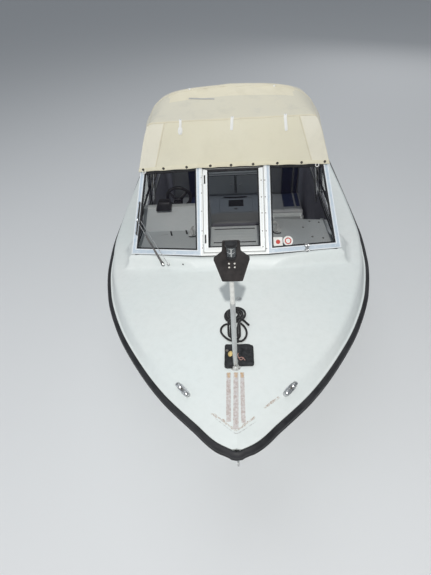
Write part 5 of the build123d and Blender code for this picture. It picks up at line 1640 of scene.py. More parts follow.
def strip(name, pts, width, thick, mat, side_hint, lift=0.0004, taper=None, rounded=True):
    """flat strap or folded seam lying on the hood: pts in metres; side_hint is not used"""
    rows = []
    P = np.asarray(pts, float)
    n = len(P)
    for i in range(n):
        base, nn = on_hood(P[i])
        t = Vector(P[min(i + 1, n - 1)] - P[max(i - 1, 0)]).normalized()
        sd_ = t.cross(nn).normalized()
        wd = width / 2 * (taper[i] if taper is not None else 1.0)
        row = []
        for a, b in ((-1, 0), (-1, 0.55), (-0.82, 1.0), (0.82, 1.0), (1, 0.55), (1, 0)):
            q, qn = on_hood(base + sd_ * wd * a)
            row.append(tuple(q + qn * (lift + thick * b)))
        rows.append(row)
    return grid_object(name, rows, mat, close_v=True, caps=True, angle=40)


extra = []
# cross seam between front panel and roof
seam_pts = [tuple(FULL[0, c]) for c in range(CI - 9, CJ + 10, 1)]
extra.append(strip("seam_cross", seam_pts, 0.013, 0.0017, "canvas_seam", None))
# stitched panel joins of the front
def front_point(xt, r):
    """point of the front panel on the line whose top is at x = xt (mm), row r"""
    xs = top_row[:, 0]
    c = np.interp(-xt, -xs, range(nb))
    c0 = int(min(math.floor(c), nb - 2))
    f = c - c0
    return FRONT[r, c0] * (1 - f) + FRONT[r, c0 + 1] * f


for xt in (484.0, -484.0):
    pts = [front_point(xt, r) for r in range(1, CI + 1)]
    extra.append(strip("seam_panel", pts, 0.011, 0.0014, "canvas_seam", None))
# sleeves over the hoops
for r0, wd, mt in ((24, 0.052, "canvas_crest"), (66, 0.050, "canvas_roof")):
    pts = [tuple(FULL[r0, c]) for c in range(3, nc - 3)]
    extra.append(strip("sleeve", pts, wd, 0.0016, mt, None))
# bound edges: sides and rear
for c0 in (0, nc - 1):
    pts = [FULL[r, c0] + np.array((0, 0, 0.011)) for r in range(0, nr)]
    extra.append(strip("side_binding", pts, 0.020, 0.0018, "canvas_hem", None))
extra.append(strip("rear_binding", [tuple(FULL[nr - 1, c] - np.array((0, 0.012, 0))) for c in range(0, nc)], 0.022, 0.0018, "canvas_hem", None))
# side joins where the lower panels start
for sgn in (1, -1):
    pts = []
    for r in range(0, nr):
        c = 44 if sgn > 0 else nc - 1 - 44
        pts.append(tuple(FULL[r, c]))
    extra.append(strip("side_seam", pts, 0.010, 0.0013, "canvas_seam", None))
seams = join("hood_seams", extra)
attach(seams, "boat")

# folded hem band along the front
rows = []
nf = np.array([0.0, -0.80, 0.60])
for c in range(nb):
    col = FRONT[:, c]
    d = np.r_[0, np.cumsum(np.linalg.norm(np.diff(col, axis=0), axis=1))]

    def up(h):
        return np.array([np.interp(h, d, col[:, k]) for k in range(3)])
    wob = 0.0025 * fn(col[0], 8.0, 2.0)
    rows.append([up(0.0) + nf * 0.0003 - np.array((0, 0, 0.0012)), up(0.0) + nf * 0.0030 - np.array((0, 0, 0.0010)), up(0.003) + nf * 0.0040, up(0.014) + nf * 0.0030, up(0.026 + wob) + nf * 0.0032,
                 up(0.029 + wob) + nf * 0.0024, up(0.030 + wob) + nf * 0.0006])
hemband = grid_object("hood_hem", rows, "canvas_hem", close_v=True, caps=True, angle=50)
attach(hemband, "boat")

# turn buttons in their eyelets
btn = []
FPTS = [(-694.1, 1984.0, 1503.0), (-530.6, 1958.6, 1515.8), (-347.5, 1929.4, 1529.3), (-166.4, 1915.7, 1538.5), (-11.5, 1914.0, 1536.9), (153.7, 1914.1, 1537.1), (333.9, 1927.4, 1530.4),
        (517.0, 1956.2, 1516.5), (694.7, 1984.4, 1503.3)]
for i, p in enumerate(FPTS):
    c, n = on_hood(mm(*p), 0.0028)
    btn.append(lathe("eyelet", [(0, -0.001), (0.0100, -0.001), (0.0102, 0.0008), (0.0090, 0.0018), (0.0066, 0.0016), (0.0060, 0.0006), (0, 0.0006)], c, n, "button_dark", n=22))
    tilt = rng.uniform(-0.4, 0.4)
    q = n.to_track_quat("Z", "Y").to_matrix()
    knob = bevel_box("knob", (-0.0078, -0.0034, 0.0006), (0.0078, 0.0034, 0.0062), 0.0028, "button_dark", rot=Matrix.Rotation(0, 3, "Z"))
    knob.data.transform(Matrix.Translation(c) @ (q @ Matrix.Rotation(tilt, 3, "Z")).to_4x4())
    btn.append(knob)
for px, pz, ss in ((-316, 1990, 2316), (330, 1984, 2300)):
    c, n = on_hood(mm(px, ss, pz), 0.001)
    btn.append(lathe("snap", [(0, -0.001), (0.0085, -0.001), (0.0085, 0.0015), (0.006, 0.0042), (0, 0.0050)], c, n, "sticker", n=20))
buttons = join("hood_buttons", btn)
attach(buttons, "boat")

# three white straps hanging from the seam, the starboard one with an oval end
st = []
for xt, length, lean, oval in ((-370.0, 0.092, 0.015, True), (8.0, 0.076, -0.008, False), (388.0, 0.102, -0.018, False)):
    pts, tap = [], []
    for t in np.linspace(0, 1, 22):
        p = front_point(xt, CI)
        # distance down the panel from the seam
        col = np.array([front_point(xt + lean * 1000 * t, r) for r in range(CI, -1, -1)])
        d = np.r_[0, np.cumsum(np.linalg.norm(np.diff(col, axis=0), axis=1))]
        h = -0.018 + (length + 0.018) * t
        q = np.array([np.interp(max(h, 0), d, col[:, k]) for k in range(3)])
        if h < 0:
            q = FULL[0, 0] * 0 + front_point(xt, CI) + np.array((0, -h, -h * 0.35))
        pts.append(q)
        tap.append(1.0 if t < 0.96 else 0.72)
    if oval:
        tap = [0.82 if t < 0.52 else 0.82 + 0.75 * math.sin(math.pi * min(1, (t - 0.52) / 0.48)) ** 0.6 for t in np.linspace(0, 1, 22)]
    st.append(strip("strap", pts, 0.0215, 0.0032, "strap", None, lift=0.0010, taper=tap))
    c, n = on_hood(pts[1], 0.004)
    st.append(lathe("rivet", [(0, -0.001), (0.0045, -0.001), (0.004, 0.001), (0, 0.0016)], c, n, "steel", n=14))
    if oval:
        c, n = on_hood(pts[17], 0.0045)
        q = n.to_track_quat("Z", "Y").to_matrix().to_4x4()
        ringp = [tuple(c + q.to_3x3() @ Vector((0.0085 * math.cos(a), 0.0125 * math.sin(a), 0.0))) for a in np.linspace(0, 2 * math.pi, 26, endpoint=False)]
        st.append(tube("buckle", ringp, 0.0022, "sticker", n=8, closed=True))
straps = join("hood_straps", st)
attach(straps, "boat")

# small loops of cord under the hem, and a faded grey tape on the roof
lp = []
for p in ((-690.9, 1965.8, 1489.0), (639.2, 1955.0, 1490.0)):
    c = Vector(mm(*p))
    pts = smooth_path([tuple(c + Vector((-0.010, -0.004, 0.012))), tuple(c + Vector((-0.012, -0.010, -0.002))), tuple(c + Vector((-0.002, -0.012, -0.010))), tuple(c + Vector((0.010, -0.010, -0.004))), tuple(c + Vector((0.011, -0.004, 0.010)))], 16)
    lp.append(tube("loop", pts, 0.0032, "strap", n=8))
loops = join("hood_loops", lp)
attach(loops, "boat")
tape_pts = [mm(-318 + 195 * t, 2224 - 32 * t, 1955) for t in np.linspace(0, 1, 14)]
tape = strip("hood_roof_tape", tape_pts, 0.013, 0.0010, "tape_grey", None, lift=0.0016)
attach(tape, "boat")
# black bead where the hood's skirt meets the coaming
bead = []
for sgn in (1, -1):
    pts = [mm(sgn * (822 + 0.0), s, 966 + 0.0) for s in np.linspace(2470, 3050, 30)]
    bead.append(tube("bead", pts, 0.0065, "gasket", n=10))
    lo = FULL[24:40, 0] if sgn > 0 else FULL[24:40, nc - 1]
    bead.append(tube("bead", [tuple(p + np.array((0, 0, -0.004))) for p in lo], 0.005, "gasket", n=8))
beads = join("coaming_beads", bead)
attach(beads, "boat")
# =====================================================================================================
# cockpit: padded seats, trims on the dash, things on the sole
# =====================================================================================================
def tree_of(ob):
    b = bmesh.new()
    b.from_mesh(ob.data)
    t = BVHTree.FromBMesh(b)
    b.free()
    return t


def inflate(name, lo, hi, mat, voxel, cap, waist, shrink=0.008, r=0.024):
    """cushion cover swollen by cloth pressure from a slightly smaller block, kept inside lo..hi"""
    lo, hi = np.array(lo, float), np.array(hi, float)
    c, h = (lo + hi) / 2, (hi - lo) / 2
    ob = bevel_box(name, lo + shrink, hi - shrink, r, mat, seg=4)
    m = ob.modifiers.new("remesh", "REMESH")
    m.mode = "VOXEL"
    m.voxel_size = voxel
    m.use_smooth_shade = True
    apply_mods(ob)
    me = ob.data
    n = len(me.vertices)
    co = np.empty(n * 3)
    me.vertices.foreach_get("co", co)
    co = co.reshape(n, 3)
    u = (co - c) / h
    thin = int(np.argmin(h))
    flat = [k for k in range(3) if k != thin]
    for k, o in (flat, flat[::-1]):
        co[:, k] -= np.sign(u[:, k]) * np.abs(u[:, k]) ** 4 * waist * (1 - u[:, o] ** 2)
    me.vertices.foreach_set("co", co.ravel())
    me.update()
    start = co.copy()
    cl = ob.modifiers.new("cloth", "CLOTH")
    st = cl.settings
    st.quality = 5
    st.mass = 0.3
    st.tension_stiffness = st.compression_stiffness = 12
    st.shear_stiffness = 4
    st.bending_stiffness = 0.6
    st.use_pressure = True
    st.uniform_pressure_force = 4.0
    st.effector_weights.gravity = 0
    cl.collision_settings.use_collision = False
    cl.collision_settings.use_self_collision = False
    cl.point_cache.frame_start, cl.point_cache.frame_end = 1, 20
    for f in range(1, 21):
        bpy.context.scene.frame_set(f)
    dg = bpy.context.evaluated_depsgraph_get()
    ev = ob.evaluated_get(dg)
    out = np.empty(n * 3)
    ev.data.vertices.foreach_get("co", out)
    out = out.reshape(n, 3)
    ob.modifiers.clear()
    bpy.context.scene.frame_set(1)
    d = out - start
    ln = np.linalg.norm(d, axis=1)[:, None] + 1e-9
    co = start + d / ln * (cap * np.tanh(ln / cap))
    co = np.clip(co, lo + 0.0002, hi - 0.0002)
    me.vertices.foreach_set("co", co.ravel())
    me.update()
    sb = ob.modifiers.new("sub", "SUBSURF")
    sb.levels = sb.render_levels = 1
    apply_mods(ob)
    me = ob.data
    me.polygons.foreach_set("use_smooth", [True] * len(me.polygons))
    co = np.empty(len(me.vertices) * 3)
    me.vertices.foreach_get("co", co)
    co = np.clip(co.reshape(-1, 3), lo, hi)
    me.vertices.foreach_set("co", co.ravel())
    me.update()
    return ob


def channel(ob, axis, pos, depth, width, face):
    """sewn channel: a groove across one face, with its own edge loops"""
    b = bmesh.new()
    b.from_mesh(ob.data)
    nrm = [0, 0, 0]
    nrm[axis] = 1
    for o in (-width, -width * 0.45, 0, width * 0.45, width):
        pt = [0, 0, 0]
        pt[axis] = pos + o
        bmesh.ops.bisect_plane(b, geom=list(b.verts) + list(b.edges) + list(b.faces), plane_co=pt, plane_no=nrm, dist=0.0004)
    b.normal_update()
    fv = Vector(face)
    for v in b.verts:
        k = (v.co[axis] - pos) / (width * 0.6)
        if abs(k) < 2.2:
            w = max(0.0, v.normal.dot(fv)) ** 1.5
            v.co -= fv * depth * math.exp(-k * k) * w
    b.to_mesh(ob.data)
    b.free()
    ob.data.polygons.foreach_set("use_smooth", [True] * len(ob.data.polygons))


def outline(lo, hi, axis, level, rc, n):
    """points of a rounded rectangle, square to the axis"""
    o = [k for k in range(3) if k != axis]
    a0, a1, b0, b1 = lo[o[0]], hi[o[0]], lo[o[1]], hi[o[1]]
    pts = []
    for (cx, cy, q) in ((a1 - rc, b0 + rc, -math.pi / 2), (a1 - rc, b1 - rc, 0), (a0 + rc, b1 - rc, math.pi / 2), (a0 + rc, b0 + rc, math.pi)):
        for t in np.linspace(0, math.pi / 2, 8):
            pts.append((cx + rc * math.cos(q + t), cy + rc * math.sin(q + t)))
    P = np.array(pts + pts[:1])
    d = np.r_[0, np.cumsum(np.linalg.norm(np.diff(P, axis=0), axis=1))]
    q = np.linspace(0, d[-1], n + 1)[:-1]
    A, B = np.interp(q, d, P[:, 0]), np.interp(q, d, P[:, 1])
    out = np.zeros((n, 3))
    out[:, o[0]], out[:, o[1]], out[:, axis] = A, B, level
    return out


def piping(ob, lo, hi, axis, level, mat, r=0.0030, rc=0.026):
    t = tree_of(ob)
    raw = outline(lo, hi, axis, level, rc, 200)
    P = []
    for p in raw:
        q, n, _, _ = t.find_nearest(Vector(p))
        P.append(tuple(q + n * r * 0.2))
    P = np.array(P)
    for _ in range(4):
        P = 0.25 * np.roll(P, 1, 0) + 0.5 * P + 0.25 * np.roll(P, -1, 0)
    P = np.clip(P, np.array(lo) + r + 0.0003, np.array(hi) - r - 0.0003)
    return tube("piping", P, r, mat, n=8, closed=True)


def thread(ob, axis, pos, side, along, a, b, start, mat="thread", r=0.0008):
    """row of stitches laid on the face beside a channel"""
    t = tree_of(ob)
    pts, sc = [], []
    n = int(abs(b - a) / 0.0035)
    fv = Vector(side)
    for i in range(n):
        p = list(start)
        p[axis], p[along] = pos, a + (b - a) * i / (n - 1)
        hit = t.ray_cast(Vector(p) + fv * 0.2, -fv)
        if hit[0] is None:
            continue
        pts.append(tuple(hit[0] + fv * 0.0003))
        sc.append((1.0, 1.0, 0.35)[i % 3])
    return tube("thread", pts, r, mat, n=6, scale=sc)


def node_box(node):
    lo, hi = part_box(node)
    return np.array(lo, float), np.array(hi, float)


def seat(prefix, mat, bands):
    made = []
    for part, voxel, cap, waist, face in (("cushion", 0.0085, 0.013, 0.006, (0, 0, 1)), ("back", 0.0085, 0.013, 0.006, (0, -1, 0))):
        node = f"{prefix}_seat_{part}"
        lo, hi = node_box(node)
        ob = inflate(f"{prefix}_{part}_pad", lo, hi, mat, voxel, cap, waist)
        axis_thin = 2 if part == "cushion" else 1
        if part == "back":
            for x in bands:
                channel(ob, 0, x, 0.0030, 0.0042, face)
            channel(ob, 2, 0.905, 0.0028, 0.0045, face)
        else:
            for x in bands:
                channel(ob, 0, x, 0.0030, 0.0042, face)
        if axis_thin == 2:
            pipes = [piping(ob, lo, hi, 2, hi[2] - 0.012, "vinyl_piping"), piping(ob, lo, hi, 2, lo[2] + 0.012, "vinyl_piping")]
        else:
            pipes = [piping(ob, lo, hi, 1, lo[1] + 0.012, "vinyl_piping"), piping(ob, lo, hi, 1, hi[1] - 0.012, "vinyl_piping")]
        for x in bands:
            for o in (-0.0062, 0.0062):
                if part == "back":
                    pipes.append(thread(ob, 0, x + o, face, 2, lo[2] + 0.03, hi[2] - 0.03, (0, lo[1], 0)))
                else:
                    pipes.append(thread(ob, 0, x + o, face, 1, lo[1] + 0.03, hi[1] - 0.03, (0, 0, hi[2])))
        pp = join(f"{prefix}_{part}_piping", pipes)
        for o in (ob, pp):
            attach(o, "boat")
        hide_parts(node)
        made += [ob, pp]
    return made


seat("passenger", "vinyl_pass", (0.542, 0.666, 0.681, 0.731))
seat("helm", "vinyl_helm", (-0.545, -0.418, -0.403, -0.353))

lo, hi = node_box("bench_cushion")
bc_pad = inflate("bench_cushion_pad", lo, hi, "vinyl_grey", 0.014, 0.012, 0.004)
for x in (-0.262, 0.262):
    channel(bc_pad, 0, x, 0.0045, 0.007, (0, 0, 1))
bc_pipe = [piping(bc_pad, lo, hi, 2, hi[2] - 0.011, "vinyl_piping", r=0.0034), piping(bc_pad, lo, hi, 2, lo[2] + 0.011, "vinyl_piping", r=0.0034)]
for x in (-0.262, 0.262):
    for o in (-0.0105, 0.0105):
        bc_pipe.append(thread(bc_pad, 0, x + o, (0, 0, 1), 1, lo[1] + 0.03, hi[1] - 0.03, (0, 0, hi[2]), r=0.0010))
bc_pp = join("bench_cushion_piping", bc_pipe)
lo, hi = node_box("bench_back")
bb_pad = inflate("bench_back_pad", lo, hi, "vinyl_grey", 0.014, 0.012, 0.004)
for x in (-0.262, 0.262):
    channel(bb_pad, 0, x, 0.0045, 0.007, (0, -1, 0))
channel(bb_pad, 2, 0.775, 0.0040, 0.007, (0, -1, 0))
bb_pp = join("bench_back_piping", [piping(bb_pad, lo, hi, 1, lo[1] + 0.011, "vinyl_piping", r=0.0034), piping(bb_pad, lo, hi, 1, hi[1] - 0.011, "vinyl_piping", r=0.0034)])
for o in (bc_pad, bc_pp, bb_pad, bb_pp):
    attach(o, "boat")
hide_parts("bench_cushion")
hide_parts("bench_back")

# ---- ribbed step seen through the middle pane: profile along the boat, with two drain slots filled with dark strips, painted shade
lo, hi = node_box("companion_step")
s_front = (lo[1] + HALF) * 1000


def step_profile():
    pts = [(s_front, 925.6), (s_front, 979), (s_front + 2, 983), (s_front + 8, 985)]
    for s in np.arange(1572, 1905, 3.0):
        z = 984.2
        for a, b in ((1690, 1701), (1880, 1889)):
            if a < s < b:
                z = 974.0
        for g in (1622, 1664, 1740, 1782, 1824):
            if abs(s - g) < 4:
                z = 982.2
        pts.append((s, z))
    pts += [(1905, 984.2), (1908, 985), (1920, 985), (1924, 983.5), (1926, 979), (1926, 962), (1921, 957), (1780, 952), (s_front + 22, 952), (s_front + 18, 925.6)]
    return pts


prof = step_profile()
rows = []
for x in (-203, -200.5, -172, -170, 170, 172, 200.5, 203):
    row = []
    for s, z in prof:
        zz = z
        if abs(x) > 171 and 970 < z < 984.2:
            zz = 984.2
        if abs(x) > 202 and z > 980:
            zz = z - 2.5
        row.append(mm(x, s, zz))
    rows.append(row)
step = grid_object("companion_step_tread", rows, "liner_edge", close_v=True, caps=True, angle=30)
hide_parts("companion_step")
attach(step, "boat")
# dark strips filling the drain slots: painted shade
dark = []
for a, b in ((1686.0, 1699.0), (1878.0, 1890.0)):
    dark.append(bevel_box("slot", mm(-169.5, a, 974.2), mm(169.5, b, 984.9), 0.001, "dark"))
slots = join("companion_step_slots", dark)
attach(slots, "boat")

def eased_rect(x0, x1, s0, s1, r, n=6):
    out_ = []
    for cx, cy, q in ((x1 - r, s0 + r, -90), (x1 - r, s1 - r, 0), (x0 + r, s1 - r, 90), (x0 + r, s0 + r, 180)):
        for t in np.linspace(0, 90, n):
            out_.append((cx + r * math.cos(math.radians(q + t)), cy + r * math.sin(math.radians(q + t))))
    return out_


# ---- dash: panel joins, slots, catches, screws
d = []


def flush(name, x0, s0, x1, s1, w, z, mat, h=0.8, r=0.0006):
    """thin strip lying on a level surface between two points"""
    a, b = Vector(mm(x0, s0, z)), Vector(mm(x1, s1, z))
    return sweep(name, [tuple(a + (b - a) * t) for t in np.linspace(0, 1, 6)], [(-w / 2000, -0.0008), (-w / 2000, h / 1000 * 0.7), (-w / 2000 * 0.7, h / 1000), (w / 2000 * 0.7, h / 1000), (w / 2000, h / 1000 * 0.7), (w / 2000, -0.0008)], mat, angle=30)


d.append(flush("join", -764, 1871, -372, 1906, 3.2, 1000.0, "gasket", 0.5))
d.append(flush("join", -621, 1802, -554, 1809, 2.4, 1000.0, "worn_steel", 0.6))
for x, s, a in ((-527, 1822, 0.25), (-401, 1836, 0.25)):
    bx = bevel_box("vent", (-0.0065, -0.034, -0.001), (0.0065, 0.034, 0.0028), 0.0022, "plastic", rot=Matrix.Rotation(a, 3, "Z"))
    bx.data.transform(Matrix.Translation(mm(x, s, 1000)))
    d.append(bx)
for x, s in ((-440, 1918), (-593, 1898), (-716, 1884)):
    d.append(screw(Vector(mm(x, s, 1000)), (0, 0, 1), 0.0046, "worn_steel"))
for x, s in ((562, 1849), (618, 1712), (698, 1689), (626, 1936), (700, 1917)):
    d.append(lathe("cap", [(0, -0.001), (0.0085, -0.001), (0.0085, 0.0008), (0.006, 0.0028), (0, 0.0034)], mm(x, s, 1000), (0, 0, 1), "worn_steel", n=18))
# catches that hold the middle pane: curved levers on pale plates, with a hook each
for sgn, px, ps in ((-1, -352, 1822), (1, 352, 1832)):
    d.append(bevel_box("plate", mm(px - 24, ps - 40, 999.4), mm(px + 24, ps + 36, 1004.5), 0.0035, "chrome_worn"))
    lev = smooth_path([mm(px - sgn * 30, ps + 74, 1012), mm(px - sgn * 6, ps + 60, 1022), mm(px + sgn * 4, ps + 20, 1028), mm(px - sgn * 2, ps - 20, 1026), mm(px - sgn * 12, ps - 54, 1016)], 24)
    d.append(tube("lever", lev, 0.0085, "chrome_worn", n=14, scale=[0.8] * 3 + [1.0] * 12 + [1.25] * 9))
    d.append(lathe("pivot", [(0, 0), (0.017, 0), (0.017, 0.016), (0.013, 0.026), (0, 0.028)], mm(px + sgn * 2, ps, 1004), (0, 0, 1), "chrome_worn", n=20))
    hk = smooth_path([mm(px - sgn * 44, ps + 66, 1008), mm(px - sgn * 34, ps + 84, 1016), mm(px - sgn * 10, ps + 88, 1020), mm(px + sgn * 6, ps + 66, 1024)], 14)
    d.append(tube("hook", hk, 0.0050, "chrome_worn", n=10))
    edge = smooth_path([mm(px - sgn * 40, ps - 24, 1004), mm(px - sgn * 30, ps - 56, 1005), mm(px, ps - 66, 1006), mm(px + sgn * 22, ps - 58, 1005)], 14)
    d.append(tube("spring", edge, 0.0042, "plastic", n=10))
dash_bits = join("dash_fittings", d)
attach(dash_bits, "boat")

# port shelf: flat tray with a slanting aft edge, and a raised ledge behind it
def prism(name, outl, z0, z1, mat, r=4.0):
    c = np.mean(np.array(outl, float), axis=0)
    rows_ = []
    for z, k in ((z0, r * 0.3), (z0 + r * 0.3, 0.0), (z1 - r, 0.0), (z1 - r * 0.3, r * 0.3), (z1, r)):
        row_ = []
        for p_ in outl:
            q_ = np.array(p_, float)
            d_ = q_ - c
            q_ = q_ - d_ / np.linalg.norm(d_) * k
            row_.append(mm(q_[0], q_[1], z))
        rows_.append(row_)
    return grid_object(name, rows_, mat, close_v=True, caps=True, angle=30)


def densify(poly, step=30.0):
    out_ = []
    for a_, b_ in zip(poly, poly[1:] + poly[:1]):
        n_ = max(1, int(math.dist(a_, b_) / step))
        for i_ in range(n_):
            out_.append((a_[0] + (b_[0] - a_[0]) * i_ / n_, a_[1] + (b_[1] - a_[1]) * i_ / n_))
    return out_


sh = [prism("tray", densify([(205, 1503), (767, 1503), (767, 1632), (752, 1800), (738, 1959), (398, 1994), (205, 1998)]), 966.0, 1000.0, "liner"),
      prism("front_panel", densify([(205, 1994), (398, 1990), (738, 1955), (738, 1975), (398, 2010), (205, 2014)]), 926.0, 968.0, "liner"),
      prism("outer_panel", densify([(741, 1960), (767, 1640), (767.5, 2060), (741, 2060)]), 926.0, 950.0, "liner"),
      prism("ledge", densify([(322, 2040), (575, 2040), (575, 2058), (322, 2058)]), 985.0, 1015.0, "liner_edge", 3.0)]
for x_ in (330, 560):
    sh.append(bevel_box("ledge_arm", mm(x_, 2000, 985), mm(x_ + 12, 2044, 996), 0.002, "liner_edge"))
shelf = join("dash_port_tray", sh)
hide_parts("dashboard_port")
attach(shelf, "boat")
e = [sweep("crest", [mm(x, 2012, 1149.5) for x in np.linspace(-762, -212, 18)], [(-0.030, -0.0035), (-0.030, 0.000), (-0.026, 0.003), (0.024, 0.0035), (0.028, 0.000), (0.028, -0.0035)], "liner_edge", angle=40)]
for s0, z0, s1, z1 in ((1866, 1006, 1980, 1139),):
    for x in (-763, -209):
        e.append(sweep("cheek", [mm(x, s0 + (s1 - s0) * t, z0 + (z1 - z0) * t) for t in np.linspace(0, 1, 10)], [(-0.0045, -0.004), (-0.0045, 0.003), (0, 0.0055), (0.0045, 0.003), (0.0045, -0.004)], "liner_edge", angle=40))
edges = join("dash_edges", e)
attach(edges, "boat")

# gauges and switches on the helm's aft face
g = []
gn = Vector((0, 0.94, 0.34))
for x, z, r in ((-560, 1060, 0.038), (-440, 1060, 0.038), (-330, 1062, 0.030), (-660, 1062, 0.030)):
    c = Vector(mm(x, 2074, z))
    t = Vector((0, 1, 0.06))
    g.append(lathe("bezel", [(0, 0), (r * 1.12, 0), (r * 1.14, 0.003), (r * 1.10, 0.006), (r, 0.007), (r * 0.96, 0.003), (0, 0.0028)], c, t, "plastic", n=30))
    g.append(lathe("dial", [(0, 0.0029), (r * 0.94, 0.0029), (r * 0.94, 0.0034), (0, 0.0034)], c, t, "dark", n=30))
    for k in range(9):
        a = math.radians(-130 + k * 32.5)
        q = t.normalized().to_track_quat("Z", "Y")
        p = c + t.normalized() * 0.0037 + q @ Vector((r * 0.80 * math.sin(a), r * 0.80 * math.cos(a), 0))
        tick = bevel_box("tick", (-0.0007, -0.003, -0.0003), (0.0007, 0.003, 0.0003), 0, "sticker", rot=(q.to_matrix() @ Matrix.Rotation(-a, 3, "Z")))
        tick.data.transform(Matrix.Translation(p))
        g.append(tick)
    a = math.radians(-70)
    q = t.normalized().to_track_quat("Z", "Y")
    nd = bevel_box("needle", (-0.0008, -0.004, -0.0004), (0.0008, r * 0.62, 0.0004), 0.0002, "sticker_red", rot=(q.to_matrix() @ Matrix.Rotation(-a, 3, "Z")))
    nd.data.transform(Matrix.Translation(c + t.normalized() * 0.0045))
    g.append(nd)
for i in range(5):
    x = -700 + i * 34
    c = Vector(mm(x, 2071.5, 985))
    g.append(bevel_box("rocker", tuple(c + Vector((-0.011, -0.003, -0.017))), tuple(c + Vector((0.011, 0.0035, 0.017))), 0.0025, "plastic"))
gauges = join("helm_gauges", g)
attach(gauges, "boat")

# ---- on the sole: lifting strap by the bench, non-slip square and ring on the hatch
sb = []
pts = smooth_path([mm(-166, 4004, 101.2), mm(-150, 3996, 102), mm(-80, 3981, 106), mm(-10, 3975, 107), mm(70, 3979, 106), mm(134, 3993, 102), mm(149, 4001, 101.2)], 40)
sb.append(sweep("strap", pts, [(-0.017, -0.0012), (-0.017, 0.0012), (-0.015, 0.0022), (0.015, 0.0022), (0.017, 0.0012), (0.017, -0.0012)], "gasket", angle=40))
for x in (-156, 139):
    sb.append(screw(Vector(mm(x, 3997, 103.5)), (0, 0, 1), 0.0055))
strap_sole = join("sole_strap", sb)
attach(strap_sole, "boat")
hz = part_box("sole_hatch")[1][2]
hp = [bevel_box("pad", (-0.100, 3.748 - HALF, hz - 0.0005), (0.100, 3.918 - HALF, hz + 0.0022), 0.001, "pad")]
hp.append(lathe("ring_cup", [(0, 0.0), (0.024, 0.0), (0.025, 0.0012), (0.021, 0.0018), (0.018, 0.0004), (0, 0.0004)], (0, 3.690 - HALF, hz - 0.0004), (0, 0, 1), "steel", n=26))
ringp = [(0.013 * math.cos(a), 3.690 - HALF + 0.013 * math.sin(a), hz + 0.0022) for a in np.linspace(0, 2 * math.pi, 24, endpoint=False)]
hp.append(tube("lift_ring", ringp, 0.0018, "steel", n=8, closed=True))
hatch_pad = join("sole_hatch_pad", hp)
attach(hatch_pad, "sole_hatch")
# door knobs of the lockers
for node, body, x, z, s in (("bench_door_port", "bench_door_port", 60, 270, 4037.5), ("bench_door_starboard", "bench_door_starboard", -60, 270, 4037.5)):
    k = lathe(f"{body}_knob", [(0, -0.001), (0.014, -0.001), (0.014, 0.002), (0.007, 0.004), (0.006, 0.010), (0.010, 0.013), (0.0115, 0.018), (0.008, 0.022), (0, 0.0225)], mm(x, s, z), (0, -1, 0), "steel", n=22)
    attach(k, body)

# dark edging strips on the locker doors, and along the bench's front under the cushion
for node, sgn in (("bench_door_port", 1), ("bench_door_starboard", -1)):
    dlo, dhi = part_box(node)
    xi, xo = (dlo[0], dhi[0]) if sgn > 0 else (dhi[0], dlo[0])
    strips_ = [bevel_box("edge", (min(xi, xi + sgn * 0.007), dlo[1] - 0.0012, dlo[2] + 0.004), (max(xi, xi + sgn * 0.007), dlo[1] + 0.0006, dhi[2] - 0.004), 0.0005, "gasket"),
               bevel_box("edge", (dlo[0] + 0.002, dlo[1] - 0.0012, dhi[2] - 0.008), (dhi[0] - 0.002, dlo[1] + 0.0006, dhi[2] - 0.001), 0.0005, "gasket")]
    es = join(f"{node}_edging", strips_)
    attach(es, node)

# black rails fastened inside the side windows and the hood's skirt
tr = []
for sgn, pts in ((1, [(2615, 1147), (2241, 1146), (1874, 1165), (1714, 1178)]), (-1, [(2575, 1163), (2323, 1158), (2017, 1146), (1852, 1118)])):
    path = smooth_path([mm(sgn * 765, s, z) for s, z in pts], 30)
    tr.append(sweep("rail", path, [(-0.004, -0.012), (-0.004, 0.012), (-0.001, 0.0135), (0.004, 0.012), (0.004, -0.012), (0.001, -0.0135)], "gasket", angle=40))
    for k in (4, 15, 26):
        q_ = path[k]
        tr.append(bevel_box("bracket", (min(q_[0], q_[0] + sgn * 0.014), q_[1] - 0.008, q_[2] - 0.008), (max(q_[0], q_[0] + sgn * 0.014), q_[1] + 0.008, q_[2] + 0.008), 0.002, "plastic"))
side_rails = join("side_inner_rails", tr)
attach(side_rails, "boat")

# ---- steering wheel: padded rim, three spokes, big boss
wa = math.radians(10.0)
w_dir = Vector((0, math.cos(wa), math.sin(wa)))
w_up = Vector((0, -math.sin(wa), math.cos(wa)))
w_x = Vector((1, 0, 0))
w_c = Vector(mm(-494, 2250, 1097))


def wp_(a, b, h):
    return w_c + w_x * (a / 1000.0) + w_up * (b / 1000.0) + w_dir * (h / 1000.0)


wl_ = []
rim_path = [tuple(wp_(104.5 * math.cos(a), 104.5 * math.sin(a), 0)) for a in np.linspace(0, 2 * math.pi, 96, endpoint=False)]
wl_.append(tube("rim", rim_path, 0.0140, "plastic", n=18, closed=True))
for ang in (38, 142, 270):
    ca, sa = math.cos(math.radians(ang)), math.sin(math.radians(ang))
    pth = smooth_path([tuple(wp_(20 * ca, 20 * sa, -50)), tuple(wp_(52 * ca, 52 * sa, -34)), tuple(wp_(82 * ca, 82 * sa, -14)), tuple(wp_(100 * ca, 100 * sa, -3))], 16)
    wl_.append(sweep("spoke", pth, [(0.0135 * math.cos(q), 0.0042 * math.sin(q)) for q in np.linspace(0, 2 * math.pi, 18, endpoint=False)], "plastic", up=tuple(w_dir), angle=50, scale=[1.35 - 0.5 * t for t in np.linspace(0, 1, 16)]))
wl_.append(lathe("boss", [(0, -0.020), (0.036, -0.020), (0.040, -0.016), (0.041, 0.000), (0.037, 0.008), (0.028, 0.012), (0.016, 0.0135), (0, 0.014)], wp_(0, 0, -52), tuple(w_dir), "plastic", n=36))
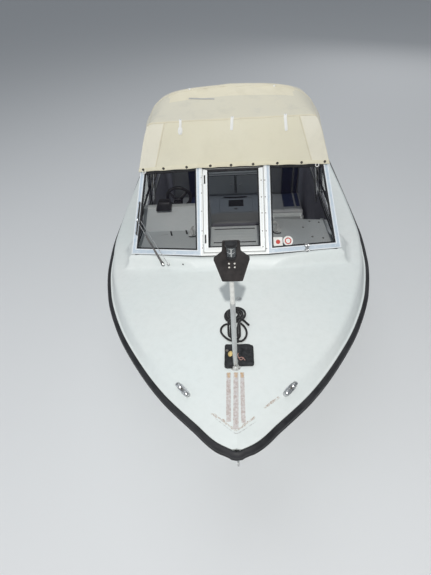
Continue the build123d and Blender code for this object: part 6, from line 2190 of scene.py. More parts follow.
wl_.append(lathe("cap", [(0, 0.0138), (0.016, 0.0132), (0.0165, 0.0145), (0.012, 0.0168), (0, 0.0172)], wp_(0, 0, -52), tuple(w_dir), "worn_steel", n=28))
wl_.append(tube("shaft", [tuple(wp_(0, 0, -132)), tuple(wp_(0, 0, -100)), tuple(wp_(0, 0, -66))], 0.0118, "steel", n=16))
wheel = join("steering_wheel_rim", wl_)
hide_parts("steering_wheel")
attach(wheel, "steering_wheel")

# ---- instrument housing on the binnacle: sloping face, narrower at the top
rows = []
for z, x0, x1, s0, s1 in ((1151.5, -646, -521, 1930, 2018), (1154, -648, -520, 1927, 2020), (1172, -645, -520, 1929, 2018), (1200, -634, -521, 1936, 2014), (1216, -625, -523, 1943, 2010), (1223, -620, -526, 1948, 2006), (1225, -612, -532, 1956, 2000)):
    o_ = eased_rect(x0, x1, s0, s1, 12.0)
    rows.append([mm(x, s, z) for x, s in o_])
inst = [grid_object("housing", rows, "plastic", close_v=True, caps=True, angle=40)]
for x_, r_ in ((-583, 0.024),):
    inst.append(lathe("bezel", [(0, -0.002), (r_ * 1.1, -0.002), (r_ * 1.1, 0.003), (r_, 0.005), (r_ * 0.94, 0.002), (0, 0.002)], mm(x_, 2016.5, 1184), (0, 1, 0.12), "worn_steel", n=28))
inst_o = join("instrument_housing", inst)
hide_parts("instrument_box")
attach(inst_o, "boat")
# =====================================================================================================
# foredeck: light mast, pad, fittings, worn strips, coiled line
# =====================================================================================================
DECK_TREE = tree_of(deck)


def deck_point(x, s, h=0.0):
    """point on the deck's surface (x, s in mm), h metres above it"""
    hit = DECK_TREE.ray_cast(Vector((x / 1000.0, s / 1000.0 - HALF, 2.0)), Vector((0, 0, -1)))
    p, n = (hit[0], hit[1]) if hit[0] is not None else (Vector(mm(x, s, top_z(x, s))), Vector((0, 0, 1)))
    if n.z < 0:
        n = -n
    return p + n * h, n


MX, MS, MZ = -2.0, 494.0, 953.0


def mp(x, s, h):
    """point given from the mast's foot (mm)"""
    return mm(MX + x, MS + s, MZ + h)


# ---- mast foot: cast flange with bolts, collar with a set screw
parts = []
parts.append(lathe("flange", [(0, -0.010), (0.0345, -0.010), (0.0350, -0.004), (0.0345, -0.0015), (0.0325, 0.0008), (0.0290, 0.0014), (0.0255, 0.0006), (0.0225, 0.0006), (0.0200, 0.0022), (0.0190, 0.0060), (0.0175, 0.0072), (0, 0.0074)],
                   mp(0, 0, 0), (0, 0, 1), "mast_white", n=40))
for k in range(4):
    a = math.radians(45 + 90 * k)
    parts.append(lathe("bolt", [(0, 0.0), (0.0042, 0.0), (0.0042, 0.0024), (0.0030, 0.0034), (0, 0.0036)], mp(29 * math.cos(a), 29 * math.sin(a), 0.8), (0, 0, 1), "worn_steel", n=6, angle=20))
parts.append(lathe("set_screw", [(0, -0.002), (0.0042, -0.002), (0.0042, 0.004), (0.0034, 0.0052), (0, 0.0052)], mp(0, -13.4, 25), (0, -1, 0), "worn_steel", n=12))
foot = join("mast_foot_casting", parts)
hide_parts("mast_foot")
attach(foot, "boat")

# ---- mast: thick-walled tube with a sleeve joint, clamp bands and a cable lead
parts = []
prof = [(0, 0.0010), (0.0120, 0.0010), (0.0140, 0.0035), (0.0141, 0.0430), (0.0136, 0.0445)]
for h in np.linspace(0.06, 0.505, 24):
    prof.append((0.0136, h))
prof += [(0.01360, 0.5140), (0.0128, 0.5155), (0, 0.5160)]
parts.append(lathe("tube", prof, mp(0, 0, 0), (0, 0, 1), "mast", n=32))
# the upper sleeve uses the paler material, partly painted highlight
prof = [(0, 0.5100), (0.0118, 0.5100)] + [(0.0118, h) for h in np.linspace(0.52, 0.69, 10)] + [(0.0118, 0.6985), (0.0110, 0.700), (0, 0.700)]
parts.append(lathe("tube", prof, mp(0, 0, 0), (0, 0, 1), "mast_pale_and_painted_highlight", n=32))
for h, w, r in ((0.680, 0.008, 0.0118), (0.507, 0.012, 0.0136)):
    ringp = [(r + (0.0011 if abs(t) < 1 else 0.0), h + w / 2 * t) for t in (-1, -0.9, 0.9, 1)]
    parts.append(lathe("band", [(r - 0.002, ringp[0][1])] + ringp + [(r - 0.002, ringp[-1][1])], mp(0, 0, 0), (0, 0, 1), "mast", n=30))
cable = smooth_path([mp(7.0, 11.0, 668), mp(8.2, 12.2, 640), mp(7.6, 12.0, 600), mp(8.4, 12.4, 565), mp(8.4, 12.6, 545), mp(6.5, 10.5, 525)], 40)
parts.append(tube("lead", cable, 0.0022, "plastic", n=8))
mast = join("mast_pole", parts)
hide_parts("mast_tube")
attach(mast, "boat")

# ---- board behind the lamp: bevelled plate with eased corners
BX = 5.0
BOARD = [(-48, 683.5), (48, 683.5), (80.5, 811), (80.5, 820), (42, 854), (38, 911), (-38, 911), (-42, 854), (-80.5, 820), (-80.5, 811)]


def eased(poly, r, n=6):
    out = []
    m = len(poly)
    for i in range(m):
        a, b, c = (np.array(poly[k % m], float) for k in (i - 1, i, i + 1))
        u, v = (a - b), (c - b)
        lu, lv = np.linalg.norm(u), np.linalg.norm(v)
        k = min(r, lu * 0.45, lv * 0.45)
        p, q = b + u / lu * k, b + v / lv * k
        for t in np.linspace(0, 1, n):
            out.append((1 - t) ** 2 * p + 2 * t * (1 - t) * b + t * t * q)
    return out


outl = eased(BOARD, 7)
cx0 = np.mean(outl, axis=0)
rows = []
for s_off, k in ((-27.6, 2.2), (-28.3, 1.0), (-28.4, 0.0), (-17.2, 0.0), (-16.6, 1.0), (-16.5, 2.2)):
    row = []
    for p in outl:
        d = p - np.array((0.0, 790.0))
        q = p - d / np.linalg.norm(d) * k
        row.append(mp(BX + q[0], s_off, q[1]))
    rows.append(row)
board = grid_object("board", rows, "board", close_v=True, caps=True, angle=35)
bits = [board]
for x in (-12.5, 12.5):
    for h in (790, 768):
        bits.append(lathe("screw", [(0, -0.001), (0.0045, -0.001), (0.0045, 0.0006), (0.0036, 0.0018), (0.0018, 0.0024), (0.0009, 0.0016), (0, 0.0016)], mp(BX + x, -28.3, h), (0, -1, 0), "screw_bright", n=18))
bd = join("light_board_plate", bits)
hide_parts("light_board")
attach(bd, "boat")

# ---- mast head clamp behind the board
parts = [bevel_box("clamp", mp(-15.5, -16.2, 700.4), mp(19.5, 17.5, 759.5), 0.004, "mast")]
for h in (714, 745):
    parts.append(lathe("nut", [(0, 0), (0.0075, 0), (0.0075, 0.0048), (0.0064, 0.0058), (0.0032, 0.0060), (0.0032, 0.0090), (0, 0.0095)], mp(2, 17.3, h), (0, 1, 0), "worn_steel", n=6, angle=20))
clampo = join("mast_head_clamp", parts)
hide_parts("mast_head")
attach(clampo, "boat")

# ---- lamp: D-shaped housing with a ribbed lens
def d_outline(hw, depth, h, n=34):
    pts = []
    for a in np.linspace(-math.pi / 2, math.pi / 2, n):
        ca, sa = math.cos(a), math.sin(a)
        pts.append(mp(BX + hw * math.copysign(abs(sa) ** 0.86, sa), -28.8 - depth * abs(ca) ** 0.72, h))
    pts.append(mp(BX + hw * 0.5, -28.8, h))
    pts.append(mp(BX - hw * 0.5, -28.8, h))
    return pts


lamp = []
lamp.append(grid_object("lamp_base", [d_outline(*r) for r in ((17, 20, 833), (22, 26, 834.5), (23.5, 28, 836.5), (23.5, 28, 840), (22.5, 27, 843), (20, 24.5, 844))], "plastic", close_v=True, caps=True, angle=40))
lamp.append(grid_object("lamp_cap", [d_outline(*r) for r in ((20, 24, 894.5), (24, 27, 895), (27, 30.5, 897), (28, 32, 901), (27.5, 31, 908), (26, 29, 912), (22, 25, 914.5), (15, 18, 915.7), (6, 8, 916))], "plastic", close_v=True, caps=True, angle=30))
# white rod in the middle of the lens: painted highlight for the bright streak down the lens
lamp.append(tube("lamp_painted_highlight_rod", [mp(BX, -47, 844), mp(BX, -47, 870), mp(BX, -47, 894)], 0.0032, "sticker", n=16))
lamp.append(bevel_box("lamp_mirror", mp(BX - 17, -36, 843), mp(BX + 17, -30.5, 895), 0.0006, "plastic"))
for x in (-1, 1):
    # the upper, white V of tubes is a painted highlight; the lower pair is steel
    lamp.append(tube("lamp_wing", [mp(BX + x * 16, -42, 893), mp(BX + x * 11, -45, 887), mp(BX + x * 5, -47, 882)], 0.0024, "sticker", n=10))
    lamp.append(tube("lamp_wing", [mp(BX + x * 15, -42, 866), mp(BX + x * 10, -45, 861), mp(BX + x * 4, -47, 858)], 0.0022, "steel", n=10))
housing = join("nav_lamp_housing", lamp)
rows = []
k = 0
for h in np.linspace(843.5, 895.5, 37):
    r = 20.3 + (0.9 if (k % 3) == 1 else 0.0) + (0.4 if (k % 3) == 2 else 0.0)
    rows.append(d_outline(r, r + 4.5, h))
    k += 1
lens = grid_object("nav_lamp_lens", rows, "lens", close_v=True, caps=True, angle=60)
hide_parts("nav_light")
for o in (housing, lens):
    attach(o, "boat")

# ---- rubber pad round the mast: two worn blocks, with scraps of brass and red plastic on it
def worn_block(name, lo, hi, r, mat, amp, seed, sub=0.006):
    ob = bevel_box(name, lo, hi, r, mat, seg=4)
    m = ob.modifiers.new("r", "REMESH")
    m.mode = "VOXEL"
    m.voxel_size = sub
    apply_mods(ob)
    lo, hi = np.array(lo), np.array(hi)
    for v in ob.data.vertices:
        n = mnoise.noise(v.co * 26 + Vector((seed, 0, 0))) + 0.5 * mnoise.noise(v.co * 70 + Vector((0, seed, 0)))
        v.co = v.co + v.normal * amp * n
        v.co = Vector(np.clip(np.array(v.co), lo - 0.0, hi + 0.0))
    sb = ob.modifiers.new("s", "SUBSURF")
    sb.levels = sb.render_levels = 1
    apply_mods(ob)
    ob.data.polygons.foreach_set("use_smooth", [True] * len(ob.data.polygons))
    return ob


za = 0.945
pa = worn_block("pad_a", mm(-67, 477, 936), mm(-15, 643, 982), 0.012, "pad", 0.0020, 3.0)
pb = worn_block("pad_b", mm(-30, 534, 945), mm(100, 646, 980), 0.016, "pad", 0.0024, 8.0)
pc = worn_block("pad_c", mm(13, 490, 940), mm(108, 640, 978), 0.014, "pad", 0.0022, 5.0)
pads = join("mooring_pad_rubber", [pa, pb, pc])
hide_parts("mooring_pad")
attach(pads, "boat")
sc = []
c = mm(-33, 556, 982.4)
rows = []
for i, (r, h) in enumerate(((0.0012, 0.0), (0.0125, 0.0), (0.0145, 0.0025), (0.0120, 0.0062), (0.0085, 0.0085), (0.0035, 0.0108), (0.0006, 0.0115))):
    rows.append([(c[0] + r * math.cos(a) * 1.0 + 0.006 * h / 0.01, c[1] + r * math.sin(a) * 1.35 + 0.010 * h / 0.01, c[2] + h) for a in np.linspace(0, 2 * math.pi, 8, endpoint=False)])
sc.append(grid_object("brass", rows, "brass", close_v=True, caps=True, angle=20))
sc.append(lathe("brass_eye", [(0.004, 0), (0.0085, 0), (0.0095, 0.002), (0.0085, 0.004), (0.004, 0.004)], mm(-52, 585, 982.6), (0.15, -0.1, 1), "worn_steel", n=20))
for pts in ([mm(14, 536, 981.5), mm(24, 531, 983), mm(36, 533, 984), mm(44, 530, 983.5), mm(50, 520, 981), mm(55, 514, 979.5)], [mm(18, 530, 982), mm(24, 522, 979), mm(32, 518, 979), mm(40, 522, 982), mm(44, 530, 983.5)], [mm(16, 566, 981), mm(12, 552, 981.5), mm(16, 540, 982)]):
    sc.append(tube("scrap", smooth_path(pts, 18), 0.0024, "scrap_red", n=8))
scraps = join("pad_scraps", sc)
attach(scraps, "boat")
# grey stud on the deck ahead of the windscreen
p, n = deck_point(24, 1026)
st = lathe("deck_stud", [(0, -0.002), (0.0185, -0.002), (0.0190, 0.001), (0.0180, 0.0035), (0.0150, 0.0045), (0.0130, 0.0035), (0.0110, 0.0042), (0.0090, 0.0075), (0.0060, 0.0100), (0, 0.0105)], p, n, "mast", n=26)
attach(st, "boat")

# ---- bow chocks: plate with two horns curling towards each other
def chock_mesh(sign):
    c, n = deck_point(sign * 300, 354)
    ax = Vector((sign * math.sin(math.radians(42)), math.cos(math.radians(42)), 0))
    ax = (ax - n * ax.dot(n)).normalized()
    sd_ = n.cross(ax).normalized()
    M = Matrix((sd_, ax, n)).transposed().to_4x4()
    M.translation = c
    obs = []
    # oval plate
    rows = []
    for k, h in ((1.0, -0.003), (1.0, 0.004), (0.96, 0.0060), (0.86, 0.0068)):
        rows.append([(0.0165 * k * math.copysign(abs(math.cos(a)) ** 0.8, math.cos(a)), 0.0475 * k * math.copysign(abs(math.sin(a)) ** 0.62, math.sin(a)), h) for a in np.linspace(0, 2 * math.pi, 44, endpoint=False)])
    obs.append(grid_object("plate", rows, "steel", close_v=True, caps=True, angle=30))
    for e in (-1, 1):
        pts = smooth_path([(0, e * 0.036, 0.004), (0, e * 0.043, 0.014), (0, e * 0.040, 0.024), (0, e * 0.028, 0.0285), (0, e * 0.015, 0.0262), (0, e * 0.009, 0.0225)], 22)
        sc_ = [1.25 - 0.35 * t + (0.15 if t > 0.8 else 0) for t in np.linspace(0, 1, 22)]
        sec = [(0.0095 * math.cos(a), 0.0052 * math.sin(a)) for a in np.linspace(0, 2 * math.pi, 16, endpoint=False)]
        obs.append(sweep("horn", pts, sec, "steel", up=(0, 1, 0), angle=50, scale=sc_))
        web = smooth_path([(0, e * 0.020, 0.004), (0, e * 0.0215, 0.012), (0, e * 0.026, 0.022)], 10)
        obs.append(sweep("web", web, [(0.0060 * math.cos(a), 0.0035 * math.sin(a)) for a in np.linspace(0, 2 * math.pi, 12, endpoint=False)], "steel", up=(0, 1, 0), angle=50))
        obs.append(lathe("screw", [(0, 0.0055), (0.0050, 0.0055), (0.0046, 0.0078), (0.0015, 0.0084), (0.0009, 0.0074), (0, 0.0074)], (0, e * 0.0095 if e > 0 else -0.0095, 0), (0, 0, 1), "worn_steel", n=16))
    ob = join("chock", obs)
    ob.data.transform(Matrix.Diagonal((1.15, 1.15, 1.15, 1)))
    ob.data.transform(M)
    return ob


ch = join("bow_chock_castings", [chock_mesh(1), chock_mesh(-1)])
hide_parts("bow_chocks")
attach(ch, "boat")


# ---- horn cleats on the side decks
def cleat_mesh(x, s):
    c, n = deck_point(x, s)
    c = Vector((c.x, c.y, c.z))
    obs = []
    rows = []
    for k, h in ((1.0, -0.003), (1.0, 0.0055), (0.95, 0.0078), (0.84, 0.0086)):
        rows.append([(c.x + 0.0125 * k * math.copysign(abs(math.cos(a)) ** 0.8, math.cos(a)), c.y + 0.0445 * k * math.copysign(abs(math.sin(a)) ** 0.6, math.sin(a)), c.z + h) for a in np.linspace(0, 2 * math.pi, 36, endpoint=False)])
    obs.append(grid_object("plate", rows, "steel", close_v=True, caps=True, angle=30))
    for e in (-1, 1):
        leg = smooth_path([(c.x, c.y + e * 0.028, c.z + 0.006), (c.x, c.y + e * 0.0245, c.z + 0.018), (c.x, c.y + e * 0.024, c.z + 0.034)], 12)
        obs.append(tube("leg", leg, 0.0078, "steel", n=16, scale=[1.25 - 0.3 * t for t in np.linspace(0, 1, 12)]))
    pts = smooth_path([(c.x, c.y - 0.0735, c.z + 0.0425), (c.x, c.y - 0.050, c.z + 0.0395), (c.x, c.y - 0.024, c.z + 0.0375), (c.x, c.y, c.z + 0.0370), (c.x, c.y + 0.024, c.z + 0.0375), (c.x, c.y + 0.050, c.z + 0.0395), (c.x, c.y + 0.0735, c.z + 0.0425)], 34)
    t = np.linspace(-1, 1, 34)
    obs.append(tube("horn", pts, 0.0088, "steel", n=18, scale=list(1.0 - 0.42 * np.abs(t) ** 1.5 - 0.35 * (np.abs(t) > 0.97))))
    return join("cleat", obs)


cl = join("side_cleat_castings", [cleat_mesh(905, 4300), cleat_mesh(-905, 4300)])
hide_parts("side_cleats")
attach(cl, "boat")


# ---- eyes at the stem and the transom
def eye_mesh(name, c, axis_x, R, r, root, mat="steel"):
    """ring in the fore-and-aft plane"""
    ringp = [tuple(Vector(c) + Vector((0, R * math.cos(a), R * math.sin(a)))) for a in np.linspace(0, 2 * math.pi, 40, endpoint=False)]
    obs = [tube("ring", ringp, r, mat, n=14, closed=True)]
    return obs


obs = eye_mesh("bow", mm(0, 140, 468), 1, 0.0150, 0.0058, None)
obs.append(bevel_box("web", mm(-6.5, 148, 447), mm(6.5, 326, 493), 0.004, "steel"))
be = join("bow_eye_ring", obs)
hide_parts("bow_eye")
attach(be, "boat")
for nm, sg in (("port", 1), ("starboard", -1)):
    obs = eye_mesh("stern", mm(sg * 620, 5532, 420), 1, 0.0172, 0.0058, None)
    obs.append(bevel_box("stem", mm(sg * 620 - 5.5, 5503, 402), mm(sg * 620 + 5.5, 5520, 438), 0.003, "steel"))
    obs.append(lathe("plate", [(0, 0.0002), (0.026, 0.0002), (0.026, 0.0022), (0.023, 0.0036), (0, 0.0038)], mm(sg * 620, 5500, 420), (0, 1, 0), "steel", n=32))
    for a in (math.radians(45), math.radians(225)):
        obs.append(lathe("screw", [(0, 0.003), (0.0042, 0.003), (0.0036, 0.0050), (0, 0.0054)], (sg * 0.620 + 0.0185 * math.cos(a), 5.500 - HALF, 0.420 + 0.0185 * math.sin(a)), (0, 1, 0), "worn_steel", n=12))
    se = join(f"stern_eye_{nm}_ring", obs)
    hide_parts(f"stern_eye_{nm}")
    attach(se, "boat")


# ---- worn strips and stains on the foredeck
def deck_band(name, pts, width, mat, lift=0.0005, thick=0.0007, ragged=0.0015, seed=0.0, taper=None):
    """thin residue following the deck, with uneven edges"""
    P = smooth_path([(p[0], p[1], 0) for p in pts], max(8, int(sum(math.dist(a, b) for a, b in zip(pts, pts[1:])) / 5)))
    rows = []
    n = len(P)
    for i in range(n):
        t = P[min(i + 1, n - 1)] - P[max(i - 1, 0)]
        t /= np.linalg.norm(t)
        nx = np.array((-t[1], t[0], 0))
        w = width / 2 * (taper(i / (n - 1)) if taper else 1.0)
        row = []
        for j, (a, h) in enumerate(((-1, -0.0003), (-1, 1), (-0.5, 1), (0, 1), (0.5, 1), (1, 1), (1, -0.0003))):
            e = 0.0
            if abs(a) == 1:
                e = ragged * 1000 * mnoise.noise(Vector((P[i][0] * 0.09 + seed, P[i][1] * 0.09, a * 3.0)))
            q = P[i] + nx * (a * w + e * a)
            pt_, nn = deck_point(q[0], q[1])
            row.append(tuple(pt_ + nn * (lift + thick if h == 1 else -0.0006)))
        rows.append(row)
    return grid_object(name, rows, mat, close_v=True, caps=True, angle=60)


bands = [deck_band("strip", [(-42, 446), (-42, 300), (-41, 152)], 25, "worn", seed=1.0),
         deck_band("strip", [(0, 448), (-1, 300), (-3, 112)], 28, "worn", seed=2.0),
         deck_band("strip", [(36, 448), (36, 300), (37, 146)], 23, "worn", seed=3.0)]
for x in (-42, 0, 36):
    bands.append(deck_band("rust", [(x, 449), (x, 436), (x + 0.5, 416)], 20, "rust", lift=0.0013, seed=x, ragged=0.004, taper=lambda t: 1 - 0.45 * t))
worn = join("worn_strips", bands)
stains = [deck_band("stain", [(-136, 205), (-98, 180), (-60, 152), (-30, 124), (-3, 104)], 13, "stain", seed=5.0, ragged=0.006, thick=0.0003, taper=lambda t: 0.6 + 0.5 * math.sin(9 * t) ** 2),
          deck_band("stain", [(-3, 104), (20, 118), (47, 141), (72, 160), (100, 183)], 12, "stain", seed=6.0, ragged=0.006, thick=0.0003, taper=lambda t: 0.6 + 0.5 * math.sin(8 * t + 1) ** 2),
          deck_band("stain", [(238, 304), (215, 286), (186, 262), (150, 236)], 17, "stain", seed=7.0, ragged=0.005, thick=0.0003, taper=lambda t: 0.9 - 0.3 * t),
          deck_band("stain", [(-112, 176), (-70, 142), (-30, 108), (-3, 88), (24, 100), (66, 132), (104, 160)], 4.5, "stain_grey", seed=8.0, ragged=0.003, thick=0.0003)]
stn = join("deck_stains", stains)
for o in (worn, stn):
    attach(o, "boat")

# ---- coiled line: one length of 12 mm braid lying behind the pad
ROPE_R = 0.007


def zd(x, s, level):
    return deck_point(x, s)[0].z * 1000 + 7.6 + 14.4 * level


def spiral(c0, c1, r0, r1, a0, a1, lv0, lv1, n):
    """turns whose centre and radius move steadily"""
    out = []
    for i in range(1, n + 1):
        t = i / n
        a = math.radians(a0 + (a1 - a0) * t)
        r = r0 + (r1 - r0) * t
        out.append((c0[0] + (c1[0] - c0[0]) * t + r * math.cos(a), c0[1] + (c1[1] - c0[1]) * t + r * math.sin(a), lv0 + (lv1 - lv0) * t))
    return out


route2 = [(14, 655, 0), (15, 680, 0), (15, 712, 0), (12, 745, 0), (-2, 778, 0), (-24, 800, 0), (-52, 804, 0), (-77, 792, 0), (-92, 768, 0), (-93, 741, 0), (-80, 715, 0), (-60, 693, 0), (-38, 673, 0.1), (-14, 660, 0.9),
          (10, 655, 1.05), (32, 659, 0.4), (52, 676, 0), (67, 702, 0), (71, 732, 0), (65, 762, 0), (50, 788, 0), (32, 804, 0.2), (10, 812, 0.95), (-12, 806, 1.15), (-26, 784, 0.9), (-30, 754, 0.2), (-30, 720, 0.0)]
route2 += spiral((-1, 704), (-1, 704), 29, 29, 180, 360, 0.0, 0.8, 8)
route2 += [(28, 730, 1.0), (27, 764, 1.2)]
route2 += spiral((-8.5, 786), (-8.5, 786), 35.5, 35.5, 0, 180, 1.4, 2.2, 8)
route2 += [(-44, 760, 1.7), (-44, 724, 1.1)]
route2 += spiral((-15, 708), (-15, 708), 29, 29, 180, 360, 1.1, 2.0, 8)
route2 += [(14, 735, 2.1), (17, 765, 2.1), (24, 790, 2.0), (35, 815, 1.4), (48, 841, 0.4)]
route2 += spiral((-9, 868), (-12, 869), 64, 52, 0, 360, 0.0, 0.0, 16)
route2 += spiral((-12, 869), (-15, 870), 52, 40, 0, 360, 0.0, 0.0, 15)
route2 += spiral((-15, 870), (-16, 870), 40, 29, 0, 270, 0.0, 0.0, 11)
route2 += spiral((-16, 870), (0, 869), 29, 36, 270, 540, 0.3, 1.0, 10)
route2 += spiral((0, 869), (8, 868), 36, 48, 180, 540, 1.0, 1.0, 15)
route2 += spiral((8, 868), (10, 868), 48, 57, 180, 400, 1.0, 1.0, 10)
route2 += spiral((10, 868), (8, 868), 57, 53, 40, 262, 1.0, 1.6, 10)
route2 += [(26, 815, 2.4), (44, 810, 2.4), (61, 802, 1.5), (75, 794, 0.6), (88, 789, 0.05)]
ROUTE = [mm(x, s, zd(x, s, l)) for x, s, l in route2]


def nurbs_points(name, pts):
    """points along the NURBS line through the route's control points"""
    cu = bpy.data.curves.new(name, "CURVE")
    cu.dimensions = "3D"
    cu.resolution_u = 10
    sp = cu.splines.new("NURBS")
    sp.points.add(len(pts) - 1)
    for q, p in zip(sp.points, pts):
        q.co = (p[0], p[1], p[2], 1.0)
    sp.order_u = 3
    sp.use_endpoint_u = True
    ob = bpy.data.objects.new(name, cu)
    bpy.context.scene.collection.objects.link(ob)
    me = bpy.data.meshes.new_from_object(ob)
    out = [tuple(v.co) for v in me.vertices]
    bpy.data.meshes.remove(me)
    bpy.data.objects.remove(ob)
    bpy.data.curves.remove(cu)
    return out


line = nurbs_points("line_route", ROUTE)
P = np.array(line)
seg = np.r_[0, np.cumsum(np.linalg.norm(np.diff(P, axis=0), axis=1))]
ROPE_LEN = float(seg[-1])
nst = int(ROPE_LEN / 0.0028)
q = np.linspace(0, ROPE_LEN, nst)
P = np.stack([np.interp(q, seg, P[:, k]) for k in range(3)], 1)
T = np.gradient(P, axis=0)
T /= np.linalg.norm(T, axis=1)[:, None]
side = np.cross(T[0], (0, 0, 1.0))
side /= np.linalg.norm(side)
rows = []
NR = 16
for i in range(nst):
    side = side - T[i] * np.dot(side, T[i])
    side /= np.linalg.norm(side)
    up = np.cross(side, T[i])
    row = []
    for k in range(NR):
        a = 2 * math.pi * k / NR
        tw = q[i] / 0.0125
        r = ROPE_R * (0.945 + 0.055 * max(math.cos(4 * a + 2 * math.pi * tw), math.cos(4 * a - 2 * math.pi * tw)))
        if i == 0 or i == nst - 1:
            r *= 0.75
        row.append(tuple(P[i] + side * r * math.cos(a) + up * r * math.sin(a)))
    rows.append(row)
rope = grid_object("coiled_line", rows, "rope", close_v=True, caps=True, angle=80)
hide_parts("rope_coil")
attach(rope, "boat")
end = Vector(P[-1])
whip = tube("line_whipping", [tuple(P[-1 - k]) for k in (8, 6, 4, 2, 1)], ROPE_R * 1.06, "plastic", n=16)
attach(whip, "boat")
# =====================================================================================================
# outboard motor: smooth cowl, leg with plates and skeg, twisted blades, clamp and swivel
# =====================================================================================================
def superellipse(s0, s1, hw, n=3.0, m=56, z=0.0, nose=0.0):
    """closed outline in plan; nose > 0 narrows the forward end"""
    c, h = (s0 + s1) / 2, (s1 - s0) / 2
    out_ = []
    for a in np.linspace(0, 2 * math.pi, m, endpoint=False):
        ca, sa = math.cos(a), math.sin(a)
        x = math.copysign(abs(ca) ** (2.0 / n), ca)
        y = math.copysign(abs(sa) ** (2.0 / n), sa)
        out_.append(mm(hw * x * (1 - nose * max(0.0, -y) ** 2), c + h * y, z))
    return out_


COWL = [(398.4, 5566, 5968, 144), (401, 5562, 5973, 148), (430, 5550, 5993, 161), (462, 5543, 6004.5, 170.5), (520, 5540, 6006.5, 171.5), (600, 5540, 6006.5, 170), (680, 5543, 6001.5, 165), (740, 5550, 5988, 156),
        (785, 5560, 5964, 143), (812, 5572, 5944, 130), (828, 5588, 5922, 112), (836, 5610, 5892, 88), (839.5, 5650, 5850, 50), (840, 5700, 5800, 18)]


def cowl_at(z):
    zs = [c[0] for c in COWL]
    return [float(np.interp(z, zs, [c[k] for c in COWL])) for k in (1, 2, 3)]


mt = [grid_object("cowl", [superellipse(a, b, w, 3.0, 64, z, 0.10) for z, a, b, w in COWL], "cowl", close_v=True, caps=True, angle=50)]
# split line with a rubber seal, and a pale band above it
for z0, z1, out, key in ((452, 457, 0.8, "gasket"), (478, 500, 1.2, "band")):
    rows = []
    for z, o in ((z0, -1.5), (z0, out * 0.6), (z0 + 1.2, out), (z1 - 1.2, out), (z1, out * 0.6), (z1, -1.5)):
        a, b, w = cowl_at(z)
        rows.append(superellipse(a - o, b + o, w + o, 3.0, 64, z, 0.10))
    mt.append(grid_object("band", rows, key, close_u=True, close_v=True, angle=40))
# air intake slots and lifting handle at the back; the slots and the handle recess are dark boxes, painted shade
for i in range(5):
    z = 700 + i * 15
    a, b, w = cowl_at(z)
    mt.append(bevel_box("intake", mm(-70, b - 6, z), mm(70, b + 0.6, z + 7), 0.002, "dark"))
a, b, w = cowl_at(560)
mt.append(bevel_box("handle_recess", mm(-48, b - 4, 540), mm(48, b + 0.8, 578), 0.006, "dark"))
mt.append(tube("handle", smooth_path([mm(-42, b - 3, 574), mm(-38, b - 0.6, 568), mm(0, b - 0.6, 566), mm(38, b - 0.6, 568), mm(42, b - 3, 574)], 20), 0.0035, "plastic", n=10))
for sx in (-1, 1):
    mt.append(bevel_box("latch", mm(min(sx * 160, sx * 172.5), 5760, 428), mm(max(sx * 160, sx * 172.5), 5800, 470), 0.004, "plastic"))
cowl_o = join("motor_cowl_shell", mt)
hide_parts("motor_cowl")
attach(cowl_o, "motor_steer")


def foil(s0, s1, hw, z, m=40, lead=0.42):
    """streamlined outline: rounded leading edge (forward), thin trailing edge"""
    out_ = []
    L = s1 - s0
    for side_ in (1, -1):
        ts = np.linspace(0, 1, m // 2, endpoint=False) if side_ > 0 else np.linspace(1, 0, m // 2, endpoint=False)
        for t in ts:
            y = hw * (2.9 * (math.sqrt(max(t, 0.0)) * 0.62 - 0.26 * t - 0.36 * t ** 3)) if t < 1 else 0.0
            y = max(y, 0.035 * hw)
            out_.append(mm(side_ * min(y, hw), s0 + L * t, z))
    return out_


lg = []
# tray under the cowl
lg.append(grid_object("tray", [superellipse(5574, 5886, 106, 3.0, 56, 372.2, 0.1), superellipse(5566, 5894, 114, 3.0, 56, 375, 0.1), superellipse(5561, 5899, 119, 3.0, 56, 385, 0.1), superellipse(5561, 5899, 119.5, 3.0, 56, 397.8, 0.1)],
                      "motor", close_v=True, caps=True, angle=40))
# midsection down to the anti-ventilation plate
rows = []
for z, s0, s1, hw in ((371.9, 5669, 5829, 54), (330, 5669, 5829, 54), (250, 5670, 5828, 52), (100, 5672, 5824, 47), (-60, 5674, 5820, 42), (-160, 5676, 5822, 41), (-225, 5672, 5828, 46), (-261.5, 5669, 5829, 53)):
    rows.append(foil(s0, s1, hw, z))
lg.append(grid_object("midsection", rows, "motor", close_v=True, caps=True, angle=50))
for z0, z1 in ((346, 371.8), (-134.5, -107.5)):
    lg.append(bevel_box("yoke", mm(-39.5, 5597, z0), mm(39.5, 5716, z1), 0.009, "motor", seg=4))
    for sx in (-1, 1):
        lg.append(lathe("bolt", [(0, 0), (0.0085, 0), (0.0085, 0.006), (0.0070, 0.0075), (0, 0.0075)], mm(sx * 29, 5645, z1 if z0 > 0 else z0), (0, 0, 1 if z0 > 0 else -1), "worn_steel", n=6, angle=20))
lg.append(tube("pivot", [mm(0, 5622, z) for z in (-131.5, -128, 0, 200, 340, 367.5)], 0.0198, "steel", n=24))
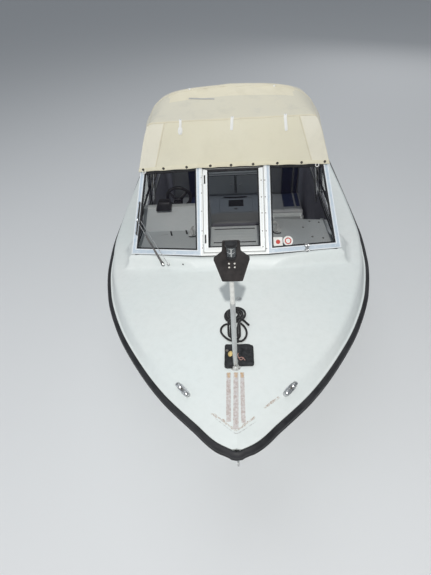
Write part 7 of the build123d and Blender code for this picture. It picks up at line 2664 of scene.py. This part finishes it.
# plate, strut, bullet, skeg
rows = []
for z, k in ((-275.8, 5), (-274.5, 1.5), (-272.5, 0), (-265.5, 0), (-263.5, 1.5), (-262.3, 5)):
    rows.append(superellipse(5650 + k * 1.2, 6000 - k * 1.2, 104.5 - k, 3.4, 56, z, 0.55))
lg.append(grid_object("plate", rows, "motor", close_v=True, caps=True, angle=40))
rows = []
for z, s0, s1, hw in ((-262.5, 5681, 5849, 32), (-300, 5681, 5849, 24), (-360, 5681, 5849, 20), (-415, 5681, 5849, 24), (-440, 5682, 5850, 34)):
    rows.append(foil(s0, s1, hw, z))
lg.append(grid_object("strut", rows, "motor", close_v=True, caps=True, angle=50))
bul = [(0.0, -0.0015)]
for t in np.linspace(0.05, 1, 14):
    bul.append((0.0455 * math.sin(math.pi / 2 * t) ** 0.8, 0.062 * t ** 1.6))
bul += [(0.0458, 0.110), (0.0452, 0.160), (0.0420, 0.205), (0.0385, 0.229), (0, 0.2295)]
lg.append(lathe("bullet", bul, mm(0, 5637.5, -455), (0, 1, 0), "motor", n=36, angle=50))
sk = [(5702, -482), (5852, -482), (5850, -520), (5838, -645), (5830, -653), (5790, -655), (5779, -650), (5742, -570)]
rows = []
for x, k in ((-4.8, 4), (-3.6, 0.8), (0, 0), (3.6, 0.8), (4.8, 4)):
    c_ = np.mean(np.array(sk, float), axis=0)
    row = []
    for p in densify(sk, 22):
        d_ = np.array(p, float) - c_
        q_ = np.array(p, float) - d_ / np.linalg.norm(d_) * k
        row.append(mm(x, q_[0], q_[1]))
    rows.append(row)
lg.append(grid_object("skeg", rows, "motor", close_v=True, caps=True, angle=50))
# water intake grille of dark boxes as painted shade, trim tab
for sx in (-1, 1):
    for i in range(5):
        lg.append(bevel_box("grille", mm(min(sx * 16, sx * 21.5), 5722 + i * 12, -350), mm(max(sx * 16, sx * 21.5), 5728 + i * 12, -310), 0.0015, "dark"))
lg.append(bevel_box("trim_tab", mm(-5, 5905, -318), mm(5, 5968, -276.4), 0.003, "worn_steel"))
leg_o = join("motor_leg_casting", lg)
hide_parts("motor_leg")
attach(leg_o, "motor_steer")

# propeller: hub with spinner, three twisted blades
pr = [lathe("hub", [(0, -0.0415), (0.034, -0.0415), (0.0375, -0.038), (0.0375, 0.030), (0.034, 0.040), (0.024, 0.0415), (0.020, 0.0420), (0.020, 0.0500), (0.012, 0.0560), (0, 0.0570)], mm(0, 5917, -455), (0, 1, 0), "motor", n=32, angle=40)]
for b_ in range(3):
    rows = []
    th = math.radians(90 + 120 * b_)
    for r in np.linspace(0.034, 0.149, 16):
        t = (r - 0.034) / 0.115
        ch = 0.044 * (0.62 + 1.5 * t - 1.55 * t * t) * (max(0.0, 1 - max(0.0, t - 0.8) / 0.2) ** 0.5 if t > 0.8 else 1.0) + 0.003
        pitch = math.atan2(0.036, r * 0.9)
        thk = 0.0052 * (1 - 0.72 * t)
        row = []
        sk_ = 0.10 * t * t
        for q in np.linspace(0, 2 * math.pi, 20, endpoint=False):
            u_, v_ = ch * math.cos(q), thk * math.sin(q) * (1 - 0.25 * math.cos(q))
            ax = u_ * math.sin(pitch) + v_ * math.cos(pitch)
            tg = u_ * math.cos(pitch) - v_ * math.sin(pitch)
            ang = th + tg / r + sk_
            row.append((r * math.cos(ang), 5.917 - HALF + ax, -0.455 + r * math.sin(ang)))
        rows.append(row)
    pr.append(grid_object("blade", rows, "prop_alloy", close_v=True, caps=True, angle=60))
prop = join("propeller_wheel", pr)
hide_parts("propeller")
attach(prop, "propeller")

# swivel bracket
sw = [tube("cross_tube", [mm(x, 5546, 300) for x in (-85.8, -84, -40, 0, 40, 84, 85.8)], 0.0297, "motor", n=28),
      tube("steer_tube", [mm(0, 5622, z) for z in (-99.5, -97, 0, 120, 250, 337, 339.5)], 0.0356, "motor", n=30),
      bevel_box("web_top", mm(-33.5, 5548, 251), mm(33.5, 5621, 329), 0.010, "motor", seg=4),
      bevel_box("web", mm(-27.5, 5545, -89), mm(27.5, 5621, 251), 0.012, "motor", seg=4)]
for z in (-86, 326):
    rows = [superellipse(5622 - 39, 5622 + 39, 37.0 if k == 0 else 38.5, 2.0, 40, z + h) for k, h in ((0, -4), (1, -2), (1, 3), (0, 5))]
    sw.append(grid_object("collar", [[(p[0] * 0.96, 5.622 - HALF + (p[1] - (5.622 - HALF)) * 0.96, p[2]) for p in row] for row in rows], "motor", close_v=True, caps=True, angle=40))
swo = join("swivel_casting", sw)
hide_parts("swivel_bracket")
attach(swo, "motor_tilt")

# clamp bracket: screws and adjustment holes added to the plates
cb = []
for sx in (-1, 1):
    # adjustment holes as dark discs: painted shade
    for z in (150, 190, 228):
        cb.append(lathe("hole", [(0, 0), (0.0062, 0), (0.0062, 0.0008), (0, 0.0008)], mm(sx * 108, 5545, z - 60), (sx, 0, 0), "dark", n=16))
    cb.append(lathe("tilt_nut", [(0, 0), (0.0175, 0), (0.0175, 0.007), (0.0150, 0.0095), (0, 0.0095)], mm(sx * 108, 5546, 300), (sx, 0, 0), "worn_steel", n=6, angle=20))
    for z in (60, 180):
        cb.append(lathe("bolt", [(0, 0), (0.0095, 0), (0.0095, 0.006), (0.0080, 0.008), (0, 0.008)], mm(sx * 108, 5520, z), (sx, 0, 0), "worn_steel", n=6, angle=20))
cbo = join("clamp_fittings", cb)
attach(cbo, "boat")
# =====================================================================================================
# CAD nodes that stay, with their finishes
# =====================================================================================================
KEEP = {
    # cuddy bulkhead: darkened liner, painted shade under the dash
    "cockpit_sole": "sole", "sole_hatch": "sole", "cuddy_bulkhead": "liner_painted_shade", "cuddy_door": "liner", "cuddy_door_hinges": "steel",
    "dashboard_port": "liner", "dashboard_helm": "liner", "instrument_box": "plastic", "companion_step": "liner",
    "steering_column": "plastic", "steering_wheel": "plastic", "throttle_control": "plastic",
    "windscreen_frame": "alloy", "windscreen_glass_port": "glass", "windscreen_glass_starboard": "glass", "side_glass": "glass",
    "centre_screen_frame": "alloy", "centre_screen_glass": "glass", "centre_screen_hinges": "white_profile",
    "canopy": "canvas_roof", "canopy_hoops": "steel", "helm_seat_base": "liner", "passenger_seat_base": "liner",
    "helm_seat_cushion": "vinyl_grey", "helm_seat_back": "vinyl_grey", "passenger_seat_cushion": "vinyl_grey", "passenger_seat_back": "vinyl_grey",
    "aft_bench": "liner", "bench_door_port": "liner", "bench_door_starboard": "liner", "bench_door_hinges": "steel",
    "bench_cushion": "vinyl_grey", "bench_back": "vinyl_grey", "mast_foot": "mast", "mast_tube": "mast", "light_board": "board",
    "mast_head": "mast", "nav_light": "plastic", "mooring_pad": "pad", "bow_chocks": "steel", "side_cleats": "steel", "bow_eye": "steel",
    "stern_eye_port": "steel", "stern_eye_starboard": "steel", "wiper": "wiper", "clamp_bracket": "motor", "swivel_bracket": "motor",
    "motor_leg": "motor", "motor_cowl": "cowl", "engine_block": "iron", "propeller": "motor", "rope_coil": "rope",
}
for node, key in KEEP.items():
    ob = NODES[node]
    ob.data.materials.clear()
    ob.data.materials.append(MATS[key].m)

# =====================================================================================================
# floor
# =====================================================================================================
floor = bevel_box("studio_floor", (-40, -40, -0.02), (40, 40, 0.0), 0, "floor")
